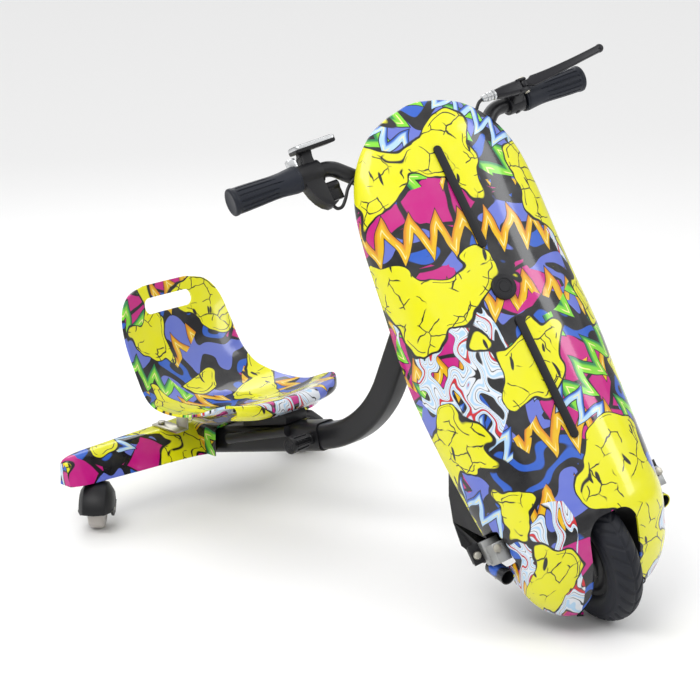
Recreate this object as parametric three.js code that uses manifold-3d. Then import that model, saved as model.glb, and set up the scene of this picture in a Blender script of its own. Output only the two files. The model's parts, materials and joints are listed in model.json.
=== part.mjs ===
// Electric drift trike: a steered, motor-driven front wheel under a tall printed fairing, a bent beam
// that telescopes into a low rear frame with a bucket seat, and two hooded casters.
// Millimetres, +Z up, forward is -Y, the rider's left is +X.
import * as THREE from "three";
import { mergeVertices } from "three/addons/utils/BufferGeometryUtils.js";
import Module from "manifold-3d";

const wasm = await Module();
wasm.setup();

// Clearances shared by every fit
const gap = 0.3; // between pieces that touch
const overrun = 4; // how far a cutting tool runs past the face that it cuts
const weld = 1; // how deep a welded or moulded-on piece reaches into its carrier
const past = 1; // how far a drill runs past the face that it opens

// Front wheel
const tyreRadius = 100;
const tyreWidth = 50;
const tyreInnerRadius = 57;
const tyreClearance = 6;
const hubWidth = 46;
const hubCoverRadius = 46;
const axleRadius = 6;
const axleNutRadius = 10;
const axleNutThickness = 8;
const axleEnd = 4; // the axle's end past its nut
const hubFlange = 3;

// Steering geometry
const rake = THREE.MathUtils.degToRad(34.1);
const steerAngle = THREE.MathUtils.degToRad(-24.2);
const axleSetback = 3.7; // the axle sits behind the steering axis

// Fork and steerer, measured along the steering axis from the front axle
const steererRadius = 14;
const steererRise = 51; // past the head tube's top
const legSpacing = 50;
const legThickness = 10;
const legBack = 26;
const legFront = 16;
const legDrop = 18;
const crownHeight = 118;
const crownThickness = 10;
const crownFront = 76;
const raceRadius = 20;
const raceThickness = 8;

// Head tube and headset
const headRise = 56; // from the fairing's middle mount up to the head tube
const headTubeLength = 120;
const headTubeRadius = 22;
const headTubeBore = 17.6;
const cupFlangeRadius = 24;
const cupFlangeThickness = 6;
const cupDepth = 12;

// Bent beam of square tube
const beamSize = 40;
const beamCornerRadius = 8;
const beamWall = 2.5;
const beamRearSlope = THREE.MathUtils.degToRad(14);
const beamBendRadius = 185;
const beamCornerBack = 400.6;
const beamCornerHeight = 182.2;
const beamHeadRise = 62; // from the head tube's lower end up to the beam's
const beamBendSteps = 6;
const beamInsertion = 175; // straight tail of the beam inside the sleeve
const gussetLength = 52;
const gussetThickness = 6;

// Rear frame
const sleeveWall = 2.4;
const sleeveLength = 268;
const strutRadius = 8.5;
const strutSpread = 28;
const strutFront = 556;
const strutFrontHeight = 158;
const strutBack = 690;
const strutBackHeight = 114;
const crossTubeSize = 22;
const crossTubeBack = 792;
const crossTubeHeight = 93;
const postSpread = 84;
const postRadius = 7;
const socketInset = 66; // from the rear shell's end to the caster's stem
const socketRadius = 11;
const socketHeight = 25;
const socketDrop = 1; // the sockets' lower ends stand this far below the cross tube
const tieRise = 1; // the tie's underside lies this far above the cross tube's
const knobBossRadius = 9;
const knobBossLength = 7;
const knobInset = 15; // from the sleeve's mouth to the knob's axis
const mouthSetback = 2; // the sleeve starts this far behind the beam's bend

// Casters
const casterWheelRadius = 31.5;
const casterWheelWidth = 26;
const casterTrail = 24;
const casterYaw = THREE.MathUtils.degToRad(-48.5); // the right one's; the left one is turned the other way
const hoodRadius = 28.5;
const hoodWall = 2.2;
const hoodTop = 79;
const hoodSkirt = 5; // from the axle up to the hood's front edge
const hoodCheekDrop = 9;
const stemRadius = 6;
const stemLength = 18;
const casterPinRadius = 3;
const hoodCheekWall = 4;
const stemRoot = 8; // the stem and its collar start this far below the hood's top

// Rear shell
const shellHalfSpan = 288;
const shellBottom = 80;
const shellHeight = 48;
const shellDepth = 85;
const shellBack = 812;
const shellWall = 2.2;
const shellSlope = 36; // how far the front face leans back over its height
const shellCorner = 8;
const noseHalfWidth = 38;
const noseHeight = 50;
const noseReach = 99; // from the shell's back to the nose's front edge

// Clamp knob
const knobRadius = 11;
const knobRibHeight = 1.4;
const knobRibs = 7;
const knobLength = 42;
const knobScrewRadius = 4;
const knobCapLength = 6;

// Seat and its bracket
const seatHalfWidth = 136;
const seatWall = 4;
const seatFront = 546;
const seatLength = 321;
const seatCornerSweep = 40; // how far the front corners lie behind the middle of the front
const seatLow = 160;
const seatBackHeight = 187;
const seatSlotWidth = 118;
const seatSlotHeight = 21;
const seatSlotPlace = 0.94; // share of the way from the front lip to the back's top edge
const bracketHalfWidth = 72;
const bracketPlate = 3;
const bracketFront = 690;
const bracketBack = 768;
const bracketFootFront = 742;
const bracketFootBack = 802;
const bracketFootWidth = 24;
const seatBoltRadius = 3;
const seatBoltHeadRadius = 6;
const seatBoltHeadThickness = 4;
const supportHalfWidth = 24;
const supportFront = 582;
const supportNose = 563;
const supportNoseRise = 12;
const supportBack = 660;

// Fairing
const fairingBottom = -70;
const fairingTopRise = 36; // past the grips' height
const fairingHalfWidth = 149.4;
const fairingCrown = 104;
const fairingWall = 3;
const archHalfWidth = 40;
const archTop = 44;
const archCornerRadius = 27;
const stripWidth = 13;
const stripThickness = 3;
const upperStripRise = 61; // from the cap's middle up to the upper strip
const upperStripLength = 157;
const lowerStripDrop = 44; // from the cap's middle down to the lower strip
const lowerStripLength = 183;
const capRise = 33.4; // from the motor controller's top up to the cap's middle
const capRadius = 18.5;
const capThickness = 5;
const capRecess = 1;
const postCollarHalfHeight = 14;
const postCollarWall = 5;
const postArmHalf = 9;
const postFootRadius = 16;
const postFootThickness = 5;

// Back cover
const coverBottom = 50;
const coverHeight = 283;
const coverHalfWidth = 130;
const coverDepth = 104;
const coverWall = 3;
const steererClearance = 4;
const coverSideReach = 20; // how far the side openings reach in from the cover's edge

// Battery and controller
const batteryHalfWidth = 62;
const batteryDepth = 58;
const batteryHeight = 166;
const batteryCorner = 8;
const controllerHalfWidth = 48;
const controllerDepth = 44;
const controllerHeight = 52;
const controllerFins = 6;
const finDepth = 5;

// Footrests: their brackets follow the raked fork, and the pegs themselves lie level
const outriggerBottom = 56;
const outriggerHeight = 22;
const outriggerFront = -18.3;
const outriggerDepth = 8;
const outriggerReach = 160;
const earThickness = 4;
const earReach = 162;
const earBottom = 53;
const earHeight = 28;
const coverScrewSpread = 154;
const coverScrewHeight = 65;
const castInner = 120;
const castOuter = 146;
const castDepth = 35;
const castBottom = 40;
const castHeight = 40;
const castStep = 3; // the casting's body is this much smaller than its flange
const footrestClearance = 6;
const castBoltSpread = 138;
const castBoltHeight = 63;
const pegSpread = 135;
const pegHeight = 21;
const pegRadius = 11;
const pegWall = 1.6;
const pegLength = 41;
const pegMouth = -6.5;
const pegPinBack = 36;
const pegPinRadius = 2.5;
const pegNeckRadius = 5.5;
const pegPinEnd = 7;
const pegPinHeadRadius = 4.5;
const pegPinHeadThickness = 3;
const boltRadius = 3;
const boltHeadRadius = 6.5;
const boltHeadThickness = 4;

// Handlebar and its controls
const barRadius = 11.1;
const barHalfSpan = 288;
const barRise = 47; // from the bar's clamped middle up to its grips
const barForward = 55;
const stemRise = 29; // from the head tube's top up to the bar's clamped middle
const barBendInset = 152; // from the bar's end to its upper bend
const barBendRun = 52; // across, from the upper bend to the lower one
const barUpperBend = 30;
const barLowerBend = 26;
const stemClampWidth = 42;
const stemWall = 5.5;
const stemArmHalf = 14;
const gripLength = 104;
const gripRadius = 17.5;
const gripFlangeRadius = 20.5;
const gripCapThickness = 3;
const collarWidth = 34;
const collarRadius = 17;
const throttleDrop = 54;
const throttleBodyWidth = 27;
const throttleBodyDepth = 24;
const paddleWidth = 21;
const paddleLength = 30;
const paddleThickness = 8;
const paddleHubRadius = 7;
const displayNeckHalf = 9;
const displayCorner = 6;
const displayWidth = 62;
const displayDepth = 36;
const displayThickness = 11;
const displayRise = 31;
const displayTilt = THREE.MathUtils.degToRad(24);
const buttonWidth = 11;
const buttonLength = 12;
const buttonHalfDepth = 7;
const buttonSeat = 3; // how deep the button stands in the collar
const buttonTravel = 1.2;
const perchWidth = 26;
const perchLength = 54;
const perchForward = 33;
const perchHeight = 22;
const perchDepth = 16;
const perchLip = 4; // the perch's wall above and below the lever's slot
const leverSlotDepth = 22;
const leverEyeRadius = 6.5;
const leverPinHeadRadius = 5;
const leverPinHeadThickness = 2.5;
const leverReach = 140;
const leverThickness = 9;
const leverTipRadius = 6.5;
const leverSweep = 12;
const leverRise = 10;
const adjusterLength = 18;
const adjusterRadius = 7;
const adjusterLockLength = 4;
const adjusterThread = 7;
const cableRadius = 2.4;

// Drum brake at the hub
const drumRadius = 38;
const drumThickness = 8;
const drumInner = 30;
const drumArmLength = 52;
const drumArmRadius = 4;
const drumEyeRadius = 6;

// The wheel leans when it is steered, so its centre sits a little lower than the tyre's radius.
const axleLean = Math.sin(steerAngle) * Math.sin(rake);
const crownRadius = tyreWidth / 2;
const wheelCentreHeight = (tyreRadius - crownRadius) * Math.sqrt(1 - axleLean ** 2) + crownRadius;

// Heights along the steering axis, as the pieces are stacked on the fork's crown
const crownTop = crownHeight + crownThickness;
const controllerTop = crownTop + batteryHeight + controllerHeight + 2 * gap;
const capHeight = controllerTop + capRise;
const headTubeBottom = capHeight + headRise;
const headTubeTop = headTubeBottom + headTubeLength;
const beamHeadHeight = headTubeBottom + beamHeadRise;
const steererTop = headTubeTop + steererRise;
const barCentreHeight = headTubeTop + stemRise;
const barHeight = barCentreHeight + barRise;
const fairingHeight = barHeight + fairingTopRise - fairingBottom;
const upperStripBottom = capHeight + upperStripRise;
const lowerStripBottom = capHeight - lowerStripDrop - lowerStripLength;

// Places across that keep their distance from an end
const barBendSpread = barHalfSpan - barBendInset;
const barFootSpread = barBendSpread - barBendRun;
const socketSpread = shellHalfSpan - socketInset;

// Geometry helpers

function vec(x, y, z) {
  return new THREE.Vector3(x, y, z);
}

// A closed geometry as a solid that can be joined and cut.
function solid(geometry) {
  const plain = geometry.index ? geometry.toNonIndexed() : geometry.clone();
  plain.deleteAttribute("normal");
  plain.deleteAttribute("uv");
  const merged = mergeVertices(plain, 1e-4);
  return new wasm.Manifold(
    new wasm.Mesh({
      numProp: 3,
      vertProperties: merged.attributes.position.array,
      triVerts: new Uint32Array(merged.index.array),
    }),
  );
}

function geometryOf(made) {
  const mesh = made.getMesh();
  const geometry = new THREE.BufferGeometry();
  geometry.setAttribute("position", new THREE.BufferAttribute(new Float32Array(mesh.vertProperties), 3));
  geometry.setIndex(new THREE.BufferAttribute(mesh.triVerts, 1));
  geometry.computeVertexNormals();
  return geometry;
}

function join(...solids) {
  return solids.reduce((whole, next) => whole.add(next));
}

function cut(whole, ...tools) {
  return tools.reduce((left, tool) => left.subtract(tool), whole);
}

// A box between two limits on each axis.
function block([x0, x1], [y0, y1], [z0, z1]) {
  const geometry = new THREE.BoxGeometry(x1 - x0, y1 - y0, z1 - z0);
  geometry.translate((x0 + x1) / 2, (y0 + y1) / 2, (z0 + z1) / 2);
  return solid(geometry);
}

// A round bar between two points, or a cone when the two radii differ.
function rod(from, to, radius, endRadius = radius, sides = 14) {
  const length = from.distanceTo(to);
  const geometry = new THREE.CylinderGeometry(endRadius, radius, length, sides);
  const turn = new THREE.Quaternion().setFromUnitVectors(vec(0, 1, 0), to.clone().sub(from).normalize());
  geometry.applyQuaternion(turn);
  const middle = from.clone().add(to).multiplyScalar(0.5);
  geometry.translate(middle.x, middle.y, middle.z);
  return solid(geometry);
}

// A turned piece about the X axis from [distance along the axis, radius] points that close on themselves.
function turnedAlongX(profile, sides) {
  const points = profile.map(([x, radius]) => new THREE.Vector2(radius, x));
  const geometry = new THREE.LatheGeometry(points, sides);
  geometry.rotateZ(-Math.PI / 2);
  return outward(geometry);
}

// A turned piece about the Z axis from [radius, height] points.
function turned(profile, sides) {
  const points = profile.map(([radius, z]) => new THREE.Vector2(radius, z));
  const geometry = new THREE.LatheGeometry(points, sides);
  geometry.rotateX(Math.PI / 2);
  return outward(geometry);
}

// A solid from an indexed geometry, turned round when its faces point inwards.
function outward(geometry) {
  const made = solid(geometry);
  if (made.volume() > 0) return made;
  geometry.setIndex([...geometry.index.array].reverse());
  return solid(geometry);
}

function roundedRectangle(width, height, radius) {
  const w = width / 2;
  const h = height / 2;
  const shape = new THREE.Shape();
  shape.moveTo(w, -h + radius);
  shape.lineTo(w, h - radius);
  shape.absarc(w - radius, h - radius, radius, 0, Math.PI / 2);
  shape.lineTo(-w + radius, h);
  shape.absarc(-w + radius, h - radius, radius, Math.PI / 2, Math.PI);
  shape.lineTo(-w, -h + radius);
  shape.absarc(-w + radius, -h + radius, radius, Math.PI, 1.5 * Math.PI);
  shape.lineTo(w - radius, -h);
  shape.absarc(w - radius, -h + radius, radius, 1.5 * Math.PI, 2 * Math.PI);
  return shape;
}

function circle(radius) {
  return new THREE.Shape().absarc(0, 0, radius, 0, 2 * Math.PI);
}

// A curve that a sweep samples at chosen shares of its length, so that straight runs take a single step.
class SteppedPath extends THREE.Curve {
  constructor(path, stations) {
    super();
    this.path = path;
    this.stations = stations;
    this.steps = stations.length - 1;
  }
  shareAt(u) {
    return this.stations[Math.round(u * this.steps)];
  }
  getPointAt(u, target) {
    return this.path.getPointAt(this.shareAt(u), target);
  }
  getTangentAt(u, target) {
    return this.path.getTangentAt(this.shareAt(u), target);
  }
}

// A path of straight runs through the corners, with a round bend at each inner corner.
function bentPath(corners, bends, bendSteps) {
  const path = new THREE.CurvePath();
  let last = corners[0];
  corners.slice(1, -1).forEach((corner, i) => {
    const before = corner.clone().sub(corners[i]).normalize();
    const after = corners[i + 2].clone().sub(corner).normalize();
    const turn = before.angleTo(after);
    const reach = bends[i] * Math.tan(turn / 2);
    const start = corner.clone().addScaledVector(before, -reach);
    const end = corner.clone().addScaledVector(after, reach);
    const handle = (4 / 3) * Math.tan(turn / 4) * bends[i];
    const startHandle = start.clone().addScaledVector(before, handle);
    const endHandle = end.clone().addScaledVector(after, -handle);
    path.add(new THREE.LineCurve3(last, start));
    path.add(new THREE.CubicBezierCurve3(start, startHandle, endHandle, end));
    last = end;
  });
  path.add(new THREE.LineCurve3(last, corners.at(-1)));
  const stations = [0];
  let travelled = 0;
  path.curves.forEach((curve) => {
    const steps = curve.isLineCurve3 ? 1 : bendSteps;
    for (let i = 1; i <= steps; i++) {
      stations.push((travelled + (curve.getLength() * i) / steps) / path.getLength());
    }
    travelled += curve.getLength();
  });
  stations[stations.length - 1] = 1;
  return new SteppedPath(path, stations);
}

function sweep(shape, path, steps, curveSegments = 3) {
  return solid(new THREE.ExtrudeGeometry(shape, { steps, curveSegments, bevelEnabled: false, extrudePath: path }));
}

// A plate of a flat outline, extruded along X, Y or Z from one limit to another.
function plate(shape, axis, from, to, curveSegments = 6) {
  const geometry = new THREE.ExtrudeGeometry(shape, { depth: to - from, curveSegments, bevelEnabled: false });
  geometry.translate(0, 0, from);
  if (axis === "x") {
    // outline x runs along Y, outline y along Z
    geometry.rotateX(Math.PI / 2);
    geometry.rotateZ(Math.PI / 2);
  }
  if (axis === "y") {
    // outline x runs along X, outline y along Z
    geometry.rotateX(Math.PI / 2);
    geometry.scale(1, -1, 1);
    flip(geometry);
  }
  return solid(geometry);
}

// Turns every face round, after a mirroring scale.
function flip(geometry) {
  const position = geometry.attributes.position;
  for (let i = 0; i < position.count; i += 3) {
    const first = vec().fromBufferAttribute(position, i);
    const last = vec().fromBufferAttribute(position, i + 2);
    position.setXYZ(i, last.x, last.y, last.z);
    position.setXYZ(i + 2, first.x, first.y, first.z);
  }
}

// A closed solid through a stack of loops with the same number of points, each end closed by a fan.
function loft(loops) {
  const count = loops[0].length;
  const points = loops.flat();
  const faces = [];
  for (let ring = 0; ring + 1 < loops.length; ring++) {
    for (let i = 0; i < count; i++) {
      const a = ring * count + i;
      const b = ring * count + ((i + 1) % count);
      faces.push(a, b, b + count, a, b + count, a + count);
    }
  }
  const closeEnd = (ring, reversed) => {
    const middle = loops[ring].reduce((sum, p) => sum.add(p), vec()).divideScalar(count);
    const hub = points.push(middle) - 1;
    for (let i = 0; i < count; i++) {
      const a = ring * count + i;
      const b = ring * count + ((i + 1) % count);
      faces.push(...(reversed ? [hub, b, a] : [hub, a, b]));
    }
  };
  closeEnd(0, true);
  closeEnd(loops.length - 1, false);
  const geometry = new THREE.BufferGeometry().setFromPoints(points);
  geometry.setIndex(faces);
  return outward(geometry);
}

// A smooth value at a place in a table of rows [place, value, value, ...].
function smooth(rows, place, column) {
  const last = rows.length - 1;
  const at = THREE.MathUtils.clamp(place, rows[0][0], rows[last][0]);
  let i = 0;
  while (i < last - 1 && at > rows[i + 1][0]) i++;
  const slope = (k) => {
    const before = rows[Math.max(k - 1, 0)];
    const after = rows[Math.min(k + 1, last)];
    return (after[column] - before[column]) / (after[0] - before[0]);
  };
  const span = rows[i + 1][0] - rows[i][0];
  const t = (at - rows[i][0]) / span;
  const a = rows[i][column];
  const b = rows[i + 1][column];
  const riseA = slope(i) * span;
  const riseB = slope(i + 1) * span;
  const t2 = t * t;
  const t3 = t2 * t;
  return (2 * t3 - 3 * t2 + 1) * a + (t3 - 2 * t2 + t) * riseA + (3 * t2 - 2 * t3) * b + (t3 - t2) * riseB;
}

// Evenly spread numbers from 0 to 1.
function spread(count) {
  return Array.from({ length: count + 1 }, (_, i) => i / count);
}

// A power that keeps the sign of its base, for rounded-square curves.
function signedPower(base, power) {
  return Math.sign(base) * Math.abs(base) ** power;
}

// Materials

function finish(color, roughness, metalness = 0) {
  return new THREE.MeshStandardMaterial({ color, roughness, metalness });
}

const finishes = {
  satinBlack: finish(0x1b1b1d, 0.45, 0.3),
  blackPlastic: finish(0x141416, 0.5),
  softRubber: finish(0x23252b, 0.75),
  tyreRubber: finish(0x1a1c22, 0.8),
  zinc: finish(0xa9a79c, 0.4, 0.9),
  castAlloy: finish(0x9a9c9e, 0.5, 0.85),
  silver: finish(0xc4c6c9, 0.3, 0.9),
  print: finish(0xd9d414, 0.15),
  greyWheel: finish(0xb7b4b0, 0.4),
  batteryWrap: finish(0x2a4a7a, 0.4),
  glossBlack: finish(0x0e1116, 0.15),
};

function piece(name, made, material) {
  const mesh = new THREE.Mesh(geometryOf(made), material);
  mesh.name = name;
  return mesh;
}

// Front wheel, with its axle along X

function makeTyre() {
  const bead = tyreInnerRadius + 2 * gap;
  const beadHalf = tyreWidth * 0.32;
  const profile = [[beadHalf, bead]];
  const arcShares = spread(9);
  arcShares.forEach((share) => {
    const angle = (share - 0.5) * 1.16 * Math.PI;
    profile.push([-crownRadius * Math.sin(angle), tyreRadius - crownRadius + crownRadius * Math.cos(angle)]);
  });
  profile.push([-beadHalf, bead], [beadHalf, bead]);
  // turned so that a corner of the outline, not a flat, meets the ground
  return turnedAlongX(profile, 28).rotate([THREE.MathUtils.radToDeg(rake), 0, 0]);
}

function makeHubMotor() {
  const half = hubWidth / 2;
  const rimHalf = tyreWidth * 0.3;
  const bore = axleRadius + gap;
  const profile = [
    [half, bore],
    [half, hubCoverRadius - hubFlange],
    [half - hubFlange, hubCoverRadius],
    [rimHalf, hubCoverRadius + hubFlange],
    [rimHalf, tyreInnerRadius],
    [-rimHalf, tyreInnerRadius],
    [-rimHalf, hubCoverRadius + hubFlange],
    [hubFlange - half, hubCoverRadius],
    [-half, hubCoverRadius - hubFlange],
    [-half, bore],
    [half, bore],
  ];
  return turnedAlongX(profile, 20);
}

const legOuter = legSpacing + legThickness;
const axleHalfLength = legOuter + axleNutThickness + gap + axleEnd;

function makeAxle() {
  return rod(vec(-axleHalfLength, 0, 0), vec(axleHalfLength, 0, 0), axleRadius);
}

function makeAxleNut(side) {
  const inner = side * (legOuter + gap);
  const outer = inner + side * axleNutThickness;
  const nut = rod(vec(inner, 0, 0), vec(outer, 0, 0), axleNutRadius, axleNutRadius, 6);
  const hole = rod(vec(inner - side * past, 0, 0), vec(outer + side * past, 0, 0), axleRadius + gap);
  return cut(nut, hole);
}

// The backing plate of the drum brake, with the arm that the cable pulls.
function makeDrumBrake() {
  const outer = drumInner + drumThickness;
  const disc = rod(vec(drumInner, 0, 0), vec(outer, 0, 0), drumRadius, drumRadius, 20);
  const hole = rod(vec(drumInner - past, 0, 0), vec(outer + past, 0, 0), axleRadius + gap);
  const armEnd = vec(outer, -drumArmLength * 0.5, drumArmLength);
  const armFoot = vec(outer, -drumRadius * 0.3, drumRadius * 0.5);
  const lift = vec(drumArmRadius * 0.75, 0, 0);
  const arm = rod(armFoot.clone().sub(lift), armEnd.clone().sub(lift), drumArmRadius, drumArmRadius * 0.75, 8);
  const eye = rod(armEnd.clone().sub(vec(drumThickness, 0, 0)), armEnd, drumEyeRadius, drumEyeRadius, 12);
  return cut(join(disc, arm, eye), hole);
}

const drumEye = vec(drumInner + drumThickness / 2, -drumArmLength * 0.5, drumArmLength);

// Fork: legs, crown, steerer and footrest outriggers in one weldment.
// Its frame has Z along the steering axis, forward at -Y and its origin at the front axle.

// A point of the level frame, given as across, forward and up, in the fork's frame.
function levelPoint(across, forward, up) {
  const forwardRun = forward * Math.cos(rake) + up * Math.sin(rake);
  const along = up * Math.cos(rake) - forward * Math.sin(rake);
  return vec(across, -forwardRun, along);
}

// A box between limits across, forward and up in the level frame, turned into the fork's frame.
function levelBlock([x0, x1], [f0, f1], [v0, v1]) {
  const geometry = new THREE.BoxGeometry(x1 - x0, f1 - f0, v1 - v0);
  geometry.translate((x0 + x1) / 2, -(f0 + f1) / 2, (v0 + v1) / 2);
  geometry.rotateX(rake);
  return solid(geometry);
}

// Ordered limits for a part that is mirrored to either side.
function sideLimits(side, inner, outer) {
  return side > 0 ? [inner, outer] : [-outer, -inner];
}

const outriggerBack = outriggerFront - outriggerDepth;
const outriggerTop = outriggerBottom + outriggerHeight;
const earBack = outriggerFront + gap;
const earFront = earBack + earThickness;
const castBack = earFront + gap;
const castFront = castBack + castDepth;
const castTop = castBottom + castHeight;

// A box between limits across, forward and along the steering axis.
function rakedBlock(across, [f0, f1], along) {
  return block(across, [-f1, -f0], along);
}

// A round bar along the raked forward direction.
function rakedRod(across, along, radius, back, front, frontRadius = radius, sides = 10) {
  return rod(vec(across, -back, along), vec(across, -front, along), radius, frontRadius, sides);
}

function outriggerDrill(across, along) {
  return rakedRod(across, along, boltRadius + gap, outriggerBack - past, outriggerFront + past);
}

function makeFork() {
  const legs = [-1, 1].map((side) =>
    block(sideLimits(side, legSpacing, legOuter), [-legFront, legBack], [-legDrop, crownHeight + weld]),
  );
  const crown = block([-legOuter, legOuter], [-crownFront, legBack], [crownHeight, crownHeight + crownThickness]);
  const steerer = rod(vec(0, 0, crownHeight), vec(0, 0, steererTop), steererRadius, steererRadius, 18);
  const raceBottom = headTubeBottom - cupFlangeThickness - gap - raceThickness;
  const race = rod(vec(0, 0, raceBottom), vec(0, 0, raceBottom + raceThickness), raceRadius * 0.8, raceRadius, 18);
  const outriggers = [-1, 1].map((side) =>
    rakedBlock(
      sideLimits(side, legOuter - weld, outriggerReach),
      [outriggerBack, outriggerFront],
      [outriggerBottom, outriggerTop],
    ),
  );
  const dropoutEnd = legOuter + past;
  const dropout = rod(vec(-dropoutEnd, axleSetback, 0), vec(dropoutEnd, axleSetback, 0), axleRadius + gap);
  const drillings = [-1, 1].flatMap((side) => [
    outriggerDrill(side * coverScrewSpread, coverScrewHeight),
    outriggerDrill(side * castBoltSpread, castBoltHeight),
  ]);
  return cut(join(...legs, crown, steerer, race, ...outriggers), dropout, ...drillings);
}

// Footrests

function makePegBracket(side) {
  const across = sideLimits(side, castInner, castOuter);
  const flange = rakedBlock(across, [castBack, castBack + castDepth * 0.34], [castBottom + 2 * castStep, castTop]);
  const body = rakedBlock(
    sideLimits(side, castInner + castStep, castOuter - castStep),
    [castBack, castFront],
    [castBottom + castStep, castTop - 3 * castStep],
  );
  const x = side * pegSpread;
  const neckBottom = pegHeight + pegRadius + gap;
  const neckTop = neckBottom + castHeight * 0.4;
  const neck = rod(
    levelPoint(x, -pegPinBack, neckBottom),
    levelPoint(x, -pegPinBack, neckTop),
    pegNeckRadius,
    pegNeckRadius * 1.3,
    12,
  );
  const pegWay = levelBlock(
    sideLimits(side, castInner - pegRadius, castOuter + pegRadius),
    [-pegPinBack - castDepth, castDepth],
    [-pegHeight, neckBottom],
  );
  const backTrim = rakedBlock(
    sideLimits(side, castInner - pegRadius, castOuter + pegRadius),
    [castBack - castDepth, castBack],
    [castBottom - castDepth, castTop + pegRadius],
  );
  const pinHole = rod(
    levelPoint(x, -pegPinBack, neckBottom - past),
    levelPoint(x, -pegPinBack, neckBottom + pegPinEnd + past),
    pegPinRadius + gap,
    pegPinRadius + gap,
    10,
  );
  const bolt = rakedRod(side * castBoltSpread, castBoltHeight, boltRadius + gap, castBack - past, castFront + past);
  return cut(join(flange, body, neck), backTrim, pegWay, pinHole, bolt);
}

function makePegBolt(side) {
  const x = side * castBoltSpread;
  const seat = castFront + gap;
  const head = rakedRod(x, castBoltHeight, boltHeadRadius, seat, seat + boltHeadThickness, boltHeadRadius, 6);
  const shank = rakedRod(x, castBoltHeight, boltRadius, outriggerBack + past, seat + weld);
  return join(head, shank);
}

function makeCoverScrew(side) {
  const x = side * coverScrewSpread;
  const seat = earFront + gap;
  const headFront = seat + boltHeadThickness;
  const head = rakedRod(x, coverScrewHeight, boltHeadRadius, seat, headFront, boltHeadRadius * 0.7, 14);
  const shank = rakedRod(x, coverScrewHeight, boltRadius, outriggerBack + past, seat + weld);
  return join(head, shank);
}

function makePeg(side) {
  const x = side * pegSpread;
  const back = pegMouth - pegLength;
  const at = (forward, up) => levelPoint(x, forward, up);
  const outer = rod(at(back, pegHeight), at(pegMouth, pegHeight), pegRadius, pegRadius, 18);
  const bore = rod(
    at(back + 2 * pegRadius, pegHeight),
    at(pegMouth + past, pegHeight),
    pegRadius - pegWall,
    pegRadius - pegWall,
    18,
  );
  const pinHole = rod(
    at(-pegPinBack, pegHeight - pegRadius - past),
    at(-pegPinBack, pegHeight + pegRadius + past),
    pegPinRadius + gap,
    pegPinRadius + gap,
    10,
  );
  return cut(outer, bore, pinHole);
}

function makePegPin(side) {
  const x = side * pegSpread;
  const bottom = pegHeight - pegRadius - gap;
  const at = (up) => levelPoint(x, -pegPinBack, up);
  const shank = rod(at(bottom - weld), at(pegHeight + pegRadius + pegPinEnd), pegPinRadius, pegPinRadius, 10);
  const head = rod(at(bottom - pegPinHeadThickness), at(bottom), pegPinHeadRadius, pegPinHeadRadius, 12);
  return join(shank, head);
}

// Fairing: rows of [height share, half-width share, crown share, rim share]
const fairingShares = [
  [0.0, 0.34, 0.05, -0.12],
  [0.012, 0.5, 0.14, -0.12],
  [0.034, 0.64, 0.32, -0.12],
  [0.062, 0.735, 0.55, -0.12],
  [0.095, 0.79, 0.74, -0.12],
  [0.141, 0.85, 0.95, -0.12],
  [0.19, 0.885, 0.99, -0.12],
  [0.244, 0.912, 1.0, -0.115],
  [0.328, 0.945, 1.0, -0.096],
  [0.413, 0.978, 1.0, -0.038],
  [0.501, 1.0, 1.0, 0.048],
  [0.583, 0.986, 1.0, 0.144],
  [0.65, 0.972, 1.0, 0.26],
  [0.718, 0.962, 1.0, 0.385],
  [0.786, 0.948, 1.0, 0.51],
  [0.86, 0.895, 1.0, 0.644],
  [0.923, 0.755, 1.0, 0.75],
  [0.969, 0.53, 0.985, 0.82],
  [0.99, 0.31, 0.955, 0.86],
  [1.0, 0.1, 0.93, 0.87],
];
const fairingSectionPower = 2 / 2.5;

function fairingHalfWidthAt(height) {
  return fairingHalfWidth * smooth(fairingShares, (height - fairingBottom) / fairingHeight, 1);
}

function fairingCrownAt(height) {
  return fairingCrown * smooth(fairingShares, (height - fairingBottom) / fairingHeight, 2);
}

function fairingRimAt(height) {
  return fairingCrown * smooth(fairingShares, (height - fairingBottom) / fairingHeight, 3);
}

// One level section of the fairing, drawn in by an inset and open at the back past the rim.
function fairingLoop(height, inset, extraBack) {
  const half = Math.max(fairingHalfWidthAt(height) - inset, inset);
  const rim = fairingRimAt(height) - extraBack;
  const depth = Math.max(fairingCrownAt(height) - inset - rim, inset);
  return spread(16).map((share) => {
    const angle = Math.PI * share;
    const across = half * signedPower(Math.cos(angle), fairingSectionPower);
    const forward = rim + depth * Math.abs(Math.sin(angle)) ** fairingSectionPower;
    return vec(across, -forward, height);
  });
}

// Stations that crowd towards both ends, where the outline turns fastest.
function fairingStations(count, from, to) {
  return spread(count).map((share) => {
    const eased = share - 0.13 * Math.sin(2 * Math.PI * share);
    return from + (to - from) * eased;
  });
}

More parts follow.
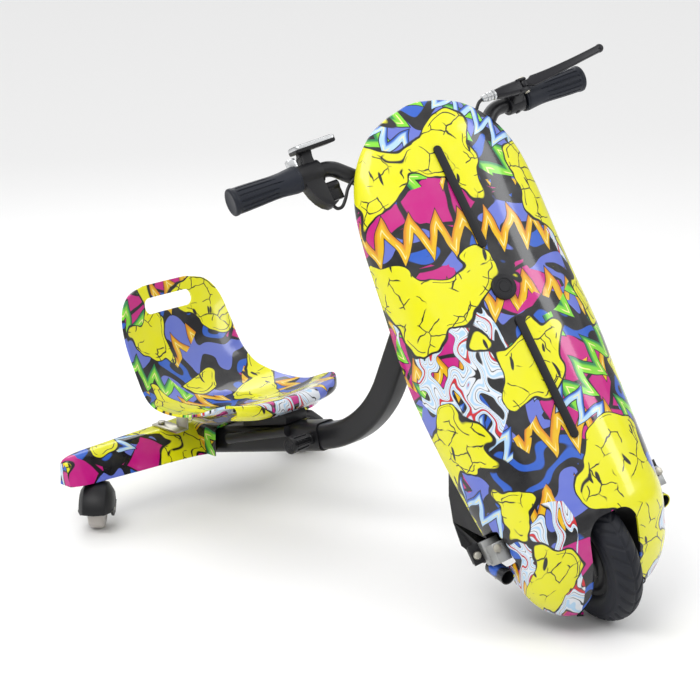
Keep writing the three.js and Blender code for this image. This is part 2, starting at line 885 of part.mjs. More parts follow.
function makeFairing() {
  const top = fairingBottom + fairingHeight;
  const outer = loft(fairingStations(19, fairingBottom, top).map((z) => fairingLoop(z, 0, 0)));
  const inside = loft(
    fairingStations(13, fairingBottom - overrun, top - fairingWall * 1.6).map((z) =>
      fairingLoop(z, fairingWall, overrun * 3),
    ),
  );
  // the walls round the wheel arch stay as thick as the shell, forward of the fork
  const archLining = archSolid(fairingWall, -fairingCrown * 2, -legFront * 2);
  const archOpening = archSolid(0, -fairingCrown * 2, legBack * 3);
  const shell = cut(outer, cut(inside, archLining), archOpening);
  const footrestNotches = [-1, 1].map((side) =>
    rakedBlock(
      sideLimits(side, castInner - footrestClearance, fairingHalfWidth),
      [-fairingCrown, castFront + footrestClearance],
      [castBottom - 2.7 * footrestClearance, castTop + footrestClearance],
    ),
  );
  const mountHole = rod(vec(0, 0, capHeight), vec(0, -fairingCrown - overrun, capHeight), boltRadius + gap);
  const wheelWay = rod(
    vec(-archHalfWidth, axleSetback, 0),
    vec(archHalfWidth, axleSetback, 0),
    tyreRadius + tyreClearance,
    tyreRadius + tyreClearance,
    28,
  );
  return cut(shell, ...footrestNotches, mountHole, wheelWay);
}

// The wheel arch as a solid along Y: straight sides, round upper corners and flared lower ends.
function archSolid(grow, front, back) {
  const half = archHalfWidth + grow;
  const top = archTop + grow;
  const radius = archCornerRadius + grow;
  const flareStart = fairingBottom + archCornerRadius;
  const bottom = fairingBottom - overrun * 3;
  const shape = new THREE.Shape();
  shape.moveTo(half + archCornerRadius, bottom);
  shape.lineTo(half + archCornerRadius, fairingBottom - grow);
  shape.quadraticCurveTo(half, fairingBottom, half, flareStart);
  shape.lineTo(half, top - radius);
  shape.absarc(half - radius, top - radius, radius, 0, Math.PI / 2);
  shape.absarc(radius - half, top - radius, radius, Math.PI / 2, Math.PI);
  shape.lineTo(-half, flareStart);
  shape.quadraticCurveTo(-half, fairingBottom, -half - archCornerRadius, fairingBottom - grow);
  shape.lineTo(-half - archCornerRadius, bottom);
  return plate(shape, "y", front, back, 6);
}

function makeStrip(bottom, length) {
  const radius = stripWidth / 2;
  const shape = new THREE.Shape();
  shape.moveTo(radius, bottom + radius);
  shape.lineTo(radius, bottom + length - radius);
  shape.absarc(0, bottom + length - radius, radius, 0, Math.PI);
  shape.lineTo(-radius, bottom + radius);
  shape.absarc(0, bottom + radius, radius, Math.PI, 2 * Math.PI);
  const back = -fairingCrown - gap;
  return plate(shape, "y", back - stripThickness, back, 6);
}

function makeFairingCap() {
  const face = -fairingCrown - gap;
  const at = (out) => vec(0, face - out, capHeight);
  const dome = rod(at(0), at(capThickness), capRadius, capRadius * 0.9, 20);
  const floor = capThickness - capRecess;
  const ring = cut(
    rod(at(floor), at(capThickness + past), capRadius * 0.62, capRadius * 0.62, 16),
    rod(at(floor), at(capThickness + 2 * past), capRadius * 0.42, capRadius * 0.42, 12),
  );
  const stud = rod(at(weld), at(-fairingWall * 3), boltRadius, boltRadius, 10);
  return join(cut(dome, ring), stud);
}

// The post that carries the fairing at its middle, clamped round the steerer.
function makeFairingPost() {
  const front = fairingCrown - fairingWall - gap * 4;
  const collarRadius = steererRadius + postCollarWall;
  const low = capHeight - postCollarHalfHeight;
  const high = capHeight + postCollarHalfHeight;
  const collar = rod(vec(0, 0, low), vec(0, 0, high), collarRadius, collarRadius, 16);
  const arm = block(
    [-postArmHalf, postArmHalf],
    [postFootThickness - front, -steererRadius],
    [capHeight - postArmHalf, capHeight + postArmHalf],
  );
  const foot = rod(
    vec(0, postFootThickness - front, capHeight),
    vec(0, -front, capHeight),
    postFootRadius,
    postFootRadius,
    18,
  );
  const bore = rod(vec(0, 0, low - past), vec(0, 0, high + past), steererRadius + gap, steererRadius + gap, 18);
  const thread = rod(vec(0, -front + overrun * 3, capHeight), vec(0, -front - overrun, capHeight), boltRadius + gap);
  return cut(join(collar, arm, foot), bore, thread);
}

// Back cover: rows of [height share, half-width share, depth share], the depth measured back from the axis
const coverShares = [
  [0.0, 1.0, 1.0],
  [0.045, 1.0, 1.0],
  [0.14, 1.0, 0.92],
  [0.26, 1.0, 0.77],
  [0.38, 1.0, 0.59],
  [0.48, 0.99, 0.45],
  [0.67, 0.93, 0.31],
  [0.85, 0.84, 0.25],
  [1.0, 0.72, 0.22],
];
const coverSectionPower = 2 / 4.5;

function coverLoop(height, inset, extraFront) {
  const share = (height - coverBottom) / coverHeight;
  const half = coverHalfWidth * smooth(coverShares, share, 1) - inset;
  const back = -coverDepth * smooth(coverShares, share, 2) + inset;
  const rim = fairingRimAt(height) - gap * 1.5 + extraFront;
  return spread(10).map((step) => {
    const angle = Math.PI * step;
    const across = half * signedPower(Math.cos(angle), coverSectionPower);
    const forward = rim + (back - rim) * Math.abs(Math.sin(angle)) ** coverSectionPower;
    return vec(across, -forward, height);
  });
}

function makeBackCover() {
  const top = coverBottom + coverHeight;
  const stations = (from, to) => spread(8).map((share) => from + (to - from) * share);
  const outer = loft(stations(coverBottom, top).map((z) => coverLoop(z, 0, 0)));
  const inside = loft(stations(coverBottom - overrun, top - coverWall).map((z) => coverLoop(z, coverWall, overrun)));
  const wayRadius = steererRadius + steererClearance;
  const steererWay = rod(vec(0, 0, coverBottom), vec(0, 0, top + overrun), wayRadius, wayRadius, 16);
  const frontWay = block([-wayRadius, wayRadius], [-fairingCrown, 0], [top - overrun * 2, top + overrun]);
  const outriggerWays = [-1, 1].map((side) =>
    rakedBlock(
      sideLimits(side, coverHalfWidth - coverSideReach, coverHalfWidth + overrun),
      [outriggerBack - overrun, outriggerFront],
      [coverBottom - past, outriggerTop + coverWall],
    ),
  );
  const bracketWays = [-1, 1].map((side) =>
    rakedBlock(
      sideLimits(side, coverHalfWidth - coverSideReach, coverHalfWidth + overrun),
      [earFront, fairingCrown],
      [coverBottom - past, castTop + overrun],
    ),
  );
  // room for the footrest's back end as it turns about its pin
  const pegWays = [-1, 1].map((side) =>
    rod(
      levelPoint(side * pegSpread, -pegPinBack, pegHeight - pegRadius - overrun),
      levelPoint(side * pegSpread, -pegPinBack, pegHeight + pegRadius + gap),
      pegRadius * 1.6,
    ),
  );
  const shell = cut(outer, inside, steererWay, frontWay, ...outriggerWays, ...bracketWays, ...pegWays);
  const ears = [-1, 1].map((side) => {
    const across = sideLimits(side, coverHalfWidth - coverWall * 0.8, earReach);
    const plain = rakedBlock(across, [earBack, earFront], [earBottom, earBottom + earHeight]);
    return cut(
      plain,
      rakedRod(side * coverScrewSpread, coverScrewHeight, boltRadius + gap, earBack - past, earFront + past),
      rakedRod(side * castBoltSpread, castBoltHeight, boltRadius + gap, earBack - past, earFront + past),
    );
  });
  return join(shell, ...ears);
}

function makeBattery() {
  const bottom = crownTop + gap;
  const back = steererRadius + gap * 3;
  const shape = roundedRectangle(2 * batteryHalfWidth, batteryDepth, batteryCorner);
  const geometry = new THREE.ExtrudeGeometry(shape, { depth: batteryHeight, curveSegments: 3, bevelEnabled: false });
  geometry.translate(0, -back - batteryDepth / 2, bottom);
  return solid(geometry);
}

function makeController() {
  const bottom = controllerTop - controllerHeight;
  const back = steererRadius + gap * 3;
  const body = block(
    [-controllerHalfWidth, controllerHalfWidth],
    [-back - controllerDepth, -back],
    [bottom, bottom + controllerHeight],
  );
  const pitch = (2 * controllerHalfWidth) / controllerFins;
  const grooves = spread(controllerFins - 1).map((_, i) => {
    const middle = -controllerHalfWidth + pitch * (i + 0.5);
    return block(
      [middle - pitch / 5, middle + pitch / 5],
      [-back - controllerDepth - past, -back - controllerDepth + finDepth],
      [bottom - past, bottom + controllerHeight + past],
    );
  });
  return cut(body, ...grooves);
}

// Handlebar, stem and grips

function barPoint(across, height) {
  return vec(across, -barForward, height);
}

function makeHandlebar() {
  const corners = [
    barPoint(-barHalfSpan, barHeight),
    barPoint(-barBendSpread, barHeight),
    barPoint(-barFootSpread, barCentreHeight),
    barPoint(barFootSpread, barCentreHeight),
    barPoint(barBendSpread, barHeight),
    barPoint(barHalfSpan, barHeight),
  ];
  const bends = [barUpperBend, barLowerBend, barLowerBend, barUpperBend];
  const path = bentPath(corners, bends, 4);
  return sweep(circle(barRadius), path, path.steps, 6);
}

function makeStem() {
  const bottom = headTubeTop + cupFlangeThickness + 2 * gap;
  const outerRadius = steererRadius + stemWall;
  const collar = rod(vec(0, 0, bottom), vec(0, 0, steererTop - weld), outerRadius, outerRadius, 18);
  const clampRadius = barRadius + stemWall;
  const clampHalf = stemClampWidth / 2;
  const clampBlock = rod(
    barPoint(-clampHalf, barCentreHeight),
    barPoint(clampHalf, barCentreHeight),
    clampRadius,
    clampRadius,
    18,
  );
  const arm = block(
    [-stemArmHalf, stemArmHalf],
    [-barForward, 0],
    [barCentreHeight - stemArmHalf, barCentreHeight + stemArmHalf],
  );
  const boreRadius = steererRadius + gap;
  const steererBore = rod(vec(0, 0, bottom - past), vec(0, 0, steererTop + past), boreRadius, boreRadius, 18);
  const barBore = rod(
    barPoint(-clampHalf - past, barCentreHeight),
    barPoint(clampHalf + past, barCentreHeight),
    barRadius + gap,
    barRadius + gap,
    18,
  );
  return cut(join(collar, arm, clampBlock), steererBore, barBore);
}

function makeGrip(side) {
  const tip = barHalfSpan + gripCapThickness;
  const inner = tip - gripLength;
  const bore = barRadius + gap;
  // [distance from the grip's inner end as a share of its length, radius]
  const outline = [
    [0, bore],
    [0, gripFlangeRadius],
    [0.035, gripFlangeRadius],
    [0.06, gripRadius * 1.03],
    [0.3, gripRadius * 0.93],
    [0.65, gripRadius * 1.01],
    [0.93, gripRadius * 1.06],
    [0.95, gripFlangeRadius * 0.95],
    [0.985, gripFlangeRadius * 0.95],
    [1, gripFlangeRadius * 0.85],
    [1, 0],
  ];
  const floor = barHalfSpan + gap;
  const profile = outline.map(([share, radius]) => [inner + share * gripLength, radius]);
  profile.push([floor, 0], [floor, bore], [inner, bore]);
  const made = turnedAlongX(profile, 16);
  const placed = made.translate([0, -barForward, barHeight]);
  return side > 0 ? placed : placed.mirror([1, 0, 0]);
}

// Throttle housing on the right: a collar round the bar, a hanging body and the neck of the display.
const collarOuter = barHalfSpan + gripCapThickness - gripLength - gap;
const collarInner = collarOuter - collarWidth;
const collarMiddle = (collarOuter + collarInner) / 2;
const paddlePivotDrop = throttleDrop * 0.47;
const bodyOuter = collarOuter - throttleBodyWidth * 0.11;
const bodyInner = bodyOuter - throttleBodyWidth;

function makeThrottleHousing() {
  const collar = rod(barPoint(-collarOuter, barHeight), barPoint(-collarInner, barHeight), collarRadius, collarRadius, 18);
  const half = throttleBodyDepth / 2;
  const bodyShape = new THREE.Shape();
  const bottom = barHeight - throttleDrop;
  bodyShape.moveTo(-bodyOuter, barHeight);
  bodyShape.lineTo(-bodyInner, barHeight);
  bodyShape.lineTo(-bodyInner, bottom + throttleDrop * 0.45);
  const hook = (share, drop) => [-bodyInner + throttleBodyWidth * share, bottom + throttleDrop * drop];
  bodyShape.quadraticCurveTo(...hook(0.33, 0.32), ...hook(0.4, 0.18));
  bodyShape.quadraticCurveTo(...hook(0.3, 0), ...hook(-0.15, 0.02));
  bodyShape.quadraticCurveTo(...hook(-0.78, 0.15), -bodyOuter, barHeight - collarRadius * 0.8);
  const body = plate(bodyShape, "y", -barForward - half, -barForward + half, 4);
  const neckMiddle = displayNeckHalf * 0.45 - collarMiddle;
  const neck = block(
    [neckMiddle - displayNeckHalf, neckMiddle + displayNeckHalf],
    [-barForward - displayNeckHalf, -barForward + displayNeckHalf],
    [barHeight + barRadius + stemWall * 0.3, barHeight + displayRise - weld],
  );
  const bore = rod(
    barPoint(-collarOuter - past, barHeight),
    barPoint(-collarInner + paddleWidth * 2, barHeight),
    barRadius + gap,
    barRadius + gap,
    18,
  );
  const buttonPocket = join(buttonSolid(gap), buttonSolid(gap).translate([0, 0, -buttonTravel]));
  return cut(join(collar, body, neck), bore, displaySolid(gap), paddleSolid(gap * 2), paddleWay(), buttonPocket);
}

// The paddle hangs inboard of the housing and turns about an axis along the bar.
const paddlePivot = vec(-bodyInner + gap, -barForward, barHeight - paddlePivotDrop);

function paddleSolid(grow) {
  const inner = paddlePivot.x;
  const outer = inner + paddleWidth;
  const hub = rod(
    vec(inner - grow, paddlePivot.y, paddlePivot.z),
    vec(outer + grow, paddlePivot.y, paddlePivot.z),
    paddleHubRadius + grow,
    paddleHubRadius + grow,
    14,
  );
  const half = paddleThickness / 2 + grow;
  const blade = block(
    [inner - grow, outer + grow],
    [paddlePivot.y - half, paddlePivot.y + half],
    [paddlePivot.z - paddleLength * 0.7 - grow, paddlePivot.z],
  );
  return join(hub, blade);
}

function paddleWay() {
  return block(
    [paddlePivot.x - gap, paddlePivot.x + paddleWidth],
    [paddlePivot.y - throttleBodyDepth, paddlePivot.y + throttleBodyDepth],
    [paddlePivot.z - paddleLength * 0.8, paddlePivot.z + paddleHubRadius + past],
  );
}

function makePaddle() {
  return paddleSolid(0);
}

function displaySolid(grow) {
  const shape = roundedRectangle(displayWidth + 2 * grow, displayDepth + 2 * grow, displayCorner);
  const geometry = new THREE.ExtrudeGeometry(shape, {
    depth: displayThickness + 2 * grow,
    curveSegments: 3,
    bevelEnabled: false,
  });
  geometry.translate(0, 0, -grow);
  geometry.rotateX(-displayTilt);
  geometry.translate(-collarMiddle + displayWidth * 0.33, -barForward, barHeight + displayRise);
  return solid(geometry);
}

function buttonSolid(grow) {
  const outer = -collarOuter + buttonWidth * 0.18;
  const bottom = barHeight + collarRadius - buttonSeat;
  return block(
    [outer - grow, outer + buttonWidth + grow],
    [-barForward - buttonHalfDepth - grow, -barForward + buttonHalfDepth + grow],
    [bottom - grow, bottom + buttonLength + grow],
  );
}

// Brake side on the left: perch, lever, pivot pin and barrel adjuster.
const perchOuter = collarOuter - perchWidth * 0.08;
const perchInner = perchOuter - perchWidth;
const perchY = -barForward - perchForward;
const perchTop = barHeight + perchHeight;
const leverPivot = vec(perchOuter - leverEyeRadius * 0.6, perchY, barHeight + perchHeight / 2);
const slotHalfHeight = leverThickness / 2 + gap;

function makeBrakePerch() {
  const clamp = rod(barPoint(perchInner, barHeight), barPoint(perchOuter, barHeight), collarRadius, collarRadius, 18);
  const arm = block(
    [perchInner, perchInner + perchWidth * 0.7],
    [perchY, -barForward],
    [barHeight - perchHeight * 0.27, barHeight + perchHeight * 0.4],
  );
  const bodyHalf = perchDepth / 2;
  const bodyInner = perchOuter - perchLength;
  const body = block(
    [bodyInner, perchOuter + perchLip],
    [perchY - bodyHalf, perchY + bodyHalf],
    [barHeight - perchLip, perchTop + perchLip],
  );
  const slot = block(
    [perchOuter - leverSlotDepth, perchOuter + leverSlotDepth],
    [perchY - bodyHalf - past, perchY + bodyHalf + past],
    [leverPivot.z - slotHalfHeight, leverPivot.z + slotHalfHeight],
  );
  const pinHole = rod(
    leverPivot.clone().add(vec(0, 0, -perchHeight * 2)),
    leverPivot.clone().add(vec(0, 0, perchHeight * 2)),
    pegPinRadius + gap,
  );
  const barBore = rod(
    barPoint(perchInner - perchLength, barHeight),
    barPoint(perchOuter + past, barHeight),
    barRadius + gap,
    barRadius + gap,
    18,
  );
  const thread = rod(
    vec(bodyInner - past, perchY, leverPivot.z),
    vec(bodyInner + adjusterThread + past, perchY, leverPivot.z),
    adjusterRadius * 0.5 + gap,
  );
  return cut(join(clamp, arm, body), slot, pinHole, barBore, thread);
}

function makeBrakeLever() {
  const half = leverThickness / 2;
  const eye = rod(
    leverPivot.clone().add(vec(0, 0, -half)),
    leverPivot.clone().add(vec(0, 0, half)),
    leverEyeRadius,
    leverEyeRadius,
    14,
  );
  const tip = leverPivot.clone().add(vec(leverReach - leverTipRadius, -leverSweep, leverRise));
  const path = new THREE.CatmullRomCurve3([
    leverPivot.clone().add(vec(leverEyeRadius * 0.45, 0, 0)),
    leverPivot.clone().add(vec(leverReach * 0.25, -leverSweep * 0.75, 0)),
    leverPivot.clone().add(vec(leverReach * 0.6, -leverSweep * 1.1, leverRise * 0.4)),
    tip,
  ]);
  const blade = sweep(roundedRectangle(leverThickness, leverThickness * 0.88, leverThickness / 3), path, 6, 1);
  const ball = solid(new THREE.SphereGeometry(leverTipRadius, 10, 6).translate(tip.x, tip.y, tip.z));
  const pinHole = rod(
    leverPivot.clone().add(vec(0, 0, -leverThickness)),
    leverPivot.clone().add(vec(0, 0, leverThickness)),
    pegPinRadius + gap,
  );
  return cut(join(eye, blade, ball), pinHole);
}

function makeLeverPin() {
  const top = perchTop + perchLip + gap;
  const at = (z) => vec(leverPivot.x, leverPivot.y, z);
  return join(
    rod(at(barHeight - perchLip), at(top + weld), pegPinRadius, pegPinRadius, 10),
    rod(at(top), at(top + leverPinHeadThickness), leverPinHeadRadius, leverPinHeadRadius * 0.88, 14),
  );
}

const adjusterFace = perchOuter - perchLength - gap;

function makeBarrelAdjuster() {
  const at = (x) => vec(x, perchY, leverPivot.z);
  const lockRing = rod(at(adjusterFace), at(adjusterFace - adjusterLockLength), adjusterRadius, adjusterRadius, 12);
  const barrelStart = at(adjusterFace - adjusterLockLength + weld);
  const barrelEnd = at(adjusterFace - adjusterLength);
  const barrel = rod(barrelStart, barrelEnd, adjusterRadius * 0.9, adjusterRadius * 0.65, 12);
  const threadRadius = adjusterRadius * 0.5;
  const thread = rod(at(adjusterFace + adjusterThread), at(adjusterFace - weld), threadRadius, threadRadius, 10);
  return join(lockRing, barrel, thread);
}

// Cables, each one tube along its real route in the fork's frame

// Rows of [across, forward and height shares]. Above nought, the first two run from the lane beside the battery
// to the perch, and below it from the lane to the drum's arm.
const brakeCableShares = [
  [1, 1, 1],
  [0.772, 0.833, 0.991],
  [0.883, 0.5, 0.969],
  [0.683, 0.4, 0.937],
  [0.427, 0.467, 0.892],
  [0.256, 0.4, 0.832],
  [0.114, 0.133, 0.755],
  [0, -0.056, 0.617],
  [0, 0, 0.48],
  [0, 0.067, 0.343],
  [0, 0, 0.223],
  [-0.048, -0.224, 0.146],
  [-0.238, -0.504, 0.082],
  [-0.667, -0.728, 0.034],
  [-1, -1, 0],
];
const cableLane = 14; // the brake cable runs this far beside the battery
const cableLaneForward = 58;
const cableLanding = 8; // the cable comes down to the drum's arm over this height

function brakeCableRoute() {
  const from = vec(adjusterFace - adjusterLength - 4 * gap, perchY, leverPivot.z);
  const to = vec(drumEye.x, drumEye.y + axleSetback, drumEye.z + cableLanding);
  const lane = vec(batteryHalfWidth + cableLane, -cableLaneForward, 0);
  return brakeCableShares.map(([across, forward, height]) =>
    vec(
      lane.x + across * (across > 0 ? from.x - lane.x : lane.x - to.x),
      lane.y + forward * (forward > 0 ? from.y - lane.y : lane.y - to.y),
      to.z + height * (from.z - to.z),
    ),
  );
}

// Rows of [across, forward and height shares] from the motor controller's top to the throttle
const throttleCableShares = [
  [1, 1, 1],
  [0.991, 1, 0.962],
  [0.92, 1.073, 0.931],
  [0.826, 1.292, 0.931],
  [0.749, 1.584, 0.957],
  [0.68, 2.095, 0.996],
  [0.603, 2.533, 1.048],
  [0.509, 2.752, 1.057],
  [0.407, 2.533, 0.987],
  [0.321, 1.803, 0.789],
  [0.202, 0.927, 0.487],
  [0.082, 0.343, 0.228],
  [0.009, 0.051, 0.073],
  [0, 0, 0],
];

function throttleCableRoute() {
  const from = vec(throttleBodyWidth * 0.05 - bodyInner, -barForward, barHeight - throttleDrop + gap * 3);
  const back = steererRadius + gap * 3;
  const to = vec(-controllerHalfWidth * 0.8, -back - controllerDepth * 0.6, controllerTop + 2 * gap);
  const run = from.clone().sub(to);
  return throttleCableShares.map(([across, forward, height]) =>
    vec(across, forward, height).multiply(run).add(to),
  );
}

function makeCable(route, sides) {
  const path = new THREE.CatmullRomCurve3(route);
  const shape = circle(cableRadius);
  return solid(
    new THREE.ExtrudeGeometry(shape, { steps: 32, curveSegments: sides, bevelEnabled: false, extrudePath: path }),
  );
}

// Main frame: head tube, bent square beam and a gusset, in the vehicle's frame with its origin at the front axle

const axisFoot = vec(0, -axleSetback * Math.cos(rake), axleSetback * Math.sin(rake));

function axisPoint(height) {
  return axisFoot.clone().add(vec(0, height * Math.sin(rake), height * Math.cos(rake)));
}

const headPoint = axisPoint(beamHeadHeight);
const beamCorner = vec(0, beamCornerBack, beamCornerHeight - wheelCentreHeight);
const beamFrontRun = beamCorner.clone().sub(headPoint).normalize(); // from the head tube down
const beamRearRun = vec(0, Math.cos(beamRearSlope), -Math.sin(beamRearSlope)); // towards the rear
const beamBendReach = beamBendRadius * Math.tan(beamFrontRun.angleTo(beamRearRun) / 2);
const sleeveMouth = beamCorner.clone().addScaledVector(beamRearRun, beamBendReach + mouthSetback);
const beamEnd = sleeveMouth.clone().addScaledVector(beamRearRun, beamInsertion);

function beamPath() {
  return bentPath([headPoint, beamCorner, beamEnd], [beamBendRadius], beamBendSteps);
}

function makeMainFrame() {
  const path = beamPath();
  const outer = sweep(roundedRectangle(beamSize, beamSize, beamCornerRadius), path, path.steps, 2);
  const innerSize = beamSize - 2 * beamWall;
  const hollow = bentPath(
    [
      headPoint.clone().addScaledVector(beamFrontRun, headTubeRadius * 1.6),
      beamCorner,
      beamEnd.clone().addScaledVector(beamRearRun, overrun),
    ],
    [beamBendRadius],
    beamBendSteps,
  );
  const inner = sweep(roundedRectangle(innerSize, innerSize, beamCornerRadius - beamWall), hollow, hollow.steps, 1);
  const headTube = rod(axisPoint(headTubeBottom), axisPoint(headTubeTop), headTubeRadius, headTubeRadius, 20);
  const bore = rod(axisPoint(headTubeBottom - past), axisPoint(headTubeTop + past), headTubeBore, headTubeBore, 20);
  // a web under the head tube, down to the beam
  const low = axisPoint(headTubeBottom + gussetThickness);
  const web = new THREE.Shape();
  const beamBelow = headPoint.clone().addScaledVector(beamFrontRun, gussetLength + beamSize / 2);
  web.moveTo(low.y, low.z);
  web.lineTo(beamBelow.y, beamBelow.z);
  web.lineTo(headPoint.y, headPoint.z);
  const gusset = plate(web, "x", -gussetThickness / 2, gussetThickness / 2);
  return cut(join(outer, headTube, gusset), inner, bore);
}

function makeHeadsetCup(upper) {
  const bore = steererRadius + gap;
  const sleeve = headTubeBore - gap;
  const profile = [
    [bore, -cupDepth],
    [sleeve, -cupDepth],
    [sleeve, gap],
    [cupFlangeRadius, gap],
    [cupFlangeRadius * 0.96, cupFlangeThickness],
    [bore, cupFlangeThickness],
    [bore, -cupDepth],
  ];
  const cup = turned(profile, 18);
  return upper ? cup : cup.mirror([0, 0, 1]);
}

// Rear frame, in the vehicle's frame

const sleeveSize = beamSize + 2 * (sleeveWall + gap);
const knobAxis = sleeveMouth.clone().addScaledVector(beamRearRun, knobInset);
const groundDrop = -wheelCentreHeight; // heights above the ground are measured from the front axle's level
const socketFloor = crossTubeHeight - crossTubeSize / 2 + groundDrop - socketDrop;

function makeRearFrame() {
  const sleeveEnd = sleeveMouth.clone().addScaledVector(beamRearRun, sleeveLength);
  const sleevePath = new THREE.LineCurve3(sleeveMouth, sleeveEnd);
  const outer = sweep(roundedRectangle(sleeveSize, sleeveSize, beamCornerRadius + sleeveWall), sleevePath, 1, 2);
  const innerSize = beamSize + 2 * gap;
  const borePath = new THREE.LineCurve3(
    sleeveMouth.clone().addScaledVector(beamRearRun, -overrun),
    sleeveEnd,
  );
  const bore = sweep(roundedRectangle(innerSize, innerSize, beamCornerRadius + gap), borePath, 1, 2);
  const half = crossTubeSize / 2;
  const crossMiddle = crossTubeHeight + groundDrop;
  const cross = block(
    [-socketSpread, socketSpread],
    [crossTubeBack - half, crossTubeBack + half],
    [crossMiddle - half, crossMiddle + half],
  );
  const struts = [-1, 1].map((side) =>
    rod(
      vec(side * strutSpread, strutFront, strutFrontHeight + groundDrop),
      vec(side * strutSpread, strutBack, strutBackHeight + groundDrop),
      strutRadius,
      strutRadius,
      12,
    ),
  );
  const tie = block(
    [weld - sleeveSize / 2, sleeveSize / 2 - weld],
    [sleeveEnd.y - crossTubeSize * 0.64, crossTubeBack],
    [crossMiddle - half + tieRise, crossMiddle + half],
  );
  const shellUnderside = shellBottom + shellHeight + groundDrop - shellWall - gap;
  const posts = [-1, 1].map((side) =>
    rod(
      vec(side * postSpread, crossTubeBack, crossMiddle),
      vec(side * postSpread, crossTubeBack, shellUnderside),
      postRadius,
      postRadius,
      12,
    ),
  );
  const postHoles = [-1, 1].map((side) =>
    rod(
      vec(side * postSpread, crossTubeBack, crossMiddle + half),
      vec(side * postSpread, crossTubeBack, shellUnderside + past),
      seatBoltRadius + gap,
      seatBoltRadius + gap,
      10,
    ),
  );
  const sockets = [-1, 1].map((side) =>
    rod(
      vec(side * socketSpread, crossTubeBack, socketFloor),
      vec(side * socketSpread, crossTubeBack, socketFloor + socketHeight),
      socketRadius,
      socketRadius,
      18,
    ),
  );
  const stems = [-1, 1].map((side) =>
    rod(
      vec(side * socketSpread, crossTubeBack, socketFloor - past),
      vec(side * socketSpread, crossTubeBack, socketFloor + stemLength + past),
      stemRadius + gap,
      stemRadius + gap,
      14,
    ),
  );
  const face = -sleeveSize / 2;
  const boss = rod(
    vec(face + weld, knobAxis.y, knobAxis.z),
    vec(face - knobBossLength, knobAxis.y, knobAxis.z),
    knobBossRadius,
    knobBossRadius,
    16,
  );
  const screwHole = rod(
    vec(face - knobBossLength - past, knobAxis.y, knobAxis.z),
    vec(face + sleeveWall * 2, knobAxis.y, knobAxis.z),
    knobScrewRadius + gap,
    knobScrewRadius + gap,
    12,
  );
  const body = join(outer, cross, tie, ...struts, ...posts, ...sockets, boss);
  return cut(body, ...stems, ...postHoles, screwHole, bore);
}

function makeClampKnob() {
  const start = -sleeveSize / 2 - knobBossLength - gap;
  const end = start - knobLength;
  const at = (x) => vec(x, knobAxis.y, knobAxis.z);
  const body = rod(at(start), at(end), knobRadius * 0.82, knobRadius, 14);
  const cap = rod(at(end + knobCapLength), at(end), knobRadius + knobRibHeight * 0.6, knobRadius, 14);
  const ribs = spread(knobRibs - 1).map((_, i) => {
    const angle = (2 * Math.PI * i) / knobRibs;
    const radius = knobRadius * 0.96;
    const offset = vec(0, radius * Math.cos(angle), radius * Math.sin(angle));
    const ribStart = at(start - knobLength * 0.32).add(offset);
    const ribEnd = at(end + knobRibHeight).add(offset);
    return rod(ribStart, ribEnd, knobRibHeight, knobRibHeight, 6);
  });
  const screw = rod(at(start - weld), at(-beamSize / 2 - gap * 1.5), knobScrewRadius, knobScrewRadius, 12);
  return join(body, cap, ...ribs, screw);
}

// Rear shell: rows of [share of the half span, reach share, height share]
const shellShares = [
  [0.0, 1.0, 1.0],
  [0.12, 0.95, 1.0],
  [0.2, 0.86, 1.0],
  [0.38, 0.76, 1.0],
  [0.58, 0.67, 1.0],
  [0.77, 0.57, 0.99],
  [0.88, 0.52, 0.97],
  [0.95, 0.46, 0.92],
  [0.985, 0.4, 0.84],
  [1.0, 0.36, 0.74],
];

// One upright section: a leaning front face, a round fold, a flat top and an upright back.
function shellLoop(x, inset, drop) {
  const share = Math.abs(x) / shellHalfSpan;
  const reach = smooth(shellShares, share, 1);
  const low = shellBack - shellDepth * reach + inset;
  const back = shellBack - shellDepth * (1 - reach) * 0.12 - inset;
  const top = shellBottom + groundDrop + shellHeight * smooth(shellShares, share, 2) - inset;
  const bottom = shellBottom + groundDrop - drop;
  const fold = Math.min(low + shellSlope * reach, back - shellCorner * 1.2);
  const corner = Math.min(shellCorner, (back - fold) * 0.45);
  const lean = vec(0, low - fold, bottom - top).normalize();
  const shape = new THREE.QuadraticBezierCurve3(
    vec(x, fold, top).addScaledVector(lean, corner),
    vec(x, fold, top),
    vec(x, fold + corner, top),
  );
  const backCurve = new THREE.QuadraticBezierCurve3(
    vec(x, back - corner, top),
    vec(x, back, top),
    vec(x, back, top - corner),
  );
  return [vec(x, low, bottom), ...shape.getPoints(3), ...backCurve.getPoints(3), vec(x, back, bottom)];
}

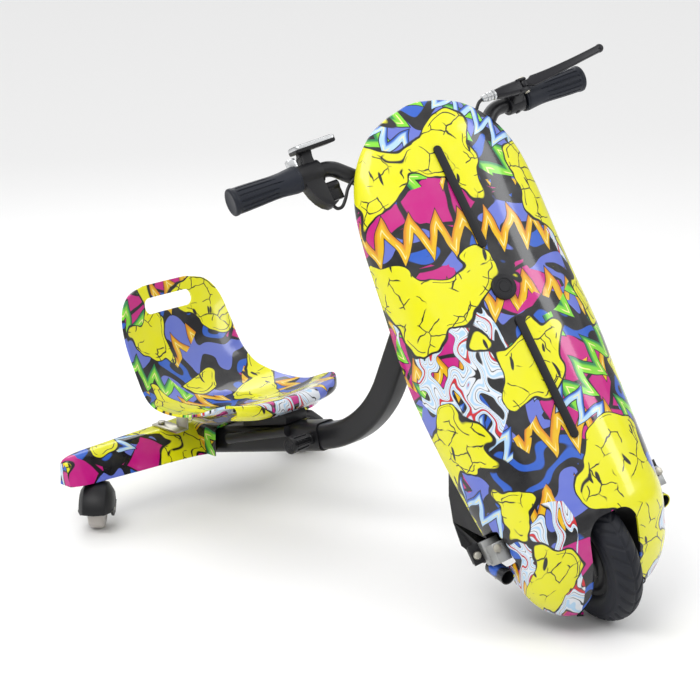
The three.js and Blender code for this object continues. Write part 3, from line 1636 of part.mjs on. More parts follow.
function makeRearShell() {
  const shares = [0, 0.16, 0.32, 0.5, 0.77, 0.87, 0.95, 1];
  const stations = (span) => [...shares.slice(1).reverse().map((s) => -s * span), ...shares.map((s) => s * span)];
  const outer = loft(stations(shellHalfSpan).map((x) => shellLoop(x, 0, 0)));
  const inside = loft(stations(shellHalfSpan - shellWall).map((x) => shellLoop(x, shellWall, overrun)));
  const noseFront = shellBack - noseReach;
  const bottom = shellBottom + groundDrop;
  const nose = (inset, drop) => {
    const shape = new THREE.Shape();
    const w = noseHalfWidth - inset;
    const top = bottom + noseHeight - inset;
    const radius = shellCorner - inset;
    shape.moveTo(-w, bottom - drop);
    shape.lineTo(w, bottom - drop);
    shape.lineTo(w, top - radius);
    shape.absarc(w - radius, top - radius, radius, 0, Math.PI / 2);
    shape.absarc(radius - w, top - radius, radius, Math.PI / 2, Math.PI);
    return plate(shape, "y", noseFront + inset - 2 * drop, shellBack - 2.2 * shellCorner - inset, 4);
  };
  const boltHoles = [-1, 1].map((side) =>
    rod(
      vec(side * postSpread, crossTubeBack, bottom + shellHeight / 2),
      vec(side * postSpread, crossTubeBack, bottom + shellHeight + overrun),
      seatBoltRadius + gap,
      seatBoltRadius + gap,
      10,
    ),
  );
  return cut(join(outer, nose(0, 0)), inside, nose(shellWall, overrun), ...boltHoles);
}

// Seat: the centre line as [place share along the profile, length share, height share, half-width share, side lift]
const seatShares = [
  [0.0, 0.048, 0.136, 0.8, 0.0],
  [0.05, 0.0, 0.21, 0.84, 0.0],
  [0.1, 0.029, 0.283, 0.87, 0.01],
  [0.2, 0.133, 0.231, 0.92, 0.04],
  [0.34, 0.305, 0.094, 0.96, 0.09],
  [0.48, 0.486, 0.021, 1.0, 0.13],
  [0.58, 0.639, 0.026, 0.99, 0.14],
  [0.66, 0.76, 0.105, 0.93, 0.14],
  [0.74, 0.854, 0.288, 0.88, 0.13],
  [0.84, 0.929, 0.565, 0.86, 0.1],
  [0.92, 0.972, 0.8, 0.79, 0.07],
  [0.97, 0.992, 0.945, 0.62, 0.04],
  [1.0, 1.0, 1.0, 0.34, 0.01],
];

function seatCentre(place) {
  const y = seatFront + seatLength * smooth(seatShares, place, 1);
  const z = seatLow + groundDrop + seatBackHeight * smooth(seatShares, place, 2);
  return vec(0, y, z);
}

// The seat's upward normal on its centre line.
function seatNormal(place) {
  const step = 0.004;
  const run = seatCentre(Math.min(place + step, 1)).sub(seatCentre(Math.max(place - step, 0)));
  return vec(0, -run.z, run.y).normalize();
}

function seatPoint(place, share, depth) {
  const normal = seatNormal(place);
  const half = seatHalfWidth * smooth(seatShares, place, 3);
  const lift = seatHalfWidth * smooth(seatShares, place, 4) * Math.abs(share) ** 2.6;
  const sweepBack = seatCornerSweep * share ** 4 * Math.max(1 - place / 0.45, 0);
  return seatCentre(place)
    .add(vec(half * share, sweepBack, 0))
    .addScaledVector(normal, lift - depth);
}

function makeSeat() {
  const places = spread(16);
  const across = spread(8).map((s) => 2 * s - 1);
  const loops = places.map((place) => [
    ...across.map((share) => seatPoint(place, share, 0)),
    ...[...across].reverse().map((share) => seatPoint(place, share, seatWall)),
  ]);
  const shell = loftStrip(loops);
  const middle = seatPoint(seatSlotPlace, 0, seatWall / 2);
  const reach = seatSlotHeight * 1.6;
  const slotShape = roundedRectangle(seatSlotWidth, seatSlotHeight, seatSlotHeight * 0.46);
  const slot = new THREE.ExtrudeGeometry(slotShape, { depth: reach * 2, curveSegments: 4, bevelEnabled: false });
  slot.translate(0, 0, -reach);
  slot.rotateX(Math.PI / 2);
  slot.translate(middle.x, middle.y, middle.z - seatSlotHeight * 0.3);
  return cut(shell, solid(slot));
}

// A closed sheet from loops that run over its top and back along its underside.
function loftStrip(loops) {
  const count = loops[0].length;
  const half = count / 2;
  const points = loops.flat();
  const faces = [];
  for (let ring = 0; ring + 1 < loops.length; ring++) {
    for (let i = 0; i < count; i++) {
      const a = ring * count + i;
      const b = ring * count + ((i + 1) % count);
      faces.push(a, b, b + count, a, b + count, a + count);
    }
  }
  const closeEnd = (ring, reversed) => {
    for (let i = 0; i + 1 < half; i++) {
      const a = ring * count + i;
      const b = a + 1;
      const under = ring * count + count - 1 - i;
      const quad = [a, under, under - 1, a, under - 1, b];
      faces.push(...(reversed ? quad : quad.reverse()));
    }
  };
  closeEnd(0, true);
  closeEnd(loops.length - 1, false);
  const geometry = new THREE.BufferGeometry().setFromPoints(points);
  geometry.setIndex(faces);
  return outward(geometry);
}

// The height of the sleeve's upper face, with room for what rests on it.
function sleeveTopAt(y) {
  const drop = (y - sleeveMouth.y) * Math.tan(beamRearSlope);
  return sleeveMouth.z - drop + (sleeveSize / 2) / Math.cos(beamRearSlope) + gap;
}

// Black moulded support between the sleeve and the front of the seat.
function makeSeatSupport() {
  const shape = new THREE.Shape();
  shape.moveTo(supportNose, sleeveTopAt(supportNose));
  shape.lineTo(supportNose, sleeveTopAt(supportNose) + supportNoseRise);
  spread(10).forEach((share) => {
    const y = supportFront + (supportBack - supportFront) * share;
    shape.lineTo(y, seatUndersideAt(y) - 2 * gap);
  });
  shape.lineTo(supportBack, sleeveTopAt(supportBack));
  return plate(shape, "x", -supportHalfWidth, supportHalfWidth);
}

// The height of the seat's underside on the centre line behind its front lip.
function seatUndersideAt(y) {
  let low = 0.14;
  let high = 0.66;
  for (let i = 0; i < 30; i++) {
    const middle = (low + high) / 2;
    if (seatPoint(middle, 0, seatWall).y < y) low = middle;
    else high = middle;
  }
  return seatPoint(low, 0, seatWall).z;
}

// Zinc-plated bracket: a plate under the seat, folded down on both sides to feet on the rear shell.
function makeSeatBracket() {
  const undersides = spread(6).map((s) => seatUndersideAt(bracketFront + (bracketBack - bracketFront) * s));
  const plateTop = Math.min(...undersides) - gap;
  const shellTop = shellBottom + shellHeight + groundDrop + gap;
  const top = block(
    [-bracketHalfWidth, bracketHalfWidth],
    [bracketFront, bracketBack],
    [plateTop - bracketPlate, plateTop],
  );
  const sides = [-1, 1].flatMap((side) => {
    const web = block(
      sideLimits(side, bracketHalfWidth - bracketPlate, bracketHalfWidth),
      [bracketFootFront, bracketBack],
      [shellTop, plateTop - bracketPlate / 2],
    );
    const foot = cut(
      block(
        sideLimits(side, bracketHalfWidth - bracketPlate, bracketHalfWidth + bracketFootWidth),
        [bracketFootFront, bracketFootBack],
        [shellTop, shellTop + bracketPlate],
      ),
      rod(
        vec(side * postSpread, crossTubeBack, shellTop - past),
        vec(side * postSpread, crossTubeBack, shellTop + bracketPlate + past),
        seatBoltRadius + gap,
        seatBoltRadius + gap,
        10,
      ),
    );
    return [web, foot];
  });
  return join(top, ...sides);
}

function makeSeatBolt(side) {
  const seatTop = shellBottom + shellHeight + groundDrop + bracketPlate + 2 * gap;
  const at = (z) => vec(side * postSpread, crossTubeBack, z);
  const head = rod(at(seatTop), at(seatTop + seatBoltHeadThickness), seatBoltHeadRadius, seatBoltHeadRadius, 6);
  const shank = rod(at(seatTop - shellHeight / 2), at(seatTop + weld), seatBoltRadius, seatBoltRadius, 10);
  return join(head, shank);
}

// Casters

// A round-shouldered drum about the axle, which the hood is cut from.
function hoodDrum(inset, axle) {
  const half = hoodRadius - inset;
  const radius = hoodTop + groundDrop - axle.z - inset;
  const profile = spread(6).map((share) => {
    const angle = Math.PI * share;
    return [-half * signedPower(Math.cos(angle), 0.7), radius * Math.sin(angle) ** 0.6];
  });
  return turnedAlongX(profile, 14).translate([0, axle.y, axle.z]);
}

// Modelled about the stem's axis, with the wheel trailing towards -Y.
function makeCasterHood() {
  const axle = vec(0, -casterTrail, casterWheelRadius + groundDrop);
  const top = hoodTop + groundDrop;
  const span = 2 * hoodRadius + 2 * casterWheelRadius;
  const below = block([-span, span], [-span, span], [axle.z - span, axle.z + hoodSkirt]);
  const cheeks = [-1, 1].map((side) => {
    const shape = new THREE.Shape();
    const reach = hoodRadius * 0.9;
    shape.moveTo(axle.y - reach, axle.z + hoodSkirt + weld);
    shape.lineTo(axle.y - reach * 0.3, axle.z - hoodCheekDrop);
    shape.lineTo(axle.y + reach * 0.3, axle.z - hoodCheekDrop);
    shape.lineTo(axle.y + reach, axle.z + hoodSkirt + weld);
    return plate(shape, "x", ...sideLimits(side, hoodRadius - hoodCheekWall - weld, hoodRadius - weld));
  });
  const stem = rod(vec(0, 0, top - stemRoot), vec(0, 0, socketFloor + stemLength), stemRadius, stemRadius, 14);
  const collar = rod(vec(0, 0, top - stemRoot), vec(0, 0, socketFloor - gap), stemRadius * 1.9, stemRadius * 1.6, 14);
  const pinHole = casterPinRadius + gap;
  const pin = rod(vec(-span, axle.y, axle.z), vec(span, axle.y, axle.z), pinHole, pinHole, 10);
  const cap = cut(hoodDrum(0, axle), hoodDrum(hoodWall, axle), below);
  return cut(join(cap, ...cheeks, stem, collar), hoodDrum(hoodCheekWall * 1.3, axle), pin);
}

function makeCasterWheel() {
  const half = casterWheelWidth / 2;
  const bore = casterPinRadius + gap;
  const crown = spread(5).map((share) => {
    const angle = Math.PI * (share - 0.5);
    return [-half * Math.sin(angle), casterWheelRadius - half * 0.72 + half * 0.72 * Math.cos(angle)];
  });
  return turnedAlongX([[half, bore], ...crown, [-half, bore], [half, bore]], 18);
}

function makeCasterPin() {
  const half = hoodRadius - 2 * gap;
  return rod(vec(-half, 0, 0), vec(half, 0, 0), casterPinRadius, casterPinRadius, 10);
}

// Assembly

const trike = new THREE.Group();

const vehicle = new THREE.Group();
trike.add(vehicle);
vehicle.add(piece("main_frame", makeMainFrame(), finishes.satinBlack));
vehicle.add(piece("rear_frame", makeRearFrame(), finishes.satinBlack));
vehicle.add(piece("clamp_knob", makeClampKnob(), finishes.blackPlastic));
vehicle.add(piece("rear_shell", makeRearShell(), finishes.print));
vehicle.add(piece("seat", makeSeat(), finishes.print));
vehicle.add(piece("seat_support", makeSeatSupport(), finishes.blackPlastic));
vehicle.add(piece("seat_bracket", makeSeatBracket(), finishes.zinc));

const raked = new THREE.Group();
raked.rotation.x = -rake;
raked.position.copy(axisFoot);
vehicle.add(raked);
const upperCup = piece("headset_upper", makeHeadsetCup(true), finishes.satinBlack);
upperCup.position.z = headTubeTop;
const lowerCup = piece("headset_lower", makeHeadsetCup(false), finishes.satinBlack);
lowerCup.position.z = headTubeBottom;
raked.add(upperCup, lowerCup);

const steered = new THREE.Group();
steered.rotation.z = steerAngle;
raked.add(steered);
const axleGroup = new THREE.Group();
axleGroup.position.y = axleSetback;
axleGroup.add(
  piece("tyre", makeTyre(), finishes.tyreRubber),
  piece("hub_motor", makeHubMotor(), finishes.satinBlack),
  piece("front_axle", makeAxle(), finishes.zinc),
  piece("drum_brake", makeDrumBrake(), finishes.satinBlack),
);
steered.add(
  axleGroup,
  piece("fork", makeFork(), finishes.satinBlack),
  piece("stem", makeStem(), finishes.satinBlack),
  piece("handlebar", makeHandlebar(), finishes.satinBlack),
  piece("front_fairing", makeFairing(), finishes.print),
  piece("strip_upper", makeStrip(upperStripBottom, upperStripLength), finishes.blackPlastic),
  piece("strip_lower", makeStrip(lowerStripBottom, lowerStripLength), finishes.blackPlastic),
  piece("fairing_cap", makeFairingCap(), finishes.blackPlastic),
  piece("fairing_post", makeFairingPost(), finishes.satinBlack),
  piece("back_cover", makeBackCover(), finishes.blackPlastic),
  piece("battery_pack", makeBattery(), finishes.batteryWrap),
  piece("motor_controller", makeController(), finishes.castAlloy),
  piece("throttle_housing", makeThrottleHousing(), finishes.blackPlastic),
  piece("throttle_paddle", makePaddle(), finishes.glossBlack),
  piece("display", displaySolid(0), finishes.silver),
  piece("power_button", buttonSolid(0), finishes.silver),
  piece("brake_perch", makeBrakePerch(), finishes.satinBlack),
  piece("brake_lever", makeBrakeLever(), finishes.satinBlack),
  piece("lever_pin", makeLeverPin(), finishes.zinc),
  piece("barrel_adjuster", makeBarrelAdjuster(), finishes.silver),
  piece("brake_cable", makeCable(brakeCableRoute(), 2), finishes.blackPlastic),
  piece("throttle_cable", makeCable(throttleCableRoute(), 2), finishes.blackPlastic),
);

for (const [side, hand] of [
  [-1, "right"],
  [1, "left"],
]) {
  axleGroup.add(piece("axle_nut_" + hand, makeAxleNut(side), finishes.zinc));
  vehicle.add(piece("seat_bolt_" + hand, makeSeatBolt(side), finishes.zinc));
  steered.add(
    piece("grip_" + hand, makeGrip(side), finishes.softRubber),
    piece("peg_bracket_" + hand, makePegBracket(side), finishes.castAlloy),
    piece("peg_bolt_" + hand, makePegBolt(side), finishes.zinc),
    piece("foot_peg_" + hand, makePeg(side), finishes.print),
    piece("peg_pin_" + hand, makePegPin(side), finishes.zinc),
    piece("cover_screw_" + hand, makeCoverScrew(side), finishes.zinc),
  );
  const swivel = new THREE.Group();
  swivel.position.set(side * socketSpread, crossTubeBack, 0);
  swivel.rotation.z = -side * casterYaw;
  swivel.add(piece("caster_hood_" + hand, makeCasterHood(), finishes.blackPlastic));
  const wheelPlace = vec(0, -casterTrail, casterWheelRadius + groundDrop);
  const wheel = piece("caster_wheel_" + hand, makeCasterWheel(), finishes.greyWheel);
  const pin = piece("caster_pin_" + hand, makeCasterPin(), finishes.zinc);
  wheel.position.copy(wheelPlace);
  pin.position.copy(wheelPlace);
  swivel.add(wheel, pin);
  vehicle.add(swivel);
}

// The origin is the middle of the whole trike's footprint, on the ground.
trike.updateMatrixWorld(true);
const bounds = new THREE.Box3().setFromObject(trike, true);
const middle = bounds.getCenter(vec());
vehicle.position.set(-middle.x, -middle.y, -bounds.min.z);

export default trike;
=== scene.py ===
# %% [markdown]
# # An electric drift trike
#
# The CAD frame holds every solid piece of the trike in its true place, in metres. This script keeps those
# solids for what they weigh and hit, and shows a finer piece over each one. The trike leans its steering
# back and is drawn with its wheel turned, so first comes a matrix from the fork's own upright frame to the
# world. Without it every part of the fork would need turning by hand.

import json
import math

import bmesh
import bpy
import numpy as np
from mathutils import Matrix, Vector


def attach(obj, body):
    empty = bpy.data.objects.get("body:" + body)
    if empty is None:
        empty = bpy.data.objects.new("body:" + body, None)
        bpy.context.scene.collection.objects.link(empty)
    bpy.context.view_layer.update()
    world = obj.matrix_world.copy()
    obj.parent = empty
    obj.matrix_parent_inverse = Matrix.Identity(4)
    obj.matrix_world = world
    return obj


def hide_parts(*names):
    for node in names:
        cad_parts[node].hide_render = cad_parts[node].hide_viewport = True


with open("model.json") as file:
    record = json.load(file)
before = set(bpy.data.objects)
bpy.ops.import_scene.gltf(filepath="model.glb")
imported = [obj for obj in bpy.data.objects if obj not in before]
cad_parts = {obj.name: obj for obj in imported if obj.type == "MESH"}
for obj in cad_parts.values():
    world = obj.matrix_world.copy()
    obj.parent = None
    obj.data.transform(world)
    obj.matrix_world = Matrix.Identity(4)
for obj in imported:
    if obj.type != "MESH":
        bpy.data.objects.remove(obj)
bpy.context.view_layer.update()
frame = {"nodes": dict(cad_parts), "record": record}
joints = {joint["name"]: joint for joint in frame["record"]["behaviour"]["joints"]}
MM = 0.001

# %% Find the fork's frame
steering = joints["steering_pivot"]
axle = joints["front_axle_spin"]
fork_up = Vector(steering["axis"]).normalized()
fork_left = Vector(axle["axis"]).normalized()
fork_back = fork_up.cross(fork_left)
fork_frame = Matrix((fork_left, fork_back, fork_up)).transposed().to_4x4()
fork_frame.translation = Vector(steering["pos_m"])
print("fork frame at", [round(v, 4) for v in fork_frame.translation])

# %% [markdown]
# ## The trike's own frame
#
# The frame, the seat and the casters don't turn with the fork. Their points are easiest to give across from
# the trike's middle, back from its front wheel and up from the ground. The casters' swivels say where that
# frame lies.

# %% Find the trike's frame
swivel_left = Vector(joints["caster_left_swivel"]["pos_m"])
swivel_right = Vector(joints["caster_right_swivel"]["pos_m"])
CASTER_BACK = 792 * MM
CASTER_WHEEL_RADIUS = 31.5 * MM
middle_x = (swivel_left.x + swivel_right.x) / 2
front_y = swivel_left.y - CASTER_BACK
ground_z = joints["caster_wheel_left_spin"]["pos_m"][2] - CASTER_WHEEL_RADIUS
trike_frame = Matrix.Translation((middle_x, front_y, ground_z))
print("trike frame at", [round(v, 4) for v in trike_frame.translation])

# %% [markdown]
# ## Camera
#
# The photograph's lens was worked out from the trike itself: a long lens two and a half metres away, a
# little above the seat. The camera is placed by a target, two angles and a distance rather than by a
# location, which keeps the trike in the middle when one of them changes.

# %% Set the camera
CAMERA_TARGET = trike_frame @ Vector((0, 448.56 * MM, 307.16 * MM))
CAMERA_AZIMUTH = math.radians(-48.508)
CAMERA_ELEVATION = math.radians(16.45)
CAMERA_DISTANCE = 2.54562
CAMERA_LENS, CAMERA_SENSOR = 85.39, 36


def direction_to(turn, lift):
    """A direction from its angle round from the front and its angle above the ground."""
    return Vector((math.sin(turn) * math.cos(lift), -math.cos(turn) * math.cos(lift), math.sin(lift)))


away = direction_to(CAMERA_AZIMUTH, CAMERA_ELEVATION)
camera_data = bpy.data.cameras.new("camera")
camera_data.lens = CAMERA_LENS
camera_data.sensor_width = CAMERA_SENSOR
camera = bpy.data.objects.new("camera", camera_data)
camera.location = CAMERA_TARGET + away * CAMERA_DISTANCE
camera.rotation_euler = (-away).to_track_quat("-Z", "Y").to_euler()
bpy.context.scene.collection.objects.link(camera)
bpy.context.scene.camera = camera
print("camera at", [round(v, 3) for v in camera.location])

# %% [markdown]
# ## Studio
#
# The photograph is a plain cut-out on white with soft light. A sun would leave hard shadows, and a glossy
# surface shows the shape of the lamp, so the lamps are large. A very large sheet of light overhead whitens
# the floor, the others draw long highlights, and the world fills the shadows.

# %% Light the studio
WORLD_STRENGTH = 0.52


def area_light(name, size, power, azimuth, elevation, distance, color=(1, 1, 1)):
    """A rectangle of light that looks at the camera's target."""
    data = bpy.data.lights.new(name, "AREA")
    data.shape = "RECTANGLE"
    data.size, data.size_y = size
    data.energy = power
    data.color = color
    light = bpy.data.objects.new(name, data)
    towards = direction_to(math.radians(azimuth), math.radians(elevation))
    light.location = CAMERA_TARGET + towards * distance
    light.rotation_euler = towards.to_track_quat("Z", "Y").to_euler()
    bpy.context.scene.collection.objects.link(light)
    print(name, power, "watts")


area_light("key_light", (1.5, 0.9), 24, -82, 50, 2.3, (1, 0.99, 0.97))
area_light("front_light", (0.35, 1.5), 9, 22, 34, 2.5, (0.97, 0.985, 1))
area_light("top_light", (60, 60), 6000, 0, 88, 16)
area_light("back_light", (1.8, 1.2), 14, 150, 40, 2.6)

world = bpy.data.worlds.new("studio")
world.use_nodes = True
sky = world.node_tree.nodes["Background"].inputs
sky["Color"].default_value = (1, 1, 1, 1)
sky["Strength"].default_value = WORLD_STRENGTH
bpy.context.scene.world = world
bpy.context.scene.view_settings.view_transform = "Standard"

# %% [markdown]
# ## Wiring a material
#
# Every finish is a small recipe of shader nodes. Placing and linking nodes one by one takes four lines for
# each sum. A class that wires either a number or another node's socket into an input makes a finish read
# almost like a formula.

# %% Write the wiring
class Wiring:
    """Adds shader nodes to one material and wires numbers or sockets into them."""

    def __init__(self, name, roughness, metallic=0.0, color=(0.5, 0.5, 0.5)):
        self.material = bpy.data.materials.new(name)
        self.material.use_nodes = True
        self.tree = self.material.node_tree
        self.shader = self.tree.nodes["Principled BSDF"]
        self.set("Roughness", roughness)
        self.set("Metallic", metallic)
        self.set("Base Color", (*color, 1))

    def set(self, socket, value):
        self.plug(self.shader.inputs[socket], value)

    def plug(self, socket, value):
        if isinstance(value, bpy.types.NodeSocket):
            self.tree.links.new(value, socket)
        else:
            socket.default_value = value

    def node(self, kind, inputs=None, **settings):
        made = self.tree.nodes.new(kind)
        for key, value in settings.items():
            setattr(made, key, value)
        for key, value in (inputs or {}).items():
            self.plug(made.inputs[key], value)
        return made

    def filled(self, kind, operation, values):
        """A node with one operation, its inputs filled in order."""
        made = self.node(kind, operation=operation)
        for socket, value in zip(made.inputs, values):
            self.plug(socket, value)
        return made.outputs[0]

# %% [markdown]
# ## Sums, mixes and noise
#
# No painted or moulded surface is one flat colour, so colour, gloss and relief are all worked out from
# noise. The noise reads Object coordinates, which are true metres on every piece, so a grain has the same
# size on a small screw and on the long beam.

# %% Write the recipe
class Recipe(Wiring):
    """The sums, mixes and noise that a finish is made of."""

    def math(self, operation, *values):
        return self.filled("ShaderNodeMath", operation, values)

    def vector(self, operation, *values):
        return self.filled("ShaderNodeVectorMath", operation, values)

    def combine(self, x, y, z=0.0):
        return self.node("ShaderNodeCombineXYZ", {"X": x, "Y": y, "Z": z}).outputs[0]

    def split(self, vector):
        return self.node("ShaderNodeSeparateXYZ", {"Vector": vector}).outputs

    def mix(self, factor, a, b):
        made = self.node("ShaderNodeMix", data_type="RGBA")
        self.plug(made.inputs[0], factor)
        self.plug(made.inputs[6], a if isinstance(a, bpy.types.NodeSocket) else (*a, 1))
        self.plug(made.inputs[7], b if isinstance(b, bpy.types.NodeSocket) else (*b, 1))
        return made.outputs[2]

    def object_point(self):
        return self.node("ShaderNodeTexCoord").outputs["Object"]

    def noise(self, point, scale, detail=2.0, roughness=0.5):
        inputs = {"Vector": point, "Scale": scale, "Detail": detail, "Roughness": roughness}
        return self.node("ShaderNodeTexNoise", inputs).outputs["Fac"]

    def between(self, value, low, high, to_low, to_high):
        inputs = {"Value": value, "From Min": low, "From Max": high, "To Min": to_low, "To Max": to_high}
        return self.node("ShaderNodeMapRange", inputs).outputs[0]

    def bump(self, height, strength, distance):
        inputs = {"Height": height, "Strength": strength, "Distance": distance}
        self.set("Normal", self.node("ShaderNodeBump", inputs).outputs[0])

# %% [markdown]
# ## Plain finishes
#
# Paint, moulded plastic, rubber and zinc are told apart by how the colour drifts, how the gloss drifts, and
# the fine relief. A photograph wrapped on would stretch over bends. One function takes all three from noise
# at the real material's scale: a few millimetres on paint, under one on moulded plastic.

# %% Write the grained finish
DRIFT_SCALE, DRIFT_LOW, DRIFT_HIGH = 9, 0.3, 0.7
GRAIN_STRENGTH = 0.35
METAL_SHINE, BLACK_SHINE = 0.5, 0.3


def grained(name, dark, light, roughness, grain, relief, metallic=0.0, spread=0.12):
    recipe = Recipe(name, roughness, metallic)
    point = recipe.object_point()
    broad = recipe.noise(point, DRIFT_SCALE, 3)
    fine = recipe.noise(point, grain, 2, 0.6)
    drift = recipe.between(broad, DRIFT_LOW, DRIFT_HIGH, 0, 1)
    recipe.set("Base Color", recipe.mix(drift, dark, light))
    uneven = recipe.math("ADD", recipe.math("MULTIPLY", broad, 0.6), recipe.math("MULTIPLY", fine, 0.4))
    smoothest, roughest = roughness - spread / 2, roughness + spread / 2
    recipe.set("Roughness", recipe.between(uneven, DRIFT_LOW, DRIFT_HIGH, smoothest, roughest))
    recipe.bump(fine, GRAIN_STRENGTH, relief)
    recipe.set("Specular IOR Level", METAL_SHINE if metallic else BLACK_SHINE)
    print("finish", name)
    return recipe

# %% [markdown]
# ## Blacks
#
# Most of the trike is black, but no two of its blacks are alike: satin paint on the beam, grained plastic
# on the cover, bluish rubber on the grips. The colours stay close together, and the roughness and the grain
# tell them apart, as on the real thing.

# %% Make the blacks
# each line: darkest and lightest colour, roughness, grains in a metre, relief in metres
satin_paint = grained(
    "satin_black_paint", (0.006, 0.006, 0.007), (0.011, 0.011, 0.013), 0.36, 260, 0.00012
)
satin_paint.set("Coat Weight", 0.15)
satin_paint.set("Coat Roughness", 0.3)
moulded = grained(
    "moulded_black_plastic", (0.005, 0.005, 0.006), (0.01, 0.01, 0.012), 0.46, 1400, 0.00014
)
smooth_plastic = grained(
    "smooth_black_plastic", (0.006, 0.006, 0.008), (0.01, 0.01, 0.012), 0.26, 500, 0.00004
)
cast_black = grained(
    "black_coated_casting", (0.007, 0.007, 0.009), (0.013, 0.013, 0.017), 0.36, 700, 0.00018
)
grip_rubber = grained("grip_rubber", (0.007, 0.009, 0.015), (0.013, 0.016, 0.026), 0.5, 1100, 0.0002)
tyre_rubber = grained("tyre_rubber", (0.006, 0.007, 0.011), (0.013, 0.015, 0.022), 0.56, 900, 0.00025)
cable_black = grained("cable_jacket", (0.012, 0.012, 0.013), (0.02, 0.02, 0.021), 0.38, 500, 0.00005)
# plain black for the inner faces of the mouldings and the footrests' bores, in place of the print
inside_black = grained("plain_black_inside", (0.008, 0.008, 0.009), (0.014, 0.014, 0.015), 0.6, 500, 0.00008)
dark_glass = grained(
    "display_glass", (0.006, 0.007, 0.01), (0.009, 0.01, 0.014), 0.06, 60, 0.00001, 0.0, 0.03
)

# %% [markdown]
# ## Metals and the rest
#
# The bolts and the seat's bracket are zinc plated, the footrests' brackets are bare cast alloy, and the
# adjuster and the display are a brighter silver. Metallic near 1 with a spotty roughness gives the cloudy
# look of plating. The caster's wheel and the battery's wrap aren't metal, so theirs stays at 0.

# %% Make the metals and the rest
# the last two numbers are how metallic it is and how far its roughness drifts
zinc = grained("zinc_plate", (0.36, 0.34, 0.28), (0.55, 0.53, 0.47), 0.36, 420, 0.00006, 0.95, 0.2)
cast_alloy = grained("cast_alloy", (0.3, 0.31, 0.31), (0.47, 0.47, 0.46), 0.48, 620, 0.00022, 0.85, 0.2)
silver = grained("silver_trim", (0.52, 0.53, 0.54), (0.64, 0.65, 0.66), 0.26, 300, 0.00003, 0.9, 0.12)
wheel_grey = grained("caster_grey", (0.4, 0.37, 0.345), (0.5, 0.47, 0.44), 0.36, 340, 0.00006)
battery_wrap = grained("battery_wrap", (0.02, 0.07, 0.2), (0.03, 0.1, 0.27), 0.35, 120, 0.0003)

# %% [markdown]
# ## The print's inks
#
# The fairing, the seat and the rear shell are moulded black and then dipped through a floating film of ink,
# so one bold pattern runs over every curve under a clear gloss coat. An image could carry it, but would be
# a fixed picture. Here nodes draw it in a flat map whose units are metres on the surface. The inks are few
# and strong.

# %% Mix the inks
INK_BLACK = (0.008, 0.008, 0.01)
INK_WHITE = (0.7, 0.73, 0.78)
INK_YELLOW = (0.73, 0.71, 0.006)
INK_GOLD = (0.72, 0.43, 0.006)
INK_CREAM = (0.85, 0.75, 0.3)
INK_ORANGE = (0.62, 0.22, 0.006)
INK_MAGENTA = (0.5, 0.008, 0.2)
INK_PERIWINKLE = (0.12, 0.16, 0.56)
INK_ROYAL = (0.02, 0.1, 0.5)
INK_ICE = (0.4, 0.6, 0.8)
INK_LIME = (0.2, 0.62, 0.03)
INK_GREEN = (0.01, 0.2, 0.06)
INK_RED = (0.55, 0.02, 0.03)

# %% [markdown]
# ## Masks and layers
#
# Each motif is a mask, 1 where its ink lies and 0 elsewhere, and the masks are laid over one another like
# coats of ink. A mask is a field of numbers, such as noise or the distance to a cell's edge, cut at a
# limit. Pushing the map about with noise first makes a straight motif look drawn by hand.

# %% Write the print's recipe
# lengths in the print are in metres of its map, and scales count cells or waves in a metre
PRINT_SCALE = 1.18
FINE_EDGE = 0.0006


class Print(Recipe):
    """A recipe whose pattern lies in the piece's own flat map, in metres."""

    def __init__(self, name, shift):
        super().__init__(name, 0.12)
        flat = self.node("ShaderNodeUVMap", uv_map="print").outputs[0]
        scaled = self.vector("MULTIPLY", flat, (PRINT_SCALE, PRINT_SCALE, 1))
        self.map = self.vector("ADD", scaled, self.combine(*shift))
        self.x, self.y, _ = self.split(self.map)
        self.ink = None

    def lay(self, mask, ink):
        self.ink = ink if self.ink is None else self.mix(mask, self.ink, ink)

    def edge(self, value, limit, soft=FINE_EDGE):
        """1 where value is under limit, with a soft edge a fraction of a millimetre wide."""
        return self.between(value, limit - soft, limit + soft, 1, 0)

    def both(self, *masks):
        whole = masks[0]
        for mask in masks[1:]:
            whole = self.math("MULTIPLY", whole, mask)
        return whole

    def off(self, value, middle):
        """How far value is from middle."""
        return self.math("ABSOLUTE", self.math("SUBTRACT", value, middle))

    def warped(self, point, scale, reach):
        noise = self.node("ShaderNodeTexNoise", {"Vector": point, "Scale": scale, "Detail": 1.0})
        centred = self.vector("SUBTRACT", noise.outputs["Color"], (0.5, 0.5, 0.5))
        pushed = self.vector("MULTIPLY", centred, (reach * 2, reach * 2, 0))
        return self.vector("ADD", point, pushed)

    def cells(self, point, scale, randomness=1.0, feature="F1", metric="EUCLIDEAN"):
        made = self.node("ShaderNodeTexVoronoi", voronoi_dimensions="2D", feature=feature)
        if feature != "DISTANCE_TO_EDGE":
            made.distance = metric
        for key, value in (("Vector", point), ("Scale", scale), ("Randomness", randomness)):
            self.plug(made.inputs[key], value)
        return made.outputs

    def zone(self, scale, share, offset):
        """Picks a share of large cells, so that a motif comes and goes."""
        moved = self.vector("ADD", self.warped(self.map, 8, 0.03), self.combine(*offset))
        random = self.split(self.cells(moved, scale)["Color"])[0]
        return self.edge(random, share, 0.001)

# %% [markdown]
# ## Patches and blocks
#
# The lowest coats are patches of two blues on black with a black contour, and a few angular blocks of
# magenta. Noise gives the patches. The blocks are single cells of a Voronoi pattern measured along its two
# axes, because that metric gives straight, pointed sides.

# %% Lay the patches and the blocks
PATCH_LIMIT, ROYAL_MIDDLE = 0.47, 0.62
BLOCK_SCALE, BLOCK_SHARE = 10, 0.22


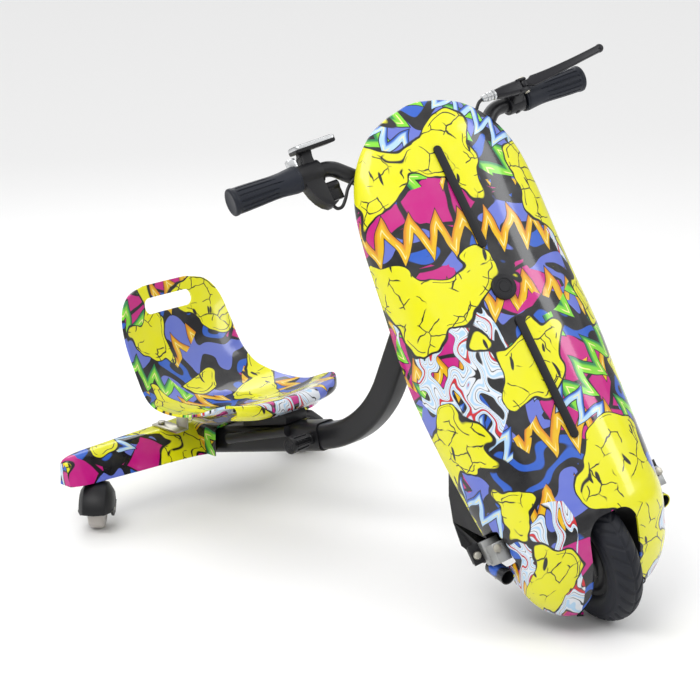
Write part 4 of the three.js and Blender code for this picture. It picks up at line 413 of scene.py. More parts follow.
def lay_patches(ink):
    patches = ink.noise(ink.warped(ink.map, 9, 0.02), 11, 1)
    ink.lay(None, ink.mix(ink.edge(patches, PATCH_LIMIT, 0.004), INK_BLACK, INK_PERIWINKLE))
    ink.lay(ink.edge(ink.off(patches, ROYAL_MIDDLE), 0.035, 0.004), INK_ROYAL)
    ink.lay(ink.edge(ink.off(patches, PATCH_LIMIT), 0.008, 0.002), INK_BLACK)


def lay_blocks(ink):
    point = ink.vector("MULTIPLY", ink.warped(ink.map, 20, 0.006), (1, 1.6, 1))
    block = ink.cells(point, BLOCK_SCALE, 1.0, "F1", "MANHATTAN")
    chosen = ink.edge(ink.split(block["Color"])[1], BLOCK_SHARE, 0.001)
    rim = ink.cells(point, BLOCK_SCALE, 1.0, "DISTANCE_TO_EDGE")["Distance"]
    ink.lay(chosen, INK_MAGENTA)
    ink.lay(ink.both(chosen, ink.edge(rim, 0.05, 0.01)), INK_BLACK)

# %% [markdown]
# ## Ribbons
#
# Bright ribbons zigzag across, each with a black outline, a lighter upper half and a broken line of shine,
# like a tube. A zigzag needs no curve: PINGPONG folds the distance along the ribbon back and forth, and
# WRAP repeats it side by side.

# %% Lay a ribbon
RIBBON_OUTLINE = 0.0035
WOBBLE_SCALE, WOBBLE_REACH = 14, 0.03


def lay_ribbon(ink, angle, pitch, run, reach, width, upper, lower, where):
    cosine, sine = math.cos(math.radians(angle)), math.sin(math.radians(angle))
    along = ink.math("ADD", ink.math("MULTIPLY", ink.x, cosine), ink.math("MULTIPLY", ink.y, sine))
    across = ink.math("SUBTRACT", ink.math("MULTIPLY", ink.y, cosine), ink.math("MULTIPLY", ink.x, sine))
    unrest = ink.math("SUBTRACT", ink.noise(ink.map, WOBBLE_SCALE, 1), 0.5)
    wobble = ink.math("MULTIPLY", unrest, WOBBLE_REACH)
    zigzag = ink.math("PINGPONG", ink.math("ADD", along, wobble), run)
    zigzag = ink.math("MULTIPLY", zigzag, reach / run)
    offset = ink.math("WRAP", ink.math("SUBTRACT", across, zigzag), pitch, 0)
    centre = ink.math("SUBTRACT", offset, pitch / 2)
    size = ink.math("ABSOLUTE", centre)
    inside = ink.both(ink.edge(size, width), where)
    ink.lay(ink.both(ink.edge(size, width + RIBBON_OUTLINE), where), INK_BLACK)
    ink.lay(inside, lower)
    ink.lay(ink.both(inside, ink.edge(centre, width * 0.45, width * 0.25)), upper)
    shine = ink.edge(ink.math("ABSOLUTE", ink.math("ADD", centre, width * 0.3)), width * 0.12, 0.0008)
    broken = ink.edge(ink.math("PINGPONG", along, run * 0.5), run * 0.3, 0.001)
    ink.lay(ink.both(inside, broken, shine), INK_CREAM)

# %% [markdown]
# ## Flames
#
# Here and there lie pale flames: bands of white, ice blue and red between thin black lines. They are all
# level lines of one stretched and warped noise, so they follow one another and never cross.

# %% Lay the flames
FLAME_MIDDLE, FLAME_HALF, FLAME_OUTLINE = 0.5, 0.1, 0.01
FLAME_BANDS = 18


def lay_flames(ink):
    point = ink.vector("MULTIPLY", ink.warped(ink.map, 12, 0.035), (1.7, 0.8, 1))
    flame = ink.noise(point, 15, 1)
    lit = ink.zone(5.8, 0.24, (0.4, 0.6))
    from_middle = ink.off(flame, FLAME_MIDDLE)
    inner = ink.both(ink.edge(from_middle, FLAME_HALF, 0.003), lit)
    ink.lay(ink.both(ink.edge(from_middle, FLAME_HALF + FLAME_OUTLINE, 0.003), lit), INK_BLACK)
    ink.lay(inner, INK_WHITE)
    band = ink.math("PINGPONG", ink.math("MULTIPLY", flame, FLAME_BANDS), 0.5)
    ink.lay(ink.both(inner, ink.edge(ink.math("SUBTRACT", 0.5, band), 0.14, 0.02)), INK_ICE)
    ink.lay(ink.both(inner, ink.edge(ink.off(flame, 0.54), 0.014, 0.002)), INK_RED)
    ink.lay(ink.both(inner, ink.edge(band, 0.045, 0.015)), INK_BLACK)

# %% [markdown]
# ## Splashes
#
# The topmost coat is large yellow splashes with cracks, folds and short dashes inside. The splash is noise
# cut at a limit, and a cut a little further out gives the black edge. Cracks are the borders of Voronoi
# cells, kept only where another noise is low, so that they fade out.

# %% Lay the splashes
SPLASH_LIMIT, SPLASH_OUTLINE, FOLD_LEVEL = 0.474, 0.015, 0.445


def lay_splashes(ink):
    splash = ink.noise(ink.warped(ink.warped(ink.map, 6, 0.05), 26, 0.012), 8.2, 1)
    yellow = ink.edge(splash, SPLASH_LIMIT, 0.002)
    ink.lay(ink.edge(splash, SPLASH_LIMIT + SPLASH_OUTLINE, 0.002), INK_BLACK)
    ink.lay(yellow, INK_YELLOW)
    fold = ink.edge(ink.off(splash, FOLD_LEVEL), 0.0035, 0.0015)
    ink.lay(ink.both(fold, ink.edge(ink.noise(ink.map, 19, 1), 0.5, 0.01)), INK_BLACK)
    border = ink.cells(ink.warped(ink.map, 55, 0.006), 30, 1.0, "DISTANCE_TO_EDGE")["Distance"]
    crack = ink.both(ink.edge(border, 0.03, 0.012), ink.edge(ink.noise(ink.map, 24, 1), 0.5, 0.02))
    ink.lay(ink.both(yellow, crack), INK_BLACK)
    dash = ink.cells(ink.vector("MULTIPLY", ink.warped(ink.map, 14, 0.02), (1, 0.3, 1)), 75, 0.9)
    few = ink.edge(ink.split(dash["Color"])[1], 0.1, 0.001)
    ink.lay(ink.both(yellow, few, ink.edge(dash["Distance"], 0.22, 0.03)), INK_BLACK)

# %% [markdown]
# ## The dipped print
#
# The coats are laid in order, lowest first, under a clear coat. A little haze keeps the gloss from looking
# like glass, and a shallow bump gives it orange peel. Each moulding is dipped on its own, so each gets
# another stretch of the same film by shifting its map.

# %% Dip the mouldings
HAZE_SCALE, HAZE_TINT, PEEL_SCALE = 28, (0.5, 0.5, 0.5), 130


def printed(name, shift):
    ink = Print(name, shift)
    lay_patches(ink)
    lay_blocks(ink)
    gold_zone = ink.zone(5.5, 0.6, (0.3, 0.1))
    lay_ribbon(ink, 14, 0.115, 0.022, 0.052, 0.0165, INK_GOLD, INK_ORANGE, gold_zone)
    lime_zone = ink.zone(5.2, 0.42, (0.75, 0.4))
    lay_ribbon(ink, -32, 0.1, 0.024, 0.045, 0.017, INK_LIME, INK_GREEN, lime_zone)
    ice_zone = ink.zone(6, 0.3, (0.15, 0.8))
    lay_ribbon(ink, 52, 0.12, 0.02, 0.04, 0.012, INK_ICE, INK_ROYAL, ice_zone)
    lay_flames(ink)
    lay_splashes(ink)
    haze = ink.noise(ink.object_point(), HAZE_SCALE, 3)
    ink.set("Base Color", ink.mix(ink.between(haze, 0.35, 0.75, 0, 0.05), ink.ink, HAZE_TINT))
    ink.set("Roughness", ink.between(haze, 0.3, 0.7, 0.1, 0.2))
    ink.set("Specular IOR Level", 0.3)
    ink.set("Coat Weight", 0.35)
    ink.set("Coat Roughness", 0.05)
    ink.bump(ink.noise(ink.object_point(), PEEL_SCALE, 1), 0.1, 0.0002)
    print(name, "uses", len(ink.tree.nodes), "nodes")
    return ink


fairing_print = printed("fairing_print", (0.37, 0.21, 0))
seat_print = printed("seat_print", (1.6, 0.9, 0))
shell_print = printed("shell_print", (2.7, 1.3, 0))
peg_print = printed("peg_print", (0.62, 1.9, 0))

# %% [markdown]
# ## Finishing a piece
#
# Every piece ends the same way: it is shaded smooth but for its sharp edges, rides on the body of the CAD
# node that it stands for, and hides that node. Modifiers are worked into the mesh first, because the export
# needs plain meshes. One function for it all means that no piece can miss a step.

# %% Write the finishing helpers
BODIES = frame["record"]["behaviour"]["bodies"]
BODY_OF = {node: body for body, nodes in BODIES.items() for node in nodes}


def in_scene(name, mesh):
    thing = bpy.data.objects.new(name, mesh)
    bpy.context.scene.collection.objects.link(thing)
    return thing


def worked_in(thing):
    """Works an object's modifiers into its mesh."""
    bpy.context.view_layer.update()
    graph = bpy.context.evaluated_depsgraph_get()
    mesh = bpy.data.meshes.new_from_object(thing.evaluated_get(graph))
    thing.modifiers.clear()
    thing.data = mesh
    return thing


def finished(thing, nodes, degrees=35):
    """Shades a piece, lets it ride with the CAD nodes' body and stand for them."""
    thing.data.shade_smooth()
    thing.data.set_sharp_from_angle(angle=math.radians(degrees))
    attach(thing, BODY_OF[nodes[0]])
    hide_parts(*nodes)
    print(thing.name, len(thing.data.polygons), "faces")
    return thing

# %% [markdown]
# ## Walls and soft edges
#
# A moulding is a sheet with a wall and a soft edge. The sheet is drawn once, and the Solidify modifier
# gives it its wall on the inside, which saves drawing both surfaces. No edge on a moulding is truly sharp,
# so a Bevel modifier rounds it, and a thin highlight shows that.

# %% Write the wall and the soft edge
def thicken(thing, wall, inner_finish=0):
    made = thing.modifiers.new("wall", "SOLIDIFY")
    made.thickness = wall * MM
    made.offset = -1
    made.material_offset = inner_finish
    return thing


def bevel(thing, width, segments=2, degrees=40):
    made = thing.modifiers.new("bevel", "BEVEL")
    made.width = width * MM
    made.segments = segments
    made.limit_method = "ANGLE"
    made.angle_limit = math.radians(degrees)
    return thing

# %% [markdown]
# ## Sheets over a grid of points
#
# The curved mouldings are sheets over a grid: rows along the piece, columns round it. Points are given in
# millimetres in the fork's or the trike's frame and leave as metres in the world. Each sheet carries its
# own flat map, which an unwrap could give as well, but the grid already knows how far apart its points are.

# %% Write the mapped sheet
def grid_faces(rows, columns, round_columns=False, round_rows=False, keep=None):
    faces = []
    for r in range(rows if round_rows else rows - 1):
        for c in range(columns if round_columns else columns - 1):
            if keep and not keep(r, c):
                continue
            r2, c2 = (r + 1) % rows, (c + 1) % columns
            faces.append((r * columns + c, r * columns + c2, r2 * columns + c2, r2 * columns + c))
    return faces


def faces_outwards(faces, corners, outside):
    """Turns all the faces over if most of them look away from the outside; a few hundred tell enough."""
    looks_out = 0.0
    for face in faces[:: max(len(faces) // 400, 1)]:
        a, b, c, d = (corners[k] for k in face)
        looks_out += float(np.dot(np.cross(c - a, d - b), outside(a)))
    return [face[::-1] for face in faces] if looks_out < 0 else faces


def mapped_sheet(name, points, place, keep, finishes, flat, outside):
    """An open sheet over a grid of points with its own flat map, both in millimetres."""
    corners = points.reshape(-1, 3)
    faces = faces_outwards(grid_faces(*points.shape[:2], keep=keep), corners, outside)
    mesh = bpy.data.meshes.new(name)
    mesh.from_pydata([place @ Vector(p * MM) for p in corners], [], faces)
    layer = mesh.uv_layers.new(name="print")
    flat = flat.reshape(-1, 2) * MM
    for loop in mesh.loops:
        layer.data[loop.index].uv = flat[loop.vertex_index]
    for finish in finishes:
        mesh.materials.append(finish.material)
    work = bmesh.new()
    work.from_mesh(mesh)
    bmesh.ops.delete(work, geom=[v for v in work.verts if not v.link_faces], context="VERTS")
    work.to_mesh(mesh)
    work.free()
    return in_scene(name, mesh)

# %% [markdown]
# ## Joining sheets
#
# A few mouldings are easier to draw as two or three sheets, such as the fairing and its arch's lining.
# Blender's own join works on what is selected. This one copies points, faces, finishes and maps into one
# new mesh, so nothing depends on the state of the scene.

# %% Write the join
def joined(name, *things):
    """Puts several loose objects' meshes into one, slot by slot."""
    slots, points, faces, finish_of, flats = [], [], [], [], []
    for thing in things:
        mesh = thing.data
        start = len(points)
        points += [tuple(v.co) for v in mesh.vertices]
        for material in mesh.materials:
            if material not in slots:
                slots.append(material)
        numbers = [slots.index(material) for material in mesh.materials]
        layer = mesh.uv_layers.get("print")
        for polygon in mesh.polygons:
            faces.append(tuple(start + v for v in polygon.vertices))
            finish_of.append(numbers[polygon.material_index])
            for loop in polygon.loop_indices:
                co = mesh.vertices[mesh.loops[loop].vertex_index].co
                flats += tuple(layer.data[loop].uv) if layer else (co.y, co.z)
        bpy.data.objects.remove(thing)
    mesh = bpy.data.meshes.new(name)
    mesh.from_pydata(points, [], faces)
    for material in slots:
        mesh.materials.append(material)
    mesh.polygons.foreach_set("material_index", finish_of)
    mesh.uv_layers.new(name="print").data.foreach_set("uv", flats)
    return in_scene(name, mesh)

# %% [markdown]
# ## Values from a table
#
# The mouldings follow no simple formula, so tables give their widths and heights at a few places. Straight
# lines between two rows would show as kinks in the gloss. This helper eases between the rows instead, with
# the same slope on both sides of each one.

# %% Ease between a table's rows
def eased(rows, place, column):
    """A smooth value at a place in a table of rows [place, value, value, ...]."""
    last = len(rows) - 1
    at = min(max(place, rows[0][0]), rows[last][0])
    i = 0
    while i < last - 1 and at > rows[i + 1][0]:
        i += 1

    def slope(k):
        before, after = rows[max(k - 1, 0)], rows[min(k + 1, last)]
        return (after[column] - before[column]) / (after[0] - before[0])

    span = rows[i + 1][0] - rows[i][0]
    t = (at - rows[i][0]) / span
    a, b = rows[i][column], rows[i + 1][column]
    return (
        (2 * t**3 - 3 * t**2 + 1) * a
        + (t**3 - 2 * t**2 + t) * slope(i) * span
        + (3 * t**2 - 2 * t**3) * b
        + (t**3 - t**2) * slope(i + 1) * span
    )

# %% [markdown]
# ## Fairing: its section
#
# The fairing is a tall moulded shell, about three millimetres thick, wrapped round the steering axis. A
# subdivided mesh could give it, but its edges have to meet the cover's. So each level section is a rounded
# square, and a table gives its half width, its crown and its rim.

# %% Draw the fairing's section
FAIRING_BOTTOM, FAIRING_HEIGHT = -70, 738
FAIRING_HALF, FAIRING_CROWN, FAIRING_WALL = 149.4, 104, 3
FAIRING_POWER = 0.8
# rows of [height share, half-width share, crown share, rim share]
FAIRING = (
    (0.0, 0.34, 0.05, -0.12),
    (0.012, 0.5, 0.14, -0.12),
    (0.034, 0.64, 0.32, -0.12),
    (0.062, 0.735, 0.55, -0.12),
    (0.095, 0.79, 0.74, -0.12),
    (0.141, 0.85, 0.95, -0.12),
    (0.19, 0.885, 0.99, -0.12),
    (0.244, 0.912, 1.0, -0.115),
    (0.328, 0.945, 1.0, -0.096),
    (0.413, 0.978, 1.0, -0.038),
    (0.501, 1.0, 1.0, 0.048),
    (0.583, 0.986, 1.0, 0.144),
    (0.65, 0.972, 1.0, 0.26),
    (0.718, 0.962, 1.0, 0.385),
    (0.786, 0.948, 1.0, 0.51),
    (0.86, 0.895, 1.0, 0.644),
    (0.923, 0.755, 1.0, 0.75),
    (0.969, 0.53, 0.985, 0.82),
    (0.99, 0.31, 0.955, 0.86),
    (1.0, 0.1, 0.93, 0.87),
)


def signed_power(base, power):
    return math.copysign(abs(base) ** power, base)


def fairing_section(height):
    share = (height - FAIRING_BOTTOM) / FAIRING_HEIGHT
    half = FAIRING_HALF * eased(FAIRING, share, 1)
    crown = FAIRING_CROWN * eased(FAIRING, share, 2)
    rim = FAIRING_CROWN * eased(FAIRING, share, 3)
    return half, crown, rim


def fairing_point(height, angle):
    half, crown, rim = fairing_section(height)
    across = half * signed_power(math.cos(angle), FAIRING_POWER)
    forward = rim + (crown - rim) * abs(math.sin(angle)) ** FAIRING_POWER
    return np.array((across, -forward, height))

# %% [markdown]
# ## Fairing: its openings
#
# The front wheel shows through an arch at the foot, and each footrest passes through a notch in the side. A
# Boolean cut would leave ragged faces. Here the grid's columns bend round the arch, and the rows at a notch
# start further round, so both openings get a clean edge.

# %% Draw the fairing's openings
ARCH_HALF, ARCH_TOP, ARCH_CORNER = 40, 44, 27
NOTCH_LOW, NOTCH_HIGH, NOTCH_FORWARD, NOTCH_CORNER = 34, 86, 27.3, 3
FOOT_KEPT = 0.97
straight_top = ARCH_TOP - ARCH_CORNER


def arch_half(height):
    """Half the wheel arch's width: flared at the bottom, straight, then round at the top corners."""
    flare = FAIRING_BOTTOM + ARCH_CORNER
    if height < flare:
        return ARCH_HALF + ARCH_CORNER * ((flare - height) / ARCH_CORNER) ** 2
    if height < straight_top:
        return ARCH_HALF
    if height < ARCH_TOP:
        return ARCH_HALF - ARCH_CORNER + math.sqrt(ARCH_CORNER**2 - (height - straight_top) ** 2)
    return ARCH_HALF - ARCH_CORNER


def arch_edge(height):
    """Half the arch's width, kept inside the narrow foot of the fairing."""
    return min(arch_half(height), FOOT_KEPT * fairing_section(height)[0])


def angle_at(height, across):
    half = fairing_section(height)[0]
    return math.acos(min(abs(across) / half, FOOT_KEPT) ** (1 / FAIRING_POWER))


def fairing_start(height):
    """Where a section begins: at its rim, or further round where the footrest's notch is."""
    _, crown, rim = fairing_section(height)
    into = min(height - NOTCH_LOW, NOTCH_HIGH - height)
    if into <= 0:
        return 0.0
    reach = math.sqrt(1 - (1 - min(into / NOTCH_CORNER, 1)) ** 2)
    return reach * math.asin(((NOTCH_FORWARD - rim) / (crown - rim)) ** (1 / FAIRING_POWER))


notch_middle = (NOTCH_LOW + NOTCH_HIGH) / 2
print("a notch reaches", round(math.degrees(fairing_start(notch_middle))), "degrees round the section")

# %% [markdown]
# ## Fairing: its rows
#
# Evenly spaced rows would miss the corners of the arch and of the notches, so they are set closer where the
# outline turns and under the shell's round top.

# %% Set the fairing's rows
FLARE_ROWS_TOP, ABOVE_ARCH, CROWN_START = -30, 76, 600
crown_rise = FAIRING_BOTTOM + FAIRING_HEIGHT - CROWN_START


def spread(low, high, count):
    return {round(v, 3) for v in np.linspace(low, high, count)}


fairing_rows = sorted(
    spread(FAIRING_BOTTOM, FLARE_ROWS_TOP, 22)
    | spread(FLARE_ROWS_TOP, straight_top, 12)
    | {round(straight_top + ARCH_CORNER * math.sin(k * math.pi / 24), 3) for k in range(13)}
    | spread(ARCH_TOP, ABOVE_ARCH, 9)
    | {NOTCH_LOW + step for step in (0, 0.4, 1.2, NOTCH_CORNER)}
    | {NOTCH_HIGH - step for step in (0.4, 1.2, NOTCH_CORNER)}
    | spread(NOTCH_HIGH, CROWN_START, 64)
    | {round(CROWN_START + crown_rise * math.sin(k * math.pi / 44), 3) for k in range(23)}
)
print("the fairing has", len(fairing_rows), "rows")

# %% [markdown]
# ## Fairing: its skin
#
# Each row goes from one rim round the front to the other, and faces in the arch are left out. The print's
# map measures along the row from the middle line and up along the crown, so the pattern keeps its scale on
# the sides too, which a map from straight in front wouldn't do.

# %% Skin the fairing
SIDE_COLUMNS, MIDDLE_COLUMNS = 30, 10


def climb_of(line):
    """How far along a line each of its points lies."""
    return np.concatenate(([0], np.cumsum(np.linalg.norm(np.diff(line, axis=0), axis=1))))


fairing_climb = climb_of([(fairing_section(height)[1], height) for height in fairing_rows])
fairing_points, fairing_flat = [], []
for height, climb in zip(fairing_rows, fairing_climb):
    inner, first = angle_at(height, arch_half(height)), fairing_start(height)
    side = [first + (inner - first) * (k / SIDE_COLUMNS) for k in range(SIDE_COLUMNS + 1)]
    middle = [inner + (math.pi - 2 * inner) * (k / MIDDLE_COLUMNS) for k in range(1, MIDDLE_COLUMNS)]
    row = [fairing_point(height, angle) for angle in side + middle]
    row += [point * (-1, 1, 1) for point in row[: SIDE_COLUMNS + 1][::-1]]
    along = climb_of(row)
    fairing_points.append(row)
    fairing_flat.append([(u, climb) for u in along - along[-1] / 2])
arch_row = fairing_rows.index(ARCH_TOP)
arch_columns = range(SIDE_COLUMNS, SIDE_COLUMNS + MIDDLE_COLUMNS)
fairing = mapped_sheet(
    "fairing",
    np.array(fairing_points),
    fork_frame,
    lambda r, c: not (r < arch_row and c in arch_columns),
    (fairing_print, inside_black),
    np.array(fairing_flat),
    lambda p: np.array((p[0], p[1] - 20, 0)),
)
thicken(fairing, FAIRING_WALL, 1)
bevel(fairing, 1.1, 3, 50)
worked_in(fairing)
print("the fairing's middle line is", round(float(fairing_climb[-1])), "mm long")

# %% [markdown]
# ## Fairing: the arch's lining
#
# Behind the arch's edge a wall runs back to just in front of the fork and keeps dirt off the battery. It is
# a second sheet whose first row starts just inside that edge. Where the fairing's foot is narrower than the
# arch, the lining is kept inside it, or its corners would stick out.

# %% Line the arch
LINING_BACK, LINING_INSET, LINING_STEPS = 32, 0.6, 6
lining_edge = [(arch_edge(h), h) for h in fairing_rows if h <= ARCH_TOP]
lining_top = [(x, ARCH_TOP) for x in np.linspace(ARCH_HALF - ARCH_CORNER, ARCH_CORNER - ARCH_HALF, 9)[1:-1]]
lining_line = lining_edge + lining_top + [(-x, h) for x, h in lining_edge[::-1]]
lining_rows = []
for k in range(LINING_STEPS + 1):
    row = []
    for x, h in lining_line:
        front = -fairing_point(h, angle_at(h, x))[1] - LINING_INSET
        row.append((x, -(front + (min(LINING_BACK, front) - front) * k / LINING_STEPS), h))
    lining_rows.append(row)
lining_points = np.array(lining_rows)
lining = mapped_sheet(
    "arch_lining",
    lining_points,
    fork_frame,
    None,
    (inside_black, inside_black),
    lining_points[:, :, :2],
    lambda p: np.array((-p[0], 0, -20 - p[2])),
)
worked_in(thicken(lining, FAIRING_WALL))
finished(joined("fairing", fairing, lining), ["front_fairing"], 40)

# %% [markdown]
# ## A bundle of skins
#
# The harder pieces are made of a few skins each. Blender's primitives could be placed and scaled, but their
# place would then be in the object and not in the mesh. A bundle gathers skins, in millimetres in one
# frame, and makes one piece of them.

# %% Write the bundle
# an outline ends in a tiny ring of this radius, because a true pole would pinch the shading
NEEDLE = 0.01


def unit(vector):
    vector = np.asarray(vector, float)
    return vector / np.linalg.norm(vector)


def sides_of(direction):
    """Two directions square to a third."""
    direction = unit(direction)
    helper = np.array((0, 0, 1.0)) if abs(direction[2]) < 0.9 else np.array((1.0, 0, 0))
    first = unit(np.cross(helper, direction))
    return first, np.cross(direction, first)


class Skins:
    """Gathers skins, in millimetres in one frame."""

    def __init__(self, place):
        self.place = place
        self.points, self.faces, self.finish = [], [], []

    def add(self, points, faces, finish=0):
        start = len(self.points)
        self.points.extend(np.asarray(points, float).reshape(-1, 3).tolist())
        self.faces.extend(tuple(start + corner for corner in face) for face in faces)
        self.finish.extend([finish] * len(faces))
        return self

    def piece(self, name, finishes, width=0.0, segments=2, degrees=40):
        """One mesh of all the skins, its doubles merged and its faces turned outwards."""
        mesh = bpy.data.meshes.new(name)
        mesh.from_pydata([self.place @ Vector(np.multiply(p, MM)) for p in self.points], [], self.faces)
        for finish in finishes:
            mesh.materials.append(finish.material)
        mesh.polygons.foreach_set("material_index", self.finish)
        work = bmesh.new()
        work.from_mesh(mesh)
        bmesh.ops.remove_doubles(work, verts=work.verts, dist=1e-7)
        bmesh.ops.recalc_face_normals(work, faces=work.faces)
        work.to_mesh(mesh)
        work.free()
        thing = in_scene(name, mesh)
        return worked_in(bevel(thing, width, segments, degrees)) if width else thing

# %% [markdown]
# ## Turned, swept and flat skins
#
# Nearly all of a scooter's hardware was turned on a lathe, bent from tube or cut from plate, so the bundle
# gets one method for each. All three come down to rings, a skin through loops of points.

# %% Add the turned, swept and flat skins
class Bundle(Skins):
    """Skins made the way that the trike's parts are: turned, swept or cut from plate."""

    def rings(self, loops, finish=0, ends=True, closed=False):
        """A skin through loops of points, closed at both ends by a face."""
        loops = np.asarray(loops, float)
        rows, columns = loops.shape[:2]
        faces = grid_faces(rows, columns, True, closed)
        if ends and not closed:
            for row, order in ((0, -1), (rows - 1, 1)):
                ring = [row * columns + c for c in range(columns)]
                faces.append(tuple(ring[::order]))
        return self.add(loops, faces, finish)

    def turned(self, profile, origin, axis, sides=40, finish=0):
        """A turned skin from [distance along the axis, radius] points, its ends filled."""
        origin, axis = np.asarray(origin, float), unit(axis)
        first, second = sides_of(axis)
        turns = [2 * math.pi * k / sides for k in range(sides)]
        spokes = [math.cos(turn) * first + math.sin(turn) * second for turn in turns]
        loops = [[origin + axis * d + radius * spoke for spoke in spokes] for d, radius in profile]
        return self.rings(loops, finish)

    def rod(self, start, end, radius, sides=40, finish=0):
        length = float(np.linalg.norm(np.subtract(end, start)))
        return self.turned([(0, radius), (length, radius)], start, np.subtract(end, start), sides, finish)

    def slab(self, outline, origin, across, up, depth, finish=0):
        """A plate of a flat outline in the plane of across and up, as thick as depth along their normal."""
        origin, across, up = np.asarray(origin, float), unit(across), unit(up)
        through = np.cross(across, up) * depth
        near = [origin + across * u + up * v for u, v in outline]
        return self.rings([near, [p + through for p in near]], finish)

    def sweep(self, section, path, up, finish=0, ends=True):
        """A section of (side, lift) points carried along a path, its lift kept as near to up as it can be."""
        path = np.asarray(path, float)
        loops = []
        for k, point in enumerate(path):
            run = unit(path[min(k + 1, len(path) - 1)] - path[max(k - 1, 0)])
            side = unit(np.cross(run, up))
            lift = np.cross(side, run)
            loops.append([point + side * s + lift * t for s, t in section])
        return self.rings(loops, finish, ends)

# %% [markdown]
# ## Strips
#
# Two matt black strips with round ends run down the fairing's middle line. A mask could paint them on, but
# the real ones are mouldings that stand proud, so each is a slab with a soft edge of its own.

# %% Shape the strips
STRIP_WIDTH, STRIP_THICKNESS, STRIP_GAP, STRIP_TURN_STEPS = 13, 3, 0.3, 16
UPPER_BOTTOM, UPPER_LENGTH = 441, 157
LOWER_BOTTOM, LOWER_LENGTH = 153, 183
face_y = -FAIRING_CROWN - STRIP_GAP


def strip(name, node, bottom, length):
    radius = STRIP_WIDTH / 2
    outline = []
    for centre, turn in ((bottom + length - radius, 0), (bottom + radius, math.pi)):
        for k in range(STRIP_TURN_STEPS + 1):
            angle = turn + math.pi * k / STRIP_TURN_STEPS
            outline.append((radius * math.cos(angle), centre + radius * math.sin(angle)))
    made = Bundle(fork_frame)
    made.slab(outline, (0, face_y, 0), (1, 0, 0), (0, 0, 1), STRIP_THICKNESS)
    return finished(made.piece(name, (moulded,), 1.2, 3), [node])


strip("upper_strip", "strip_upper", UPPER_BOTTOM, UPPER_LENGTH)
strip("lower_strip", "strip_lower", LOWER_BOTTOM, LOWER_LENGTH)

# %% [markdown]
# ## Cap
#
# A round cap between the strips hides the bolt that holds the fairing to its post. A turned outline gives
# its soft edge and its sunk ring in one go, where a cylinder would need an inset, a cut and a bevel.

# %% Turn the cap
CAP_HEIGHT, CAP_RADIUS, CAP_STUD_RADIUS = 380, 18.5, 3
# [distance from the fairing, share of the cap's radius]
CAP_OUTLINE = (
    (0, 0.94), (0.5, 1), (2.2, 1), (4.1, 0.965), (5, 0.88), (5, 0.66), (4.6, 0.63),
    (4, 0.62), (4, 0.44), (4.5, 0.42), (5, 0.4),
)
cap_profile = [(0, NEEDLE), *((d, CAP_RADIUS * share) for d, share in CAP_OUTLINE), (5, NEEDLE)]
cap = Bundle(fork_frame)
cap.turned(cap_profile, (0, face_y, CAP_HEIGHT), (0, -1, 0), 72)
cap.rod((0, face_y - 1, CAP_HEIGHT), (0, face_y + 9, CAP_HEIGHT), CAP_STUD_RADIUS)
finished(cap.piece("cap", (moulded,)), ["fairing_cap"], 30)

# %% [markdown]
# ## Seat: its sheet
#
# The seat is one sheet of plastic, pressed into a bucket: a lip that curls down in front, a dished middle
# and a tall back. Pulling a plane about could make it, but a table gives an even, symmetrical sheet. The
# sides rise by a power of the distance from the middle, which keeps the seat flat where one sits.

# %% Draw the seat's sheet
SEAT_HALF, SEAT_WALL = 136, 4
SEAT_FRONT, SEAT_LENGTH, SEAT_LOW, SEAT_BACK_HEIGHT = 546, 321, 160, 187
SEAT_CORNER_SWEEP, SEAT_SIDE_POWER = 40, 2.6
# rows of [place, length share, height share, half-width share, side lift]
SEAT = (
    (0.0, 0.048, 0.136, 0.8, 0.0),
    (0.05, 0.0, 0.21, 0.84, 0.0),
    (0.1, 0.029, 0.283, 0.87, 0.01),
    (0.2, 0.133, 0.231, 0.92, 0.04),
    (0.34, 0.305, 0.094, 0.96, 0.09),
    (0.48, 0.486, 0.021, 1.0, 0.13),
    (0.58, 0.639, 0.026, 0.99, 0.14),
    (0.66, 0.76, 0.105, 0.93, 0.14),
    (0.74, 0.854, 0.288, 0.88, 0.13),
    (0.84, 0.929, 0.565, 0.86, 0.1),
    (0.92, 0.972, 0.8, 0.79, 0.07),
    (0.97, 0.992, 0.945, 0.62, 0.04),
    (1.0, 1.0, 1.0, 0.34, 0.01),
)
SEAT_ROWS, SEAT_COLUMNS = 170, 96


def seat_centre(place):
    y = SEAT_FRONT + SEAT_LENGTH * eased(SEAT, place, 1)
    return np.array((0, y, SEAT_LOW + SEAT_BACK_HEIGHT * eased(SEAT, place, 2)))


def seat_point(place, share, depth=0.0):
    run = seat_centre(min(place + 0.004, 1)) - seat_centre(max(place - 0.004, 0))
    normal = unit((0, -run[2], run[1]))
    half = SEAT_HALF * eased(SEAT, place, 3)
    lift = SEAT_HALF * eased(SEAT, place, 4) * abs(share) ** SEAT_SIDE_POWER
    swept = SEAT_CORNER_SWEEP * share**4 * max(1 - place / 0.45, 0)
    return seat_centre(place) + (half * share, swept, 0) + normal * (lift - depth)


seat_places = [k / SEAT_ROWS for k in range(SEAT_ROWS + 1)]
seat_shares = [2 * c / SEAT_COLUMNS - 1 for c in range(SEAT_COLUMNS + 1)]
seat_points = np.array([[seat_point(place, share) for share in seat_shares] for place in seat_places])
seat_climb = climb_of([seat_centre(place) for place in seat_places])
seat_flat = np.array([[(p[0], climb) for p in row] for row, climb in zip(seat_points, seat_climb)])
print("the seat's middle line is", round(float(seat_climb[-1])), "mm long")

# %% [markdown]
# ## Seat: its carrying slot
#
# High in the back is a slot with round ends, to carry the trike by. A Boolean cut through a thin curved
# sheet tends to leave slivers. Instead, faces in the slot are left out of the grid, and the edge that is
# left is moved onto the slot's outline, before the wall is given.

